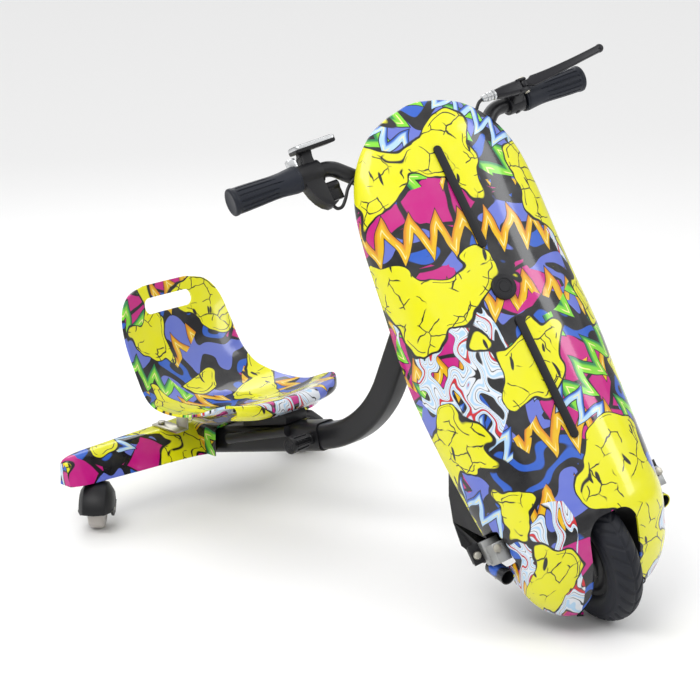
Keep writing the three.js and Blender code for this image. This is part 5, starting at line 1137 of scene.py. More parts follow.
# %% Open the slot
SLOT_WIDTH, SLOT_HEIGHT, SLOT_PLACE = 106, 26, 0.94
SLOT_ROUND, SLOT_DROP, SLOT_SNAP, BACK_PLACE = 0.46, 0.3, 0.6, 0.8


def slot_distance(x, z, middle_z):
    """How far a point of the back lies outside the slot's outline, and the nearest point of that outline."""
    radius = SLOT_HEIGHT * SLOT_ROUND
    inner_x, inner_z = SLOT_WIDTH / 2 - radius, SLOT_HEIGHT / 2 - radius
    near_x = min(max(x, -inner_x), inner_x)
    near_z = min(max(z, middle_z - inner_z), middle_z + inner_z)
    gone = math.hypot(x - near_x, z - near_z)
    if gone < 1e-6:
        return -radius, (x, z)
    reach = radius / gone
    return gone - radius, (near_x + (x - near_x) * reach, near_z + (z - near_z) * reach)


slot_middle = seat_point(SLOT_PLACE, 0, SEAT_WALL / 2)[2] - SLOT_HEIGHT * SLOT_DROP
in_slot = np.zeros(seat_points.shape[:2], bool)
for r, row in enumerate(seat_points):
    if seat_places[r] > BACK_PLACE:
        in_slot[r] = [slot_distance(x, z, slot_middle)[0] < SLOT_SNAP for x, _, z in row]
whole = in_slot[:-1, :-1] & in_slot[1:, :-1] & in_slot[:-1, 1:] & in_slot[1:, 1:]
opened = {(int(r), int(c)) for r, c in zip(*np.nonzero(whole))}
for r, c in sorted(opened):
    for i, j in ((r, c), (r, c + 1), (r + 1, c), (r + 1, c + 1)):
        if all(cell in opened for cell in ((i - 1, j - 1), (i - 1, j), (i, j - 1), (i, j))):
            continue
        x, y, z = seat_points[i, j]
        new_x, new_z = slot_distance(x, z, slot_middle)[1]
        lean = seat_points[i + 1, j] - seat_points[i - 1, j]
        seat_points[i, j] = (new_x, y + (new_z - z) * lean[1] / lean[2], new_z)
print("the slot leaves out", len(opened), "faces")

# %% [markdown]
# ## Seat: its wall
#
# The print covers the seat in front and behind, because the whole moulding is dipped. So its wall keeps the
# printed finish on both sides, and only a soft edge is added.

# %% Finish the seat
seat = mapped_sheet(
    "bucket_seat",
    seat_points,
    trike_frame,
    lambda r, c: (r, c) not in opened,
    (seat_print,),
    seat_flat,
    lambda p: np.array((0, -0.4, 1)),
)
thicken(seat, SEAT_WALL)
bevel(seat, 1.5, 3, 50)
finished(worked_in(seat), ["seat"], 40)

# %% [markdown]
# ## Rear shell: its section
#
# A hollow bar of moulded plastic covers the cross tube and the casters' sockets. It could be a bevelled
# box, but it narrows towards its ends. So upright sections run from end to end, with a leaning front, a
# round fold, a flat top and an upright back, and a table for how deep and how tall each one is.

# %% Draw the rear shell's section
SHELL_HALF, SHELL_BOTTOM, SHELL_HEIGHT = 288, 80, 48
SHELL_DEPTH, SHELL_BACK, SHELL_WALL, SHELL_SLOPE, SHELL_CORNER = 85, 812, 2.2, 36, 11
# rows of [share of the half span, reach share, height share]
SHELL = (
    (0.0, 1.0, 1.0),
    (0.12, 0.95, 1.0),
    (0.2, 0.86, 1.0),
    (0.38, 0.76, 1.0),
    (0.58, 0.67, 1.0),
    (0.77, 0.57, 0.99),
    (0.88, 0.52, 0.97),
    (0.95, 0.46, 0.92),
    (0.985, 0.4, 0.84),
    (1.0, 0.36, 0.74),
)


def bend(start, middle, end, steps):
    """Points on a round corner from start to end, drawn towards middle."""
    shares = [k / steps for k in range(steps + 1)]
    return [(1 - t) ** 2 * start + 2 * t * (1 - t) * middle + t**2 * end for t in shares]


def straight(start, end, steps):
    return [start + (end - start) * (k / steps) for k in range(1, steps)]


def shell_section(x):
    share = abs(x) / SHELL_HALF
    reach, tall = eased(SHELL, share, 1), eased(SHELL, share, 2)
    low = SHELL_BACK - SHELL_DEPTH * reach
    back = SHELL_BACK - SHELL_DEPTH * (1 - reach) * 0.12
    top = SHELL_BOTTOM + SHELL_HEIGHT * tall
    fold = min(low + SHELL_SLOPE * reach, back - SHELL_CORNER * 1.2)
    corner = min(SHELL_CORNER, (back - fold) * 0.45)
    lean = unit((0, low - fold, SHELL_BOTTOM - top))
    foot, crease = np.array((x, low, SHELL_BOTTOM)), np.array((x, fold, top))
    front = bend(crease + lean * corner, crease, crease + (0, corner, 0), 8)
    edge = np.array((x, back, top))
    rear = bend(edge - (0, corner, 0), edge, edge - (0, 0, corner), 8)
    end = np.array((x, back, SHELL_BOTTOM))
    line = [foot, *straight(foot, front[0], 10), *front, *straight(front[-1], rear[0], 6), *rear]
    return [*line, *straight(rear[-1], end, 6), end]

# %% [markdown]
# ## Rear shell: its bar
#
# Sections are set closer towards the ends, where the shell rounds off fastest. The map runs straight along
# the bar and round each section. Two small plates follow the last sections and close the ends.

# %% Skin the rear shell
SHELL_STATIONS = 60
shell_shares = [math.sin(k / SHELL_STATIONS * math.pi / 2) for k in range(SHELL_STATIONS + 1)]
shell_stations = [-SHELL_HALF * s for s in shell_shares[:0:-1]] + [SHELL_HALF * s for s in shell_shares]
shell_points = np.array([shell_section(x) for x in shell_stations])
shell_flat = [[(x, v) for v in climb_of(row)] for x, row in zip(shell_stations, shell_points)]
shell = mapped_sheet(
    "rear_shell_bar",
    shell_points,
    trike_frame,
    None,
    (shell_print, inside_black),
    np.array(shell_flat),
    lambda p: np.array((0, p[1] - 780, p[2] - 85)),
)
ends = Bundle(trike_frame)
for station in (0, -1):
    ends.add(shell_points[station], [tuple(range(shell_points.shape[1]))])
shell_ends = ends.piece("shell_ends", (shell_print,))
print("the rear shell has", len(shell_stations), "sections")

# %% [markdown]
# ## Rear shell: its nose
#
# A short tunnel in the middle of the shell's front lets the frame's sleeve in. It is a plain arch carried
# forward, so it is a sheet of its own with straight rows that starts inside the bar.

# %% Skin the nose
NOSE_HALF, NOSE_HEIGHT, NOSE_REACH, NOSE_LENGTH, NOSE_STEPS = 38, 50, 99, 80, 12
nose_top = SHELL_BOTTOM + NOSE_HEIGHT
nose_line = [np.array((-NOSE_HALF, 0, SHELL_BOTTOM))]
for sign in (-1, 1):
    edge = np.array((sign * NOSE_HALF, 0, nose_top))
    down, inward = np.array((0, 0, -SHELL_CORNER)), np.array((-sign * SHELL_CORNER, 0, 0))
    first, second = (down, inward) if sign < 0 else (inward, down)
    nose_line += bend(edge + first, edge, edge + second, 8)
nose_line.append(np.array((NOSE_HALF, 0, SHELL_BOTTOM)))
nose_runs = [SHELL_BACK - NOSE_REACH + NOSE_LENGTH * k / NOSE_STEPS for k in range(NOSE_STEPS + 1)]
nose = mapped_sheet(
    "shell_nose",
    np.array([[p + (0, y, 0) for p in nose_line] for y in nose_runs]),
    trike_frame,
    None,
    (shell_print, inside_black),
    np.array([[(u, y) for u in climb_of(nose_line)] for y in nose_runs]),
    lambda p: p * (1, 0, 0.3),
)
print("the nose starts", NOSE_REACH, "mm in front of the shell's back")

# %% [markdown]
# ## Rear shell: its wall
#
# Inside, the shell is bare black plastic, which shows from below and behind. The Solidify modifier can give
# its inner side the next finish in the list, so the print stays outside.

# %% Give the rear shell its wall
for sheet in (shell, nose):
    thicken(sheet, SHELL_WALL, 1)
    bevel(sheet, 0.6, 2, 50)
    worked_in(sheet)
finished(joined("rear_shell_skin", shell, nose, shell_ends), ["rear_shell"], 40)

# %% [markdown]
# ## Lines of the main frame
#
# The main frame is a square steel tube, bent once and welded to the head tube. Its places are worked out
# from the rake, the beam's slope and the bend's radius, so that the beam, the weld, the sleeve and the knob
# all meet. Points typed by hand would drift apart.

# %% Place the main frame
RAKE = math.radians(34.1)
AXLE_HEIGHT, AXLE_SETBACK = 97.9925, 3.7
HEAD_BOTTOM, HEAD_LENGTH, HEAD_RADIUS, HEAD_BORE, HEAD_MIDDLE = 436, 120, 22, 17.6, 498
BEAM_SIZE, BEAM_CORNER = 40, 8
BEAM_SLOPE, BEAM_BEND, BEAM_INSERTION = math.radians(14), 185, 175
MOUTH_GAP = 2
BEAM_KNEE = np.array((0, 400.6, 182.2))
ACROSS = np.array((1, 0, 0))


def on_axis(height):
    """A point of the steering axis in the trike's frame."""
    back = -AXLE_SETBACK * math.cos(RAKE) + height * math.sin(RAKE)
    return np.array((0, back, AXLE_HEIGHT + AXLE_SETBACK * math.sin(RAKE) + height * math.cos(RAKE)))


axis_up = unit(on_axis(1) - on_axis(0))
head_point = on_axis(HEAD_MIDDLE)
rear_run = np.array((0, math.cos(BEAM_SLOPE), -math.sin(BEAM_SLOPE)))
front_run = unit(BEAM_KNEE - head_point)
beam_turn = math.acos(float(front_run @ rear_run))
sleeve_mouth = BEAM_KNEE + rear_run * (BEAM_BEND * math.tan(beam_turn / 2) + MOUTH_GAP)
beam_end = sleeve_mouth + rear_run * BEAM_INSERTION
print("the beam turns by", round(math.degrees(beam_turn), 1), "degrees")

# %% [markdown]
# ## Bends and sections
#
# Tubes are bent on a former, so a bend is a true arc between two straight runs. A curve object with a bevel
# could draw it, but its section may twist. This helper lays points along the runs and round each arc, close
# enough that the highlight stays unbroken.

# %% Write the bends and the sections
ARC_STEP, STRAIGHT_STEP = 4.0, 60.0


def bent(corners, radii, step=ARC_STEP):
    """Points along straight runs joined by round bends."""
    corners = [np.asarray(corner, float) for corner in corners]
    path = [corners[0]]
    for k, radius in enumerate(radii, start=1):
        before, after = unit(corners[k] - corners[k - 1]), unit(corners[k + 1] - corners[k])
        turn = math.acos(float(np.clip(before @ after, -1, 1)))
        start = corners[k] - before * radius * math.tan(turn / 2)
        centre = start + unit(after - before * float(before @ after)) * radius
        steps = max(int(turn * radius / step), 6)
        path += straight(path[-1], start, max(int(np.linalg.norm(start - path[-1]) / STRAIGHT_STEP), 1))
        out = start - centre
        for i in range(steps + 1):
            angle = turn * i / steps
            path.append(centre + out * math.cos(angle) + before * radius * math.sin(angle))
    runs = max(int(np.linalg.norm(corners[-1] - path[-1]) / STRAIGHT_STEP), 1)
    return path + straight(path[-1], corners[-1], runs) + [corners[-1]]


def circle_points(radius, steps):
    """Points round a circle, [across, up]."""
    turns = [2 * math.pi * k / steps for k in range(steps)]
    return [(radius * math.cos(turn), radius * math.sin(turn)) for turn in turns]


def rounded_outline(width, height, radius, steps=6):
    outline = []
    for corner, (sx, sy) in enumerate(((1, 1), (-1, 1), (-1, -1), (1, -1))):
        middle_u, middle_v = sx * (width / 2 - radius), sy * (height / 2 - radius)
        for k in range(steps + 1):
            angle = math.pi / 2 * (corner + k / steps)
            outline.append((middle_u + radius * math.cos(angle), middle_v + radius * math.sin(angle)))
    return outline

# %% [markdown]
# ## Beam and head tube
#
# Sweeping one rounded square along the bend keeps the long highlight on each flat side unbroken, which
# tells a square tube from a round one. The head tube is turned from a closed outline, so it is open at both
# ends.

# %% Sweep the beam
main_frame = Bundle(trike_frame)
beam_section = rounded_outline(BEAM_SIZE, BEAM_SIZE, BEAM_CORNER)
beam_path = bent([head_point, BEAM_KNEE, beam_end], [BEAM_BEND])
main_frame.sweep(beam_section, beam_path, (1, 0, 0))
print("the beam has", len(beam_path), "sections")

HEAD_EDGE = 0.6
head_profile = (
    (0, HEAD_BORE), (0, HEAD_RADIUS - HEAD_EDGE), (HEAD_EDGE, HEAD_RADIUS),
    (HEAD_LENGTH - HEAD_EDGE, HEAD_RADIUS), (HEAD_LENGTH, HEAD_RADIUS - HEAD_EDGE),
    (HEAD_LENGTH, HEAD_BORE), (0, HEAD_BORE),
)
main_frame.turned(head_profile, on_axis(HEAD_BOTTOM), axis_up, 64)

# %% [markdown]
# ## Weld and gusset
#
# Where the square beam meets the round head tube lies a low weld bead with fine ripples. Its path is the
# beam's outline, slid along the beam until it touches the tube, and a sine adds the ripples. A small plate
# under the joint stiffens it.

# %% Weld the beam to the head tube
WELD_HALF, WELD_SQUARENESS, WELD_RADIUS, WELD_STEPS = 21.5, 0.45, 2.1, 48
WELD_RIPPLE, WELD_RIPPLES, WELD_OUT = 0.25, 26, 0.8
GUSSET_REACH, GUSSET_THICKNESS = 72, 6

weld_up = unit(np.cross(front_run, ACROSS))
tube_front = unit(np.cross(ACROSS, axis_up))
tube_front = tube_front if tube_front @ front_run > 0 else -tube_front
weld_loop = []
for k in range(WELD_STEPS + 1):
    angle = 2 * math.pi * k / WELD_STEPS
    side = WELD_HALF * signed_power(math.cos(angle), WELD_SQUARENESS)
    lift = WELD_HALF * signed_power(math.sin(angle), WELD_SQUARENESS)
    depth = math.sqrt(max(HEAD_RADIUS**2 - side**2, 0))
    at = head_point + ACROSS * side + weld_up * lift
    reach = (depth - float((at - head_point) @ tube_front)) / float(front_run @ tube_front)
    ripple = WELD_RIPPLE * math.sin(angle * WELD_RIPPLES)
    weld_loop.append(at + front_run * (reach + WELD_OUT + ripple))
main_frame.sweep(circle_points(WELD_RADIUS, 8), weld_loop, tuple(front_run), ends=False)
gusset = [(p[1], p[2]) for p in (on_axis(HEAD_BOTTOM + 6), head_point + front_run * GUSSET_REACH, head_point)]
main_frame.slab(gusset, (-GUSSET_THICKNESS / 2, 0, 0), (0, 1, 0), (0, 0, 1), GUSSET_THICKNESS)
finished(main_frame.piece("bent_beam", (satin_paint,)), ["main_frame"], 30)

# %% [markdown]
# ## Sleeve
#
# The sleeve is a larger square tube that the beam's tail slides into. It is open at its mouth, so its
# section goes along it twice, inside and outside, and the rings close on themselves, which makes the wall
# and both rims in one skin. The outer edges are drawn in, as a saw cut is after filing.

# %% Make the sleeve
SLEEVE_LENGTH, SLEEVE_SIZE, SLEEVE_BORE, SLEEVE_EDGE = 268, 45.4, 40.6, 0.5
sleeve_end = sleeve_mouth + rear_run * SLEEVE_LENGTH
sleeve_up = np.cross(rear_run, -ACROSS)
outer_section = rounded_outline(SLEEVE_SIZE, SLEEVE_SIZE, BEAM_CORNER + 2.4)
inner_section = rounded_outline(SLEEVE_BORE, SLEEVE_BORE, BEAM_CORNER + 0.3)
edge_section = rounded_outline(SLEEVE_SIZE - 0.9, SLEEVE_SIZE - 0.9, BEAM_CORNER + 2)


def sleeve_ring(outline, along):
    return [sleeve_mouth + rear_run * along + ACROSS * u + sleeve_up * v for u, v in outline]


rear_frame = Bundle(trike_frame)
rear_frame.rings(
    [
        sleeve_ring(inner_section, SLEEVE_LENGTH),
        sleeve_ring(inner_section, 0.4),
        sleeve_ring(edge_section, 0),
        sleeve_ring(outer_section, SLEEVE_EDGE),
        sleeve_ring(outer_section, SLEEVE_LENGTH - SLEEVE_EDGE),
        sleeve_ring(edge_section, SLEEVE_LENGTH),
    ],
    closed=True,
)
print("the sleeve ends at", np.round(sleeve_end, 1))

# %% [markdown]
# ## Cross tube, struts and sockets
#
# Behind the seat a square cross tube carries the casters' sockets. A tie and two round struts join it to
# the sleeve, and two short posts hold the rear shell. These are plain lengths of tube, so rods and sweeps
# that overlap where they are welded are enough.

# %% Make the cross tube, the struts and the sockets
CROSS_BACK, CROSS_HEIGHT, CROSS_SIZE, CROSS_CORNER = 792, 93, 22, 3
SOCKET_SPREAD, SOCKET_RADIUS, SOCKET_LENGTH, SOCKET_BELOW = 222, 11, 25, 1
STRUT_SPREAD, STRUT_RADIUS, STRUT_FRONT, STRUT_REAR = 28, 8.5, (556, 158), (690, 114)
POST_SPREAD, POST_RADIUS, POST_TOP = 84, 7, 125.5
TIE_NARROWER, TIE_OVERLAP = 2, 14

cross_section = rounded_outline(CROSS_SIZE, CROSS_SIZE, CROSS_CORNER, 4)
cross_ends = [(side * SOCKET_SPREAD, CROSS_BACK, CROSS_HEIGHT) for side in (-1, 1)]
rear_frame.sweep(cross_section, cross_ends, (0, 0, 1))
socket_foot = CROSS_HEIGHT - CROSS_SIZE / 2 - SOCKET_BELOW
for side in (-1, 1):
    strut, post, socket = side * STRUT_SPREAD, side * POST_SPREAD, side * SOCKET_SPREAD
    rear_frame.rod((strut, *STRUT_FRONT), (strut, *STRUT_REAR), STRUT_RADIUS, 36)
    rear_frame.rod((post, CROSS_BACK, CROSS_HEIGHT), (post, CROSS_BACK, POST_TOP), POST_RADIUS)
    socket_top = (socket, CROSS_BACK, socket_foot + SOCKET_LENGTH)
    rear_frame.rod((socket, CROSS_BACK, socket_foot), socket_top, SOCKET_RADIUS)
tie_section = rounded_outline(SLEEVE_SIZE - TIE_NARROWER, CROSS_SIZE, CROSS_CORNER, 4)
tie_ends = [(0, sleeve_end[1] - TIE_OVERLAP, CROSS_HEIGHT), (0, CROSS_BACK, CROSS_HEIGHT)]
rear_frame.sweep(tie_section, tie_ends, (0, 0, 1))
print("the sockets reach down to", socket_foot, "mm")

# %% [markdown]
# ## Boss of the clamp knob
#
# A short round boss on the sleeve's right side takes the screw of the knob that locks the beam. A turned
# outline with a bore in it shows the hole when the knob is seen from the side.

# %% Add the boss
KNOB_INSET, BOSS_RADIUS, BOSS_LENGTH, BOSS_BORE = 15, 9, 7, 4.3
knob_axis = sleeve_mouth + rear_run * KNOB_INSET
boss = ((0, BOSS_RADIUS), (6.4, BOSS_RADIUS), (BOSS_LENGTH, 8.4), (BOSS_LENGTH, BOSS_BORE), (0, BOSS_BORE))
rear_frame.turned(boss, (-SLEEVE_SIZE / 2 + 1, knob_axis[1], knob_axis[2]), (-1, 0, 0))
finished(rear_frame.piece("sleeve_and_struts", (satin_paint,)), ["rear_frame"], 30)

# %% [markdown]
# ## A tree that sets copies round an axis
#
# Screws round the motor's cover, ribs on the knob and ribs on the brake's adjuster all repeat about an
# axis. A loop could copy them, but one Geometry Nodes tree serves them all: it puts points on the axis,
# turns each by its share of a full turn, and places the same small piece on every point.

# %% Build the ring tree
def ring_tree():
    tree = bpy.data.node_groups.new("copies_round_an_axis", "GeometryNodeTree")
    sockets = (("Piece", "Geometry"), ("Count", "Int"), ("Finish", "Material"))
    for name, kind in sockets:
        tree.interface.new_socket(name, in_out="INPUT", socket_type="NodeSocket" + kind)
    tree.interface.new_socket("Ring", in_out="OUTPUT", socket_type="NodeSocketGeometry")
    nodes, link = tree.nodes, tree.links.new
    start, end = nodes.new("NodeGroupInput"), nodes.new("NodeGroupOutput")
    points, number = nodes.new("GeometryNodePoints"), nodes.new("GeometryNodeInputIndex")
    share, angle = nodes.new("ShaderNodeMath"), nodes.new("ShaderNodeMath")
    turn = nodes.new("ShaderNodeCombineXYZ")
    place = nodes.new("GeometryNodeInstanceOnPoints")
    real, coat = nodes.new("GeometryNodeRealizeInstances"), nodes.new("GeometryNodeSetMaterial")
    share.operation, angle.operation = "DIVIDE", "MULTIPLY"
    angle.inputs[1].default_value = 2 * math.pi
    # each point's share of a full turn
    link(start.outputs["Count"], points.inputs["Count"])
    link(number.outputs[0], share.inputs[0])
    link(start.outputs["Count"], share.inputs[1])
    link(share.outputs[0], angle.inputs[0])
    link(angle.outputs[0], turn.inputs["Z"])
    # the piece on every point, made real and given its finish
    link(points.outputs[0], place.inputs["Points"])
    link(start.outputs["Piece"], place.inputs["Instance"])
    link(turn.outputs[0], place.inputs["Rotation"])
    link(place.outputs[0], real.inputs[0])
    link(real.outputs[0], coat.inputs["Geometry"])
    link(start.outputs["Finish"], coat.inputs["Material"])
    link(coat.outputs[0], end.inputs[0])
    print("the ring tree has", len(nodes), "nodes")
    return tree

# %% [markdown]
# ## Using the tree
#
# The small piece is drawn beside the Z axis at the world's middle, the tree's inputs are set by their
# sockets' identifiers, and the ring is worked into a plain mesh. Its place on the trike goes into the mesh
# rather than the object, because the export puts every object at the origin.

# %% Use the ring tree
RING_TREE = ring_tree()
AT_MIDDLE = Matrix.Identity(4)


def ring_of(name, bundle, count, finish, place):
    """Copies of a small piece, drawn beside the Z axis in millimetres, turned round that axis."""
    thing = bundle.piece(name, (finish,))
    made = thing.modifiers.new("ring", "NODES")
    made.node_group = RING_TREE
    inputs = {item.name: item.identifier for item in RING_TREE.interface.items_tree if item.in_out == "INPUT"}
    made[inputs["Count"]] = count
    made[inputs["Finish"]] = finish.material
    worked_in(thing)
    thing.data.transform(place)
    print(name, count, "copies")
    return thing


def toward(origin, axis, base):
    """A matrix that stands the Z axis on a line given in millimetres in one of the frames."""
    turned = Vector(unit(axis)).to_track_quat("Z", "Y").to_matrix().to_4x4()
    return base @ Matrix.Translation(Vector(origin) * MM) @ turned

# %% [markdown]
# ## Tread
#
# The tread is a row of curved grooves on each side of a thin middle line, like a row of arrowheads. Grooves
# made by bump alone would vanish at the tyre's outline, so they are real. Their depth is a rule with two
# inputs: how far round the wheel a point lies, and how far it leans from the crown.

# %% Write the tread
TREAD_PITCH, TREAD_DEPTH, TREAD_EDGE, TREAD_SWEEP = 28, 1.7, 0.86, 1.15


def ramp(value, low, high):
    """0 up to low, 1 from high, and straight between them."""
    return min(max((value - low) / (high - low), 0), 1)


def groove_depth(turn, lean):
    """How deep the tread is cut, at a share of a turn and a share of the way from crown to side."""
    lean = abs(lean)
    if lean > TREAD_EDGE:
        return 0.0
    from_groove = abs((turn * TREAD_PITCH + TREAD_SWEEP * lean**1.25) % 1 - 0.5)
    half_width = 0.085 + 0.05 * lean
    cut = 1 - ramp(from_groove, half_width, half_width + 0.05)
    fade = ramp(TREAD_EDGE - lean, 0, 0.08) * ramp(lean, 0, 0.1)
    middle_line = 1 - ramp(lean, 0.05, 0.07)
    return TREAD_DEPTH * max(cut * fade, middle_line)

# %% [markdown]
# ## Tyre
#
# The tyre is a ring of rubber about 200 millimetres across, whose section is nearly round. A torus with a
# displace modifier could make it, but the grooves need many more points round the wheel than across it. So
# a fine grid is wrapped round the axle and pushed in where a groove runs.

# %% Wrap the tyre
TYRE_MIDDLE, TYRE_HALF, TYRE_SWING = 74.6, 25, 1.16 * math.pi
TYRE_STEPS, TREAD_STEPS = 560, 72
TREAD_REACH, SIDE_LINE, SIDE_LINE_WIDTH, SIDE_LINE_DEPTH = 0.36, 0.4, 0.012, 0.7
BEAD_HALF, BEAD_RADIUS = 16, 57.6
axle_centre = np.array((0, AXLE_SETBACK, 0))
tyre_loops = []
for k in range(TYRE_STEPS):
    turn = k / TYRE_STEPS
    outward = np.array((0, math.cos(2 * math.pi * turn), math.sin(2 * math.pi * turn)))
    ring = []
    for s in range(TREAD_STEPS + 1):
        swing = (s / TREAD_STEPS - 0.5) * TYRE_SWING
        line = math.exp(-(((abs(swing) / math.pi - SIDE_LINE) / SIDE_LINE_WIDTH) ** 2))
        depth = groove_depth(turn, swing / (TREAD_REACH * math.pi)) + SIDE_LINE_DEPTH * line
        radius = TYRE_HALF - depth
        across, out = -radius * math.sin(swing), TYRE_MIDDLE + radius * math.cos(swing)
        ring.append(axle_centre + ACROSS * across + outward * out)
    for across in (-BEAD_HALF, BEAD_HALF):
        ring.append(axle_centre + ACROSS * across + outward * BEAD_RADIUS)
    tyre_loops.append(ring)
tyre = Bundle(fork_frame).rings(tyre_loops, closed=True)
finished(tyre.piece("grooved_tyre", (tyre_rubber,)), ["tyre"], 60)

# %% [markdown]
# ## Hub motor
#
# The motor fills the wheel: a black drum with a screwed cover on each side. One half of its outline is
# written, mirrored and turned about the axle. The ring tree sets the screws, which are small turned domes
# with a hollow for the key.

# %% Turn the hub motor
SCREW_CIRCLE, SCREW_COUNT, COVER_FACE_AT = 40.8, 8, 22.2
# [distance from the wheel's middle, radius], from the rim of the drum in to the axle's hole
half_drum = (
    (15, 57), (15, 50.2), (15.8, 49), (17.5, 48.2), (20, 46), (22.2, 44.2), (23, 42.6), (23, 39),
    (22.4, 38.4), (22.4, 24), (23, 23), (23, 6.3),
)
# [height over the cover, radius]
screw_dome = (
    (0, NEEDLE), (0, 2.6), (0.5, 2.6), (0.6, 2.3), (0.6, 0.9), (0.2, 0.7), (0.2, NEEDLE),
)
hub = Bundle(fork_frame)
hub.turned([(-d, r) for d, r in half_drum[::-1]] + list(half_drum), axle_centre, ACROSS, 96)
hub_pieces = [hub.piece("hub_drum", (satin_paint,))]
for side, hand in ((-1, "right"), (1, "left")):
    screw = Bundle(AT_MIDDLE)
    screw.turned(screw_dome, (SCREW_CIRCLE, 0, 0), (0, 0, 1), 16)
    cover_face = toward(axle_centre + ACROSS * side * COVER_FACE_AT, ACROSS * side, fork_frame)
    hub_pieces.append(ring_of("cover_screws_" + hand, screw, SCREW_COUNT, zinc, cover_face))
finished(joined("hub_motor_drum", *hub_pieces), ["hub_motor"], 30)

# %% [markdown]
# ## Handlebar
#
# The bar is one round tube with four bends: low where the stem holds it, higher where the hands are. The
# same helper that bends the beam gives its path, with a finer step, because a thin bar shows flats sooner.

# %% Bend the handlebar
BAR_RADIUS, BAR_FORWARD, BAR_HEIGHT, BAR_CENTRE = 11.1, 55, 632, 585
BAR_END, BAR_BEND, BAR_FOOT = 288, 136, 84
BAR_RADII, BAR_STEP = [30, 26, 26, 30], 2.5


def bar_point(across, height=BAR_HEIGHT):
    return np.array((across, -BAR_FORWARD, height), float)


bar_corners = [
    bar_point(-BAR_END), bar_point(-BAR_BEND), bar_point(-BAR_FOOT, BAR_CENTRE),
    bar_point(BAR_FOOT, BAR_CENTRE), bar_point(BAR_BEND), bar_point(BAR_END),
]
bar = Bundle(fork_frame)
bar.sweep(circle_points(BAR_RADIUS, 40), bent(bar_corners, BAR_RADII, BAR_STEP), (0, -1, 0))
finished(bar.piece("handlebar_tube", (satin_paint,)), ["handlebar"], 30)

# %% [markdown]
# ## Grips: their radius
#
# Each grip is a rubber sleeve, thinner where the palm lies, with lengthwise grooves. Every groove starts at
# a point, and every third one starts further in, like the veins of a leaf. Cutting them one by one would
# take long, and a rule for the radius makes all of them at once.

# %% Write the grip's radius
GRIP_LENGTH, GRIP_OVER_END = 104, 3
GRIP_GROOVES, GROOVE_DEPTH, GROOVE_HALF, GROOVE_EDGE = 15, 1.3, 0.2, 0.06
GROOVE_START, GROOVE_STAGGER, GROOVE_TAPER = 0.36, 0.12, 0.14
GROOVE_END, GROOVE_END_TAPER = 0.915, 0.02
NECK_LINE, NECK_LINE_WIDTH, NECK_LINE_DEPTH = 0.025, 0.006, 0.7
grip_tip = BAR_END + GRIP_OVER_END
# [share of the grip's length from its inner end, radius]
GRIP = (
    (0.0, 18.0), (0.01, 18.8), (0.06, 19.0), (0.14, 18.2), (0.26, 17.0), (0.4, 16.8), (0.6, 17.6),
    (0.8, 18.3), (0.93, 18.6), (0.945, 19.2), (0.985, 19.2), (0.995, 18.4), (1.0, 17.2),
)


def grip_radius(share, angle):
    """The grip's radius at a share of its length and an angle round it."""
    radius = eased(GRIP, share, 1)
    radius -= NECK_LINE_DEPTH * math.exp(-(((share - NECK_LINE) / NECK_LINE_WIDTH) ** 2))
    turn = angle / (2 * math.pi) * GRIP_GROOVES
    start = GROOVE_START - GROOVE_STAGGER * math.cos(2 * math.pi * turn / 3) ** 2
    into = min((share - start) / GROOVE_TAPER, (GROOVE_END - share) / GROOVE_END_TAPER, 1)
    if into > 0:
        from_groove = abs((turn % 1) - 0.5)
        radius -= GROOVE_DEPTH * ramp(GROOVE_HALF * into - from_groove, 0, GROOVE_EDGE)
    return radius

# %% [markdown]
# ## Grips: their skin
#
# Rings of that radius are set along the bar, closely enough for the grooves' sides to stay crisp, and three
# more rings close the tip with a shallow dish.

# %% Skin the grips
GRIP_STEPS, GRIP_SIDES = 150, 210
GRIP_TIP_RINGS = ((14.5, 0), (12.5, 0.6), (0.5, 0.8))
grip_turns = [2 * math.pi * c / GRIP_SIDES for c in range(GRIP_SIDES)]


def grip_ring(middle, radii):
    return [middle + (0, r * math.cos(turn), r * math.sin(turn)) for r, turn in zip(radii, grip_turns)]


def grip(side, node):
    loops = []
    for k in range(GRIP_STEPS + 1):
        share = k / GRIP_STEPS
        middle = bar_point(side * (grip_tip - GRIP_LENGTH + share * GRIP_LENGTH))
        loops.append(grip_ring(middle, [grip_radius(share, turn) for turn in grip_turns]))
    for radius, back in GRIP_TIP_RINGS:
        loops.append(grip_ring(bar_point(side * (grip_tip - back)), [radius] * GRIP_SIDES))
    made = Bundle(fork_frame).rings(loops)
    return finished(made.piece("ribbed_" + node, (grip_rubber,)), [node], 40)


grip(-1, "grip_right")
grip(1, "grip_left")

# %% [markdown]
# ## Small hardware
#
# Bolts, pins, brackets, the fork and the battery are plain shapes that their solids already give well. Each
# gets a copy of its solid with its flats merged and its edges broken, as a mould or a file leaves them. A
# CAD mesh is loose triangles, so doubles are merged first, or the bevel would find no edges.

# %% Dress the small hardware
SAME_POINT, FLAT_WITHIN = 2e-6, math.radians(2)


def dressed(node, finish, width, segments=2):
    """A copy of a CAD node with its edges broken."""
    mesh = frame["nodes"][node].data.copy()
    mesh.name = node + "_dressed"
    work = bmesh.new()
    work.from_mesh(mesh)
    bmesh.ops.remove_doubles(work, verts=work.verts, dist=SAME_POINT)
    bmesh.ops.dissolve_limit(work, angle_limit=FLAT_WITHIN, verts=work.verts, edges=work.edges)
    work.to_mesh(mesh)
    work.free()
    mesh.materials.clear()
    mesh.materials.append(finish.material)
    thing = worked_in(bevel(in_scene(node + "_dressed", mesh), width, segments, 35))
    return finished(thing, [node])


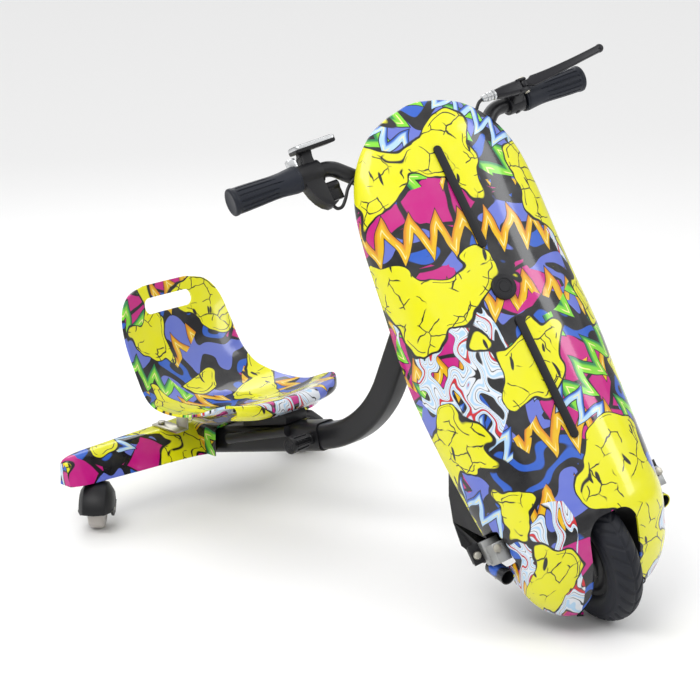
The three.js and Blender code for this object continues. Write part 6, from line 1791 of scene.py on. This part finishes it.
# [finish, slot, width of the soft edge in millimetres, nodes]
for finish, slot, width, nodes in (
    (moulded, "black_plastic", 1.0, "throttle_housing"),
    (smooth_plastic, "black_plastic", 1.4, "throttle_paddle"),
    (moulded, "black_plastic", 1.2, "seat_support"),
    (cast_black, "satin_black", 0.8, "stem"),
    (cast_black, "satin_black", 0.6, "drum_brake"),
    (satin_paint, "satin_black", 0.8, "fork"),
    (satin_paint, "satin_black", 0.6, "fairing_post"),
    (satin_paint, "satin_black", 0.4, "headset_upper headset_lower"),
    (cast_alloy, "cast_alloy", 0.6, "motor_controller"),
    (cast_alloy, "cast_alloy", 1.6, "peg_bracket_right peg_bracket_left"),
    (battery_wrap, "battery_wrap", 1.5, "battery_pack"),
    (zinc, "zinc_plated", 0.7, "seat_bracket"),
    (zinc, "zinc_plated", 0.5, "front_axle axle_nut_right axle_nut_left peg_bolt_right peg_bolt_left"),
    (zinc, "zinc_plated", 0.4, "cover_screw_right cover_screw_left seat_bolt_right seat_bolt_left"),
    (zinc, "zinc_plated", 0.3, "peg_pin_right peg_pin_left caster_pin_right caster_pin_left"),
):
    for node in nodes.split():
        dressed(node, finish, width)

# %% [markdown]
# ## Display
#
# A small display tilts towards the rider on a slim neck that rises from the throttle's collar: a shallow
# silver tray, a darker rim and a sunk dark glass. It is a stack of rounded rings, each with how far it is
# drawn in and how high it lies, so a step is one more ring, where a cube would need insets.

# %% Build the display
COLLAR_OUTER, COLLAR_WIDTH = grip_tip - GRIP_LENGTH - 0.3, 34
DISPLAY_WIDTH, DISPLAY_DEPTH, DISPLAY_CORNER = 62, 36, 6
DISPLAY_TILT, DISPLAY_LIFT, DISPLAY_SHIFT = math.radians(-13), 33, 0.36
NECK_SIZE, NECK_CORNER, NECK_SHIFT = 19, 4, 4
# [drawn in, lift] of each ring of the silver tray, the dark rim and the glass
TRAY_RINGS = ((2.2, 0), (0.8, 0.5), (0, 1.8), (0, 5.4))
RIM_RINGS = ((0, 5.4), (0, 8.6), (0.5, 9.6), (1.6, 10.3))
GLASS_RINGS = ((1.9, 9.9), (2.0, 10.4), (2.6, 10.9), (6, 11))

collar_middle = COLLAR_OUTER - COLLAR_WIDTH / 2
display_at = bar_point(-collar_middle + DISPLAY_WIDTH * DISPLAY_SHIFT, BAR_HEIGHT + DISPLAY_LIFT)
display_up = np.array((0, math.cos(DISPLAY_TILT), -math.sin(DISPLAY_TILT)))
display_out = np.cross(ACROSS, display_up)


def display_ring(inset, lift):
    width, depth = DISPLAY_WIDTH - 2 * inset, DISPLAY_DEPTH - 2 * inset
    outline = rounded_outline(width, depth, DISPLAY_CORNER - inset * 0.6, 8)
    return [display_at + ACROSS * u + display_up * v + display_out * lift for u, v in outline]


display = Bundle(fork_frame)
neck_line = [
    bar_point(-collar_middle + NECK_SHIFT + bent_by, BAR_HEIGHT + lift)
    for bent_by, lift in ((0, 14), (1, 24), (4, 36))
]
display.sweep(rounded_outline(NECK_SIZE, NECK_SIZE, NECK_CORNER, 4), neck_line, (0, 1, 0), 1)
for finish_number, stack in ((1, TRAY_RINGS), (0, RIM_RINGS), (2, GLASS_RINGS)):
    display.rings([display_ring(*place) for place in stack], finish_number)
finished(display.piece("display_case", (silver, moulded, dark_glass)), ["display"], 40)

# %% [markdown]
# ## Power button
#
# Beside the display's neck stands the power button, a small silver wedge that is pushed in towards the bar.
# Its side view is one flat outline, so a slab of it with soft edges is enough.

# %% Build the power button
BUTTON_SHIFT, BUTTON_WIDTH = 11.5, 12
BUTTON_OUTLINE = [(-6, 13.5), (6.5, 13.5), (8.5, 26), (5, 29), (-5.5, 29)]
button = Bundle(fork_frame)
button_foot = bar_point(-collar_middle - BUTTON_SHIFT)
button.slab(BUTTON_OUTLINE, button_foot, (0, -1, 0), (0, 0, 1), BUTTON_WIDTH)
button_wedge = button.piece("power_button_wedge", (silver,), 1.2)
finished(button_wedge, ["power_button"], 40)

# %% [markdown]
# ## Brake perch
#
# The perch is a black casting, clamped round the bar, that holds the lever in a forked end. A casting has
# no straight edges, so its arm is a stack of rounded sections that grow towards the fork, and the fork is
# two more stacks with the lever's slot between them.

# %% Cast the brake perch
PERCH_LENGTH, PERCH_FORWARD, PERCH_LIFT, PERCH_COLLAR = 54, 33, 11, 26
SLOT_DEPTH, CHEEK_DEPTH = 12.5, 15.6
LEVER_BOSS = 6.5
perch_outer = COLLAR_OUTER - PERCH_COLLAR * 0.08
perch_y = -BAR_FORWARD - PERCH_FORWARD
lever_pivot = np.array((perch_outer - LEVER_BOSS * 0.6, perch_y, BAR_HEIGHT + PERCH_LIFT))
root_x, slot_x = perch_outer - PERCH_LENGTH, perch_outer - SLOT_DEPTH


def perch_ring(x, low, high, depth):
    """A rounded section of the perch between two heights over or under the lever's middle."""
    middle = np.array((x, perch_y, lever_pivot[2] + (low + high) / 2))
    radius = min(high - low, depth) * 0.36
    return [middle + (0, u, v) for u, v in rounded_outline(depth, high - low, radius)]


perch = Bundle(fork_frame)
ARM_SECTIONS = (
    (root_x, -5.5, 5, 11), (root_x + 1.2, -7, 6.5, 13.5), (root_x + 14, -9.5, 8, 15.5),
    (slot_x - 1, -11.5, 8.6, 15.8), (slot_x, -11.4, 8.4, 15.5),
)
perch.rings([perch_ring(*section) for section in ARM_SECTIONS])
for low, high in ((-11.5, -5.2), (5.2, 8.6)):
    cheek = [perch_ring(x, low, high, CHEEK_DEPTH) for x in (slot_x - 4, perch_outer - 6)]
    cheek.append(perch_ring(perch_outer - 1, low, high, 12))
    cheek.append(perch_ring(perch_outer + 1.5, low + 0.4, high - 0.4, 7))
    perch.rings(cheek)
print("the lever turns at", np.round(lever_pivot, 1))

# %% [markdown]
# ## The perch's collar and neck
#
# The collar is turned round the bar, the neck is a stack of three rounded sections from the collar forward
# to the arm, and a small screw head shows under the collar. Soft edges go on last, over all of it.

# %% Add the perch's collar and neck
COLLAR_EDGE, COLLAR_RADIUS, COLLAR_RIM = 0.8, 16.4, 15.4
# [y, lift, width, height] of the neck's sections
NECK_SECTIONS = ((-BAR_FORWARD - 10, -1, 22, 18), (-BAR_FORWARD - 20, 2, 19, 13), (perch_y + 6, 6, 19, 14))
collar_profile = (
    (0, COLLAR_RIM), (COLLAR_EDGE, COLLAR_RADIUS),
    (PERCH_COLLAR - COLLAR_EDGE, COLLAR_RADIUS), (PERCH_COLLAR, COLLAR_RIM),
)
perch.turned(collar_profile, bar_point(perch_outer - PERCH_COLLAR), (1, 0, 0), 48)
neck_x = perch_outer - 14
neck_rings = []
for y, lift, wide, tall in NECK_SECTIONS:
    outline = rounded_outline(wide, tall, 4)
    neck_rings.append([np.array((neck_x + u, y, BAR_HEIGHT + lift + v)) for u, v in outline])
perch.rings(neck_rings)
screw_x = perch_outer - 13
perch.rod(bar_point(screw_x, BAR_HEIGHT - 17.6), bar_point(screw_x, BAR_HEIGHT - 15), 3.6)
finished(perch.piece("brake_perch_casting", (cast_black,), 0.5), ["brake_perch"], 35)

# %% [markdown]
# ## Lever pin
#
# The lever turns on a zinc plated pin with a broad head above the fork and a riveted end below it. Both
# ends have a shallow hollow. One turned outline from end to end gives the pin as it comes off the lathe.

# %% Turn the lever pin
# [height over the lever's middle, radius]
PIN_OUTLINE = (
    (-13.4, NEEDLE), (-13.4, 3.4), (-12.9, 4), (-11.6, 4), (-11.6, 2.8), (8.7, 2.8), (8.7, 4.6), (10, 4.6),
    (10.8, 3.8), (10.8, 2), (10.1, 1.8), (10.1, NEEDLE),
)
pin = Bundle(fork_frame)
pin.turned(PIN_OUTLINE, lever_pivot, (0, 0, 1), 24)
finished(pin.piece("lever_pivot_pin", (zinc,)), ["lever_pin"], 35)

# %% [markdown]
# ## Smooth curves through points
#
# The lever and both cables follow slow curves through a few places. A Bezier curve's handles are hard to
# set by number. This helper eases between the places and spreads its points evenly, because a sweep along
# uneven points shows rings.

# %% Write the smooth curve
CURVE_SAMPLES = 400


def through(points, count):
    """A smooth curve through points, as evenly spread places."""
    points = [np.asarray(p, float) for p in points]
    places = [0.0]
    for a, b in zip(points, points[1:]):
        places.append(places[-1] + math.sqrt(float(np.linalg.norm(b - a))))
    tables = [[(place, p[axis]) for place, p in zip(places, points)] for axis in range(3)]
    shares = [k / CURVE_SAMPLES for k in range(CURVE_SAMPLES + 1)]
    fine = np.array([[eased(table, places[-1] * share, 1) for table in tables] for share in shares])
    run = climb_of(fine)
    evenly = run[-1] * np.arange(count + 1) / count
    return list(np.stack([np.interp(evenly, run, fine[:, axis]) for axis in range(3)], axis=1))

# %% [markdown]
# ## Brake lever
#
# The lever is a cast blade: tall where it turns on its pin, thin along its middle, and ended by a ball. A
# section that changes along the way can't come from one sweep, so each ring is made on its own along the
# curve.

# %% Cast the brake lever
LEVER_REACH, LEVER_STEPS, LEVER_CORNER, LEVER_EYE = 140, 40, 2.4, 4.4
BLADE_WIDTH, BLADE_WAIST, BLADE_HEIGHT, BLADE_ROOT, BLADE_TIP = 9.4, 1.2, 9.4, 7.5, 1.6
ROOT_FROM, ROOT_OVER = 5.5, 5
lever_tip = lever_pivot + (LEVER_REACH - LEVER_BOSS, -12, 10)
lever_path = through(
    [lever_pivot + (3, 0, 0), lever_pivot + (35, -9, 0), lever_pivot + (84, -13.2, 4), lever_tip + (1, 0, 0)],
    LEVER_STEPS,
)
lever_loops = []
for k, point in enumerate(lever_path):
    share = k / LEVER_STEPS
    run = unit(lever_path[min(k + 1, LEVER_STEPS)] - lever_path[max(k - 1, 0)])
    side = unit(np.cross(run, (0, 0, 1)))
    lift = np.cross(side, run)
    root = ramp(share * LEVER_REACH, ROOT_FROM, ROOT_FROM + ROOT_OVER)
    wide = BLADE_WIDTH - BLADE_WAIST * math.sin(share * math.pi) ** 0.8
    tall = BLADE_HEIGHT + root * BLADE_ROOT * (1 - share) ** 2.2 + BLADE_TIP * share
    outline = rounded_outline(wide, tall, LEVER_CORNER, 5)
    lever_loops.append([point + side * u + lift * v for u, v in outline])
lever = Bundle(fork_frame).rings(lever_loops)
lever.rod(lever_pivot - (0, 0, LEVER_EYE), lever_pivot + (0, 0, LEVER_EYE), LEVER_BOSS)
ball = [
    (-LEVER_BOSS * math.cos(math.pi * k / 20), max(LEVER_BOSS * math.sin(math.pi * k / 20), NEEDLE))
    for k in range(21)
]
lever.turned(ball, lever_tip, (1, 0, 0.1), 32)
finished(lever.piece("brake_lever_blade", (cast_black,), 0.4), ["brake_lever"], 30)

# %% [markdown]
# ## Barrel adjuster
#
# Where the cable enters the perch, a silver sleeve with a lock ring sets its slack. It is turned, and the
# ring tree sets real ribs round its broad end, since ribs made by bump would look flat this close.

# %% Turn the barrel adjuster
ADJUSTER_GAP, RIB_COUNT, RIB_FROM_AXIS, RIB_LENGTH = 0.3, 26, 6.8, 3
# [distance from the perch, radius]
ADJUSTER_OUTLINE = (
    (0, 6.6), (0.5, 7), (3.6, 7), (4, 6.5), (4.2, 5.2), (4.8, 5.2), (5, 6), (5.4, 6.3), (9, 6.1), (9.3, 5.4),
    (10.2, 5.4), (10.5, 6.4), (14.5, 6), (15, 5), (16, 5), (16.4, 5.4), (22, 4.2), (22.6, 3.2),
)
RIB_OUTLINE = [(-0.35, -0.5), (0.35, -0.5), (0.2, 0.45), (-0.2, 0.45)]
adjuster_face = np.array((root_x - ADJUSTER_GAP, perch_y, lever_pivot[2]))
adjuster = Bundle(fork_frame)
adjuster.turned(ADJUSTER_OUTLINE, adjuster_face, (-1, 0, 0), 48)
adjuster.rod(adjuster_face + (7, 0, 0), adjuster_face - (1, 0, 0), 3.5)
rib = Bundle(AT_MIDDLE)
rib.slab(RIB_OUTLINE, (RIB_FROM_AXIS, 0, 0.5), (0, 1, 0), (1, 0, 0), -RIB_LENGTH)
knurl_place = toward(adjuster_face, (-1, 0, 0), fork_frame)
knurl = ring_of("adjuster_ribs", rib, RIB_COUNT, silver, knurl_place)
barrel = joined("adjuster_barrel", adjuster.piece("adjuster_sleeve", (silver,)), knurl)
finished(barrel, ["barrel_adjuster"], 30)

# %% [markdown]
# ## Cables
#
# The brake's cable runs from the adjuster down beside the battery to the drum brake, and the throttle's
# from its housing to the motor's controller. Each is one tube along its whole way, with no loose end. Its
# places follow its solid's, apart from the first stretch, which leaves the control a little straighter.

# %% Run the cables
CABLE_RADIUS, CABLE_STEPS = 2.4, 240
BRAKE_CABLE = (
    (111.1, -88, 643), (102, -87.5, 640), (94, -84, 630), (90, -78, 614), (89, -74, 598), (88, -71, 575),
    (85, -70, 545), (80, -62, 500), (76, -56, 420), (76, -58, 340), (76, -60, 260), (76, -58, 190),
    (74, -50, 145), (66, -40, 108), (48, -32, 80), (34, -22.3, 60),
)
THROTTLE_CABLE = (
    (-155.4, -55, 578.9), (-152, -55.5, 574), (-145, -57, 574), (-137, -60, 582), (-128, -63, 594),
    (-116, -67, 602), (-102, -70, 599), (-88, -71, 576), (-76, -66, 530), (-62, -54, 460),
    (-48, -46, 400), (-39.4, -42, 364), (-38.4, -41.3, 347.2),
)
for node, places in (("brake_cable", BRAKE_CABLE), ("throttle_cable", THROTTLE_CABLE)):
    path = through(places, CABLE_STEPS)
    tube = Bundle(fork_frame)
    tube.sweep(circle_points(CABLE_RADIUS, 14), path, (0, -1, 0))
    print(node, round(float(climb_of(path)[-1])), "mm long")
    finished(tube.piece(node + "_tube", (cable_black,)), [node], 40)

# %% [markdown]
# ## Back cover
#
# A black moulded cover closes the back of the fairing. Its solid has the right rim and openings, so it is
# dressed like the small hardware and then given the real one's belly: the middle of its back is moved out
# and spread. A smooth rule leaves the rim where it meets the fairing.

# %% Shape the back cover
COVER_FACE, COVER_BELLY, COVER_SPREAD = 22, 12, 0.13
BELLY_BEHIND, BELLY_FROM, BELLY_TO, BELLY_SIDE = 30, 52, 330, 138
cover = dressed("back_cover", moulded, 0.8, 3)
into_fork = fork_frame.inverted()
moved_points = 0
for vertex in cover.data.vertices:
    x, y, z = (into_fork @ vertex.co) / MM
    belly = ramp(y, COVER_FACE, COVER_FACE + BELLY_BEHIND) * ramp(z, BELLY_FROM, BELLY_FROM + 14)
    belly *= ramp(BELLY_TO - z, 0, 110) * ramp(BELLY_SIDE - abs(x), 0, 10)
    belly *= belly * (3 - 2 * belly)
    if belly > 0:
        moved = Vector((x * (1 + COVER_SPREAD * belly), y + COVER_BELLY * belly, z))
        vertex.co = fork_frame @ (moved * MM)
        moved_points += 1
print("the belly moves", moved_points, "points")

# %% [markdown]
# ## Footrests: their outline
#
# Each footrest is a short tube with the print outside and plain black in its mouth. It lies level while
# the fork is raked, so its points are worked out in a level frame. The outline runs out over the tube and
# round the lip, where the print ends, and back down the bore.

# %% Draw the footrest's outline
PEG_SPREAD, PEG_HEIGHT, PEG_RADIUS, PEG_WALL, PEG_LENGTH, PEG_MOUTH = 135, 21, 11, 1.6, 41, -6.5
PEG_BORE_DEPTH, PEG_SIDES, PEG_BODY_STEPS = 19, 48, 10
peg_back, peg_bore = PEG_MOUTH - PEG_LENGTH, PEG_RADIUS - PEG_WALL
# [forward, radius]
peg_outside = [
    (peg_back, NEEDLE), (peg_back, PEG_RADIUS - 1),
    (peg_back + 0.3, PEG_RADIUS - 0.3), (peg_back + 1, PEG_RADIUS),
]
for k in range(1, PEG_BODY_STEPS + 1):
    peg_outside.append((peg_back + 1 + (PEG_LENGTH - 1.5) * k / PEG_BODY_STEPS, PEG_RADIUS))
peg_outside += [(PEG_MOUTH, PEG_RADIUS - 0.5), (PEG_MOUTH, PEG_RADIUS - 1.1), (PEG_MOUTH - 0.5, peg_bore)]
peg_inside = [
    peg_outside[-1], (PEG_MOUTH - 9, peg_bore), (PEG_MOUTH - PEG_BORE_DEPTH + 0.1, peg_bore),
    (PEG_MOUTH - PEG_BORE_DEPTH, NEEDLE),
]
print("a footrest's outline has", len(peg_outside + peg_inside) - 1, "points")


def level_point(across, forward, up):
    """A point given level with the ground, in the fork's raked frame."""
    run = forward * math.cos(RAKE) + up * math.sin(RAKE)
    return np.array((across, -run, up * math.cos(RAKE) - forward * math.sin(RAKE)))

# %% [markdown]
# ## Footrests: their skin
#
# A turned skin has no map, and the print needs one, so the two stretches of the outline are wrapped as
# sheets whose map goes round the tube and along it. They share the lip's ring, whose points are then
# merged.

# %% Skin the footrests
PEG_MAP_SHIFT = 40
peg_turns = [2 * math.pi * c / PEG_SIDES for c in range(PEG_SIDES + 1)]


def peg_sheet(side, outline, finish, facing):
    """One stretch of the footrest's skin; facing is 1 where it looks outwards and -1 in the bore."""

    def around(turn, forward, radius):
        across = side * PEG_SPREAD + radius * math.cos(turn)
        return level_point(across, forward, PEG_HEIGHT + radius * math.sin(turn))

    middle = level_point(side * PEG_SPREAD, peg_back + 8, PEG_HEIGHT)
    points = [[around(turn, *place) for turn in peg_turns] for place in outline]
    runs = climb_of(outline)
    flat = [[(PEG_RADIUS * turn + side * PEG_MAP_SHIFT, run) for turn in peg_turns] for run in runs]
    return mapped_sheet(
        "peg_sheet", np.array(points), fork_frame, None, (finish,), np.array(flat),
        lambda p: facing * (p - middle),
    )


def foot_peg(side, node):
    outer = peg_sheet(side, peg_outside, peg_print, 1)
    # the bore gets the plain black rather than the print
    inner = peg_sheet(side, peg_inside, inside_black, -1)
    thing = joined(node + "_tube", outer, inner)
    work = bmesh.new()
    work.from_mesh(thing.data)
    bmesh.ops.remove_doubles(work, verts=work.verts, dist=1e-6)
    work.to_mesh(thing.data)
    work.free()
    return finished(thing, [node], 40)


foot_peg(-1, "foot_peg_right")
foot_peg(1, "foot_peg_left")

# %% [markdown]
# ## Clamp knob
#
# The knob that locks the sliding frame has a long ribbed barrel and a broader cap with sunk rings. The core
# is turned, and the ring tree sets eight smooth ribs round it, each a rod swept along a line that leans out
# as the barrel widens.

# %% Build the clamp knob
KNOB_GAP, KNOB_RIBS, KNOB_RIB_RADIUS, KNOB_RIB_STEPS = 0.3, 8, 2.1, 8
KNOB_RIB_START, KNOB_RIB_LENGTH, KNOB_RIB_OUT, KNOB_RIB_LEAN = 5, 29, 9.9, 1.1
# [distance from the sleeve's boss, radius]
KNOB_OUTLINE = (
    (-6.5, NEEDLE), (-6.5, 4), (0, 4), (0, 9), (0.6, 9.8), (12, 10.2), (34, 10.8), (34.6, 12.6),
    (35.6, 13.2), (40.6, 12.9), (41.6, 11.8), (42, 9.9), (41.4, 9.2), (41.4, 8.2), (42, 7.6), (42, 5.6),
    (41.4, 5), (41.4, 4), (42, 3.4), (42, NEEDLE),
)
knob_face = (-SLEEVE_SIZE / 2 - BOSS_LENGTH - KNOB_GAP, knob_axis[1], knob_axis[2])
knob = Bundle(trike_frame)
knob.turned(KNOB_OUTLINE, knob_face, (-1, 0, 0), 72)
knob_rib = Bundle(AT_MIDDLE)
rib_shares = [k / KNOB_RIB_STEPS for k in range(KNOB_RIB_STEPS + 1)]
rib_line = [(KNOB_RIB_OUT + KNOB_RIB_LEAN * s, 0, KNOB_RIB_START + KNOB_RIB_LENGTH * s) for s in rib_shares]
knob_rib.sweep(circle_points(KNOB_RIB_RADIUS, 12), rib_line, (1, 0, 0))
knob_ribs_place = toward(knob_face, (-1, 0, 0), trike_frame)
ribs = ring_of("knob_ribs", knob_rib, KNOB_RIBS, smooth_plastic, knob_ribs_place)
ribbed_knob = joined("ribbed_knob", knob.piece("knob_core", (moulded,)), ribs)
finished(ribbed_knob, ["clamp_knob"], 35)

# %% [markdown]
# ## Casters
#
# Each caster is a plastic hood over one wide grey wheel. The hood's solid is good enough to dress. The
# wheel is seen from low down, so it gets a finer turned outline with a hub, a step and round shoulders.

# %% Build the casters
# [distance from the wheel's middle, radius] of one side
CASTER_SIDE = (
    (-13, 3.4), (-13, 10), (-12.2, 10.6), (-12.2, 17), (-13, 17.6), (-12.9, 24), (-12.2, 26.8), (-10.8, 28.9),
    (-8.4, 30.4), (-5, 30.9), (0, 31.2),
)
caster_outline = CASTER_SIDE + tuple((-d, r) for d, r in CASTER_SIDE[-2::-1])
for hand in ("right", "left"):
    dressed("caster_hood_" + hand, moulded, 1.2, 3)
    spin = joints[f"caster_wheel_{hand}_spin"]
    wheel = Bundle(AT_MIDDLE)
    wheel.turned(caster_outline, np.array(spin["pos_m"]) / MM, spin["axis"], 64)
    roller = wheel.piece("caster_roller_" + hand, (wheel_grey,))
    finished(roller, ["caster_wheel_" + hand], 40)

# %% [markdown]
# ## Floor
#
# A large pale floor catches the soft shadow. It lies a little under the wheels, because two surfaces at one
# height would flicker, and its edge lies far away.

# %% Lay the floor
FLOOR_HALF, FLOOR_BELOW, FLOOR_TINT = 60, 0.0006, (0.9, 0.9, 0.9)
floor_mesh = bpy.data.meshes.new("studio_floor")
floor_signs = ((-1, -1), (1, -1), (1, 1), (-1, 1))
floor_corners = [(x * FLOOR_HALF, y * FLOOR_HALF, -FLOOR_BELOW) for x, y in floor_signs]
floor_mesh.from_pydata(floor_corners, [], [(0, 1, 2, 3)])
floor_mesh.materials.append(Recipe("studio_backdrop", 0.7, 0.0, FLOOR_TINT).material)
in_scene("studio_floor", floor_mesh)
print("the floor reaches", FLOOR_HALF, "metres each way")
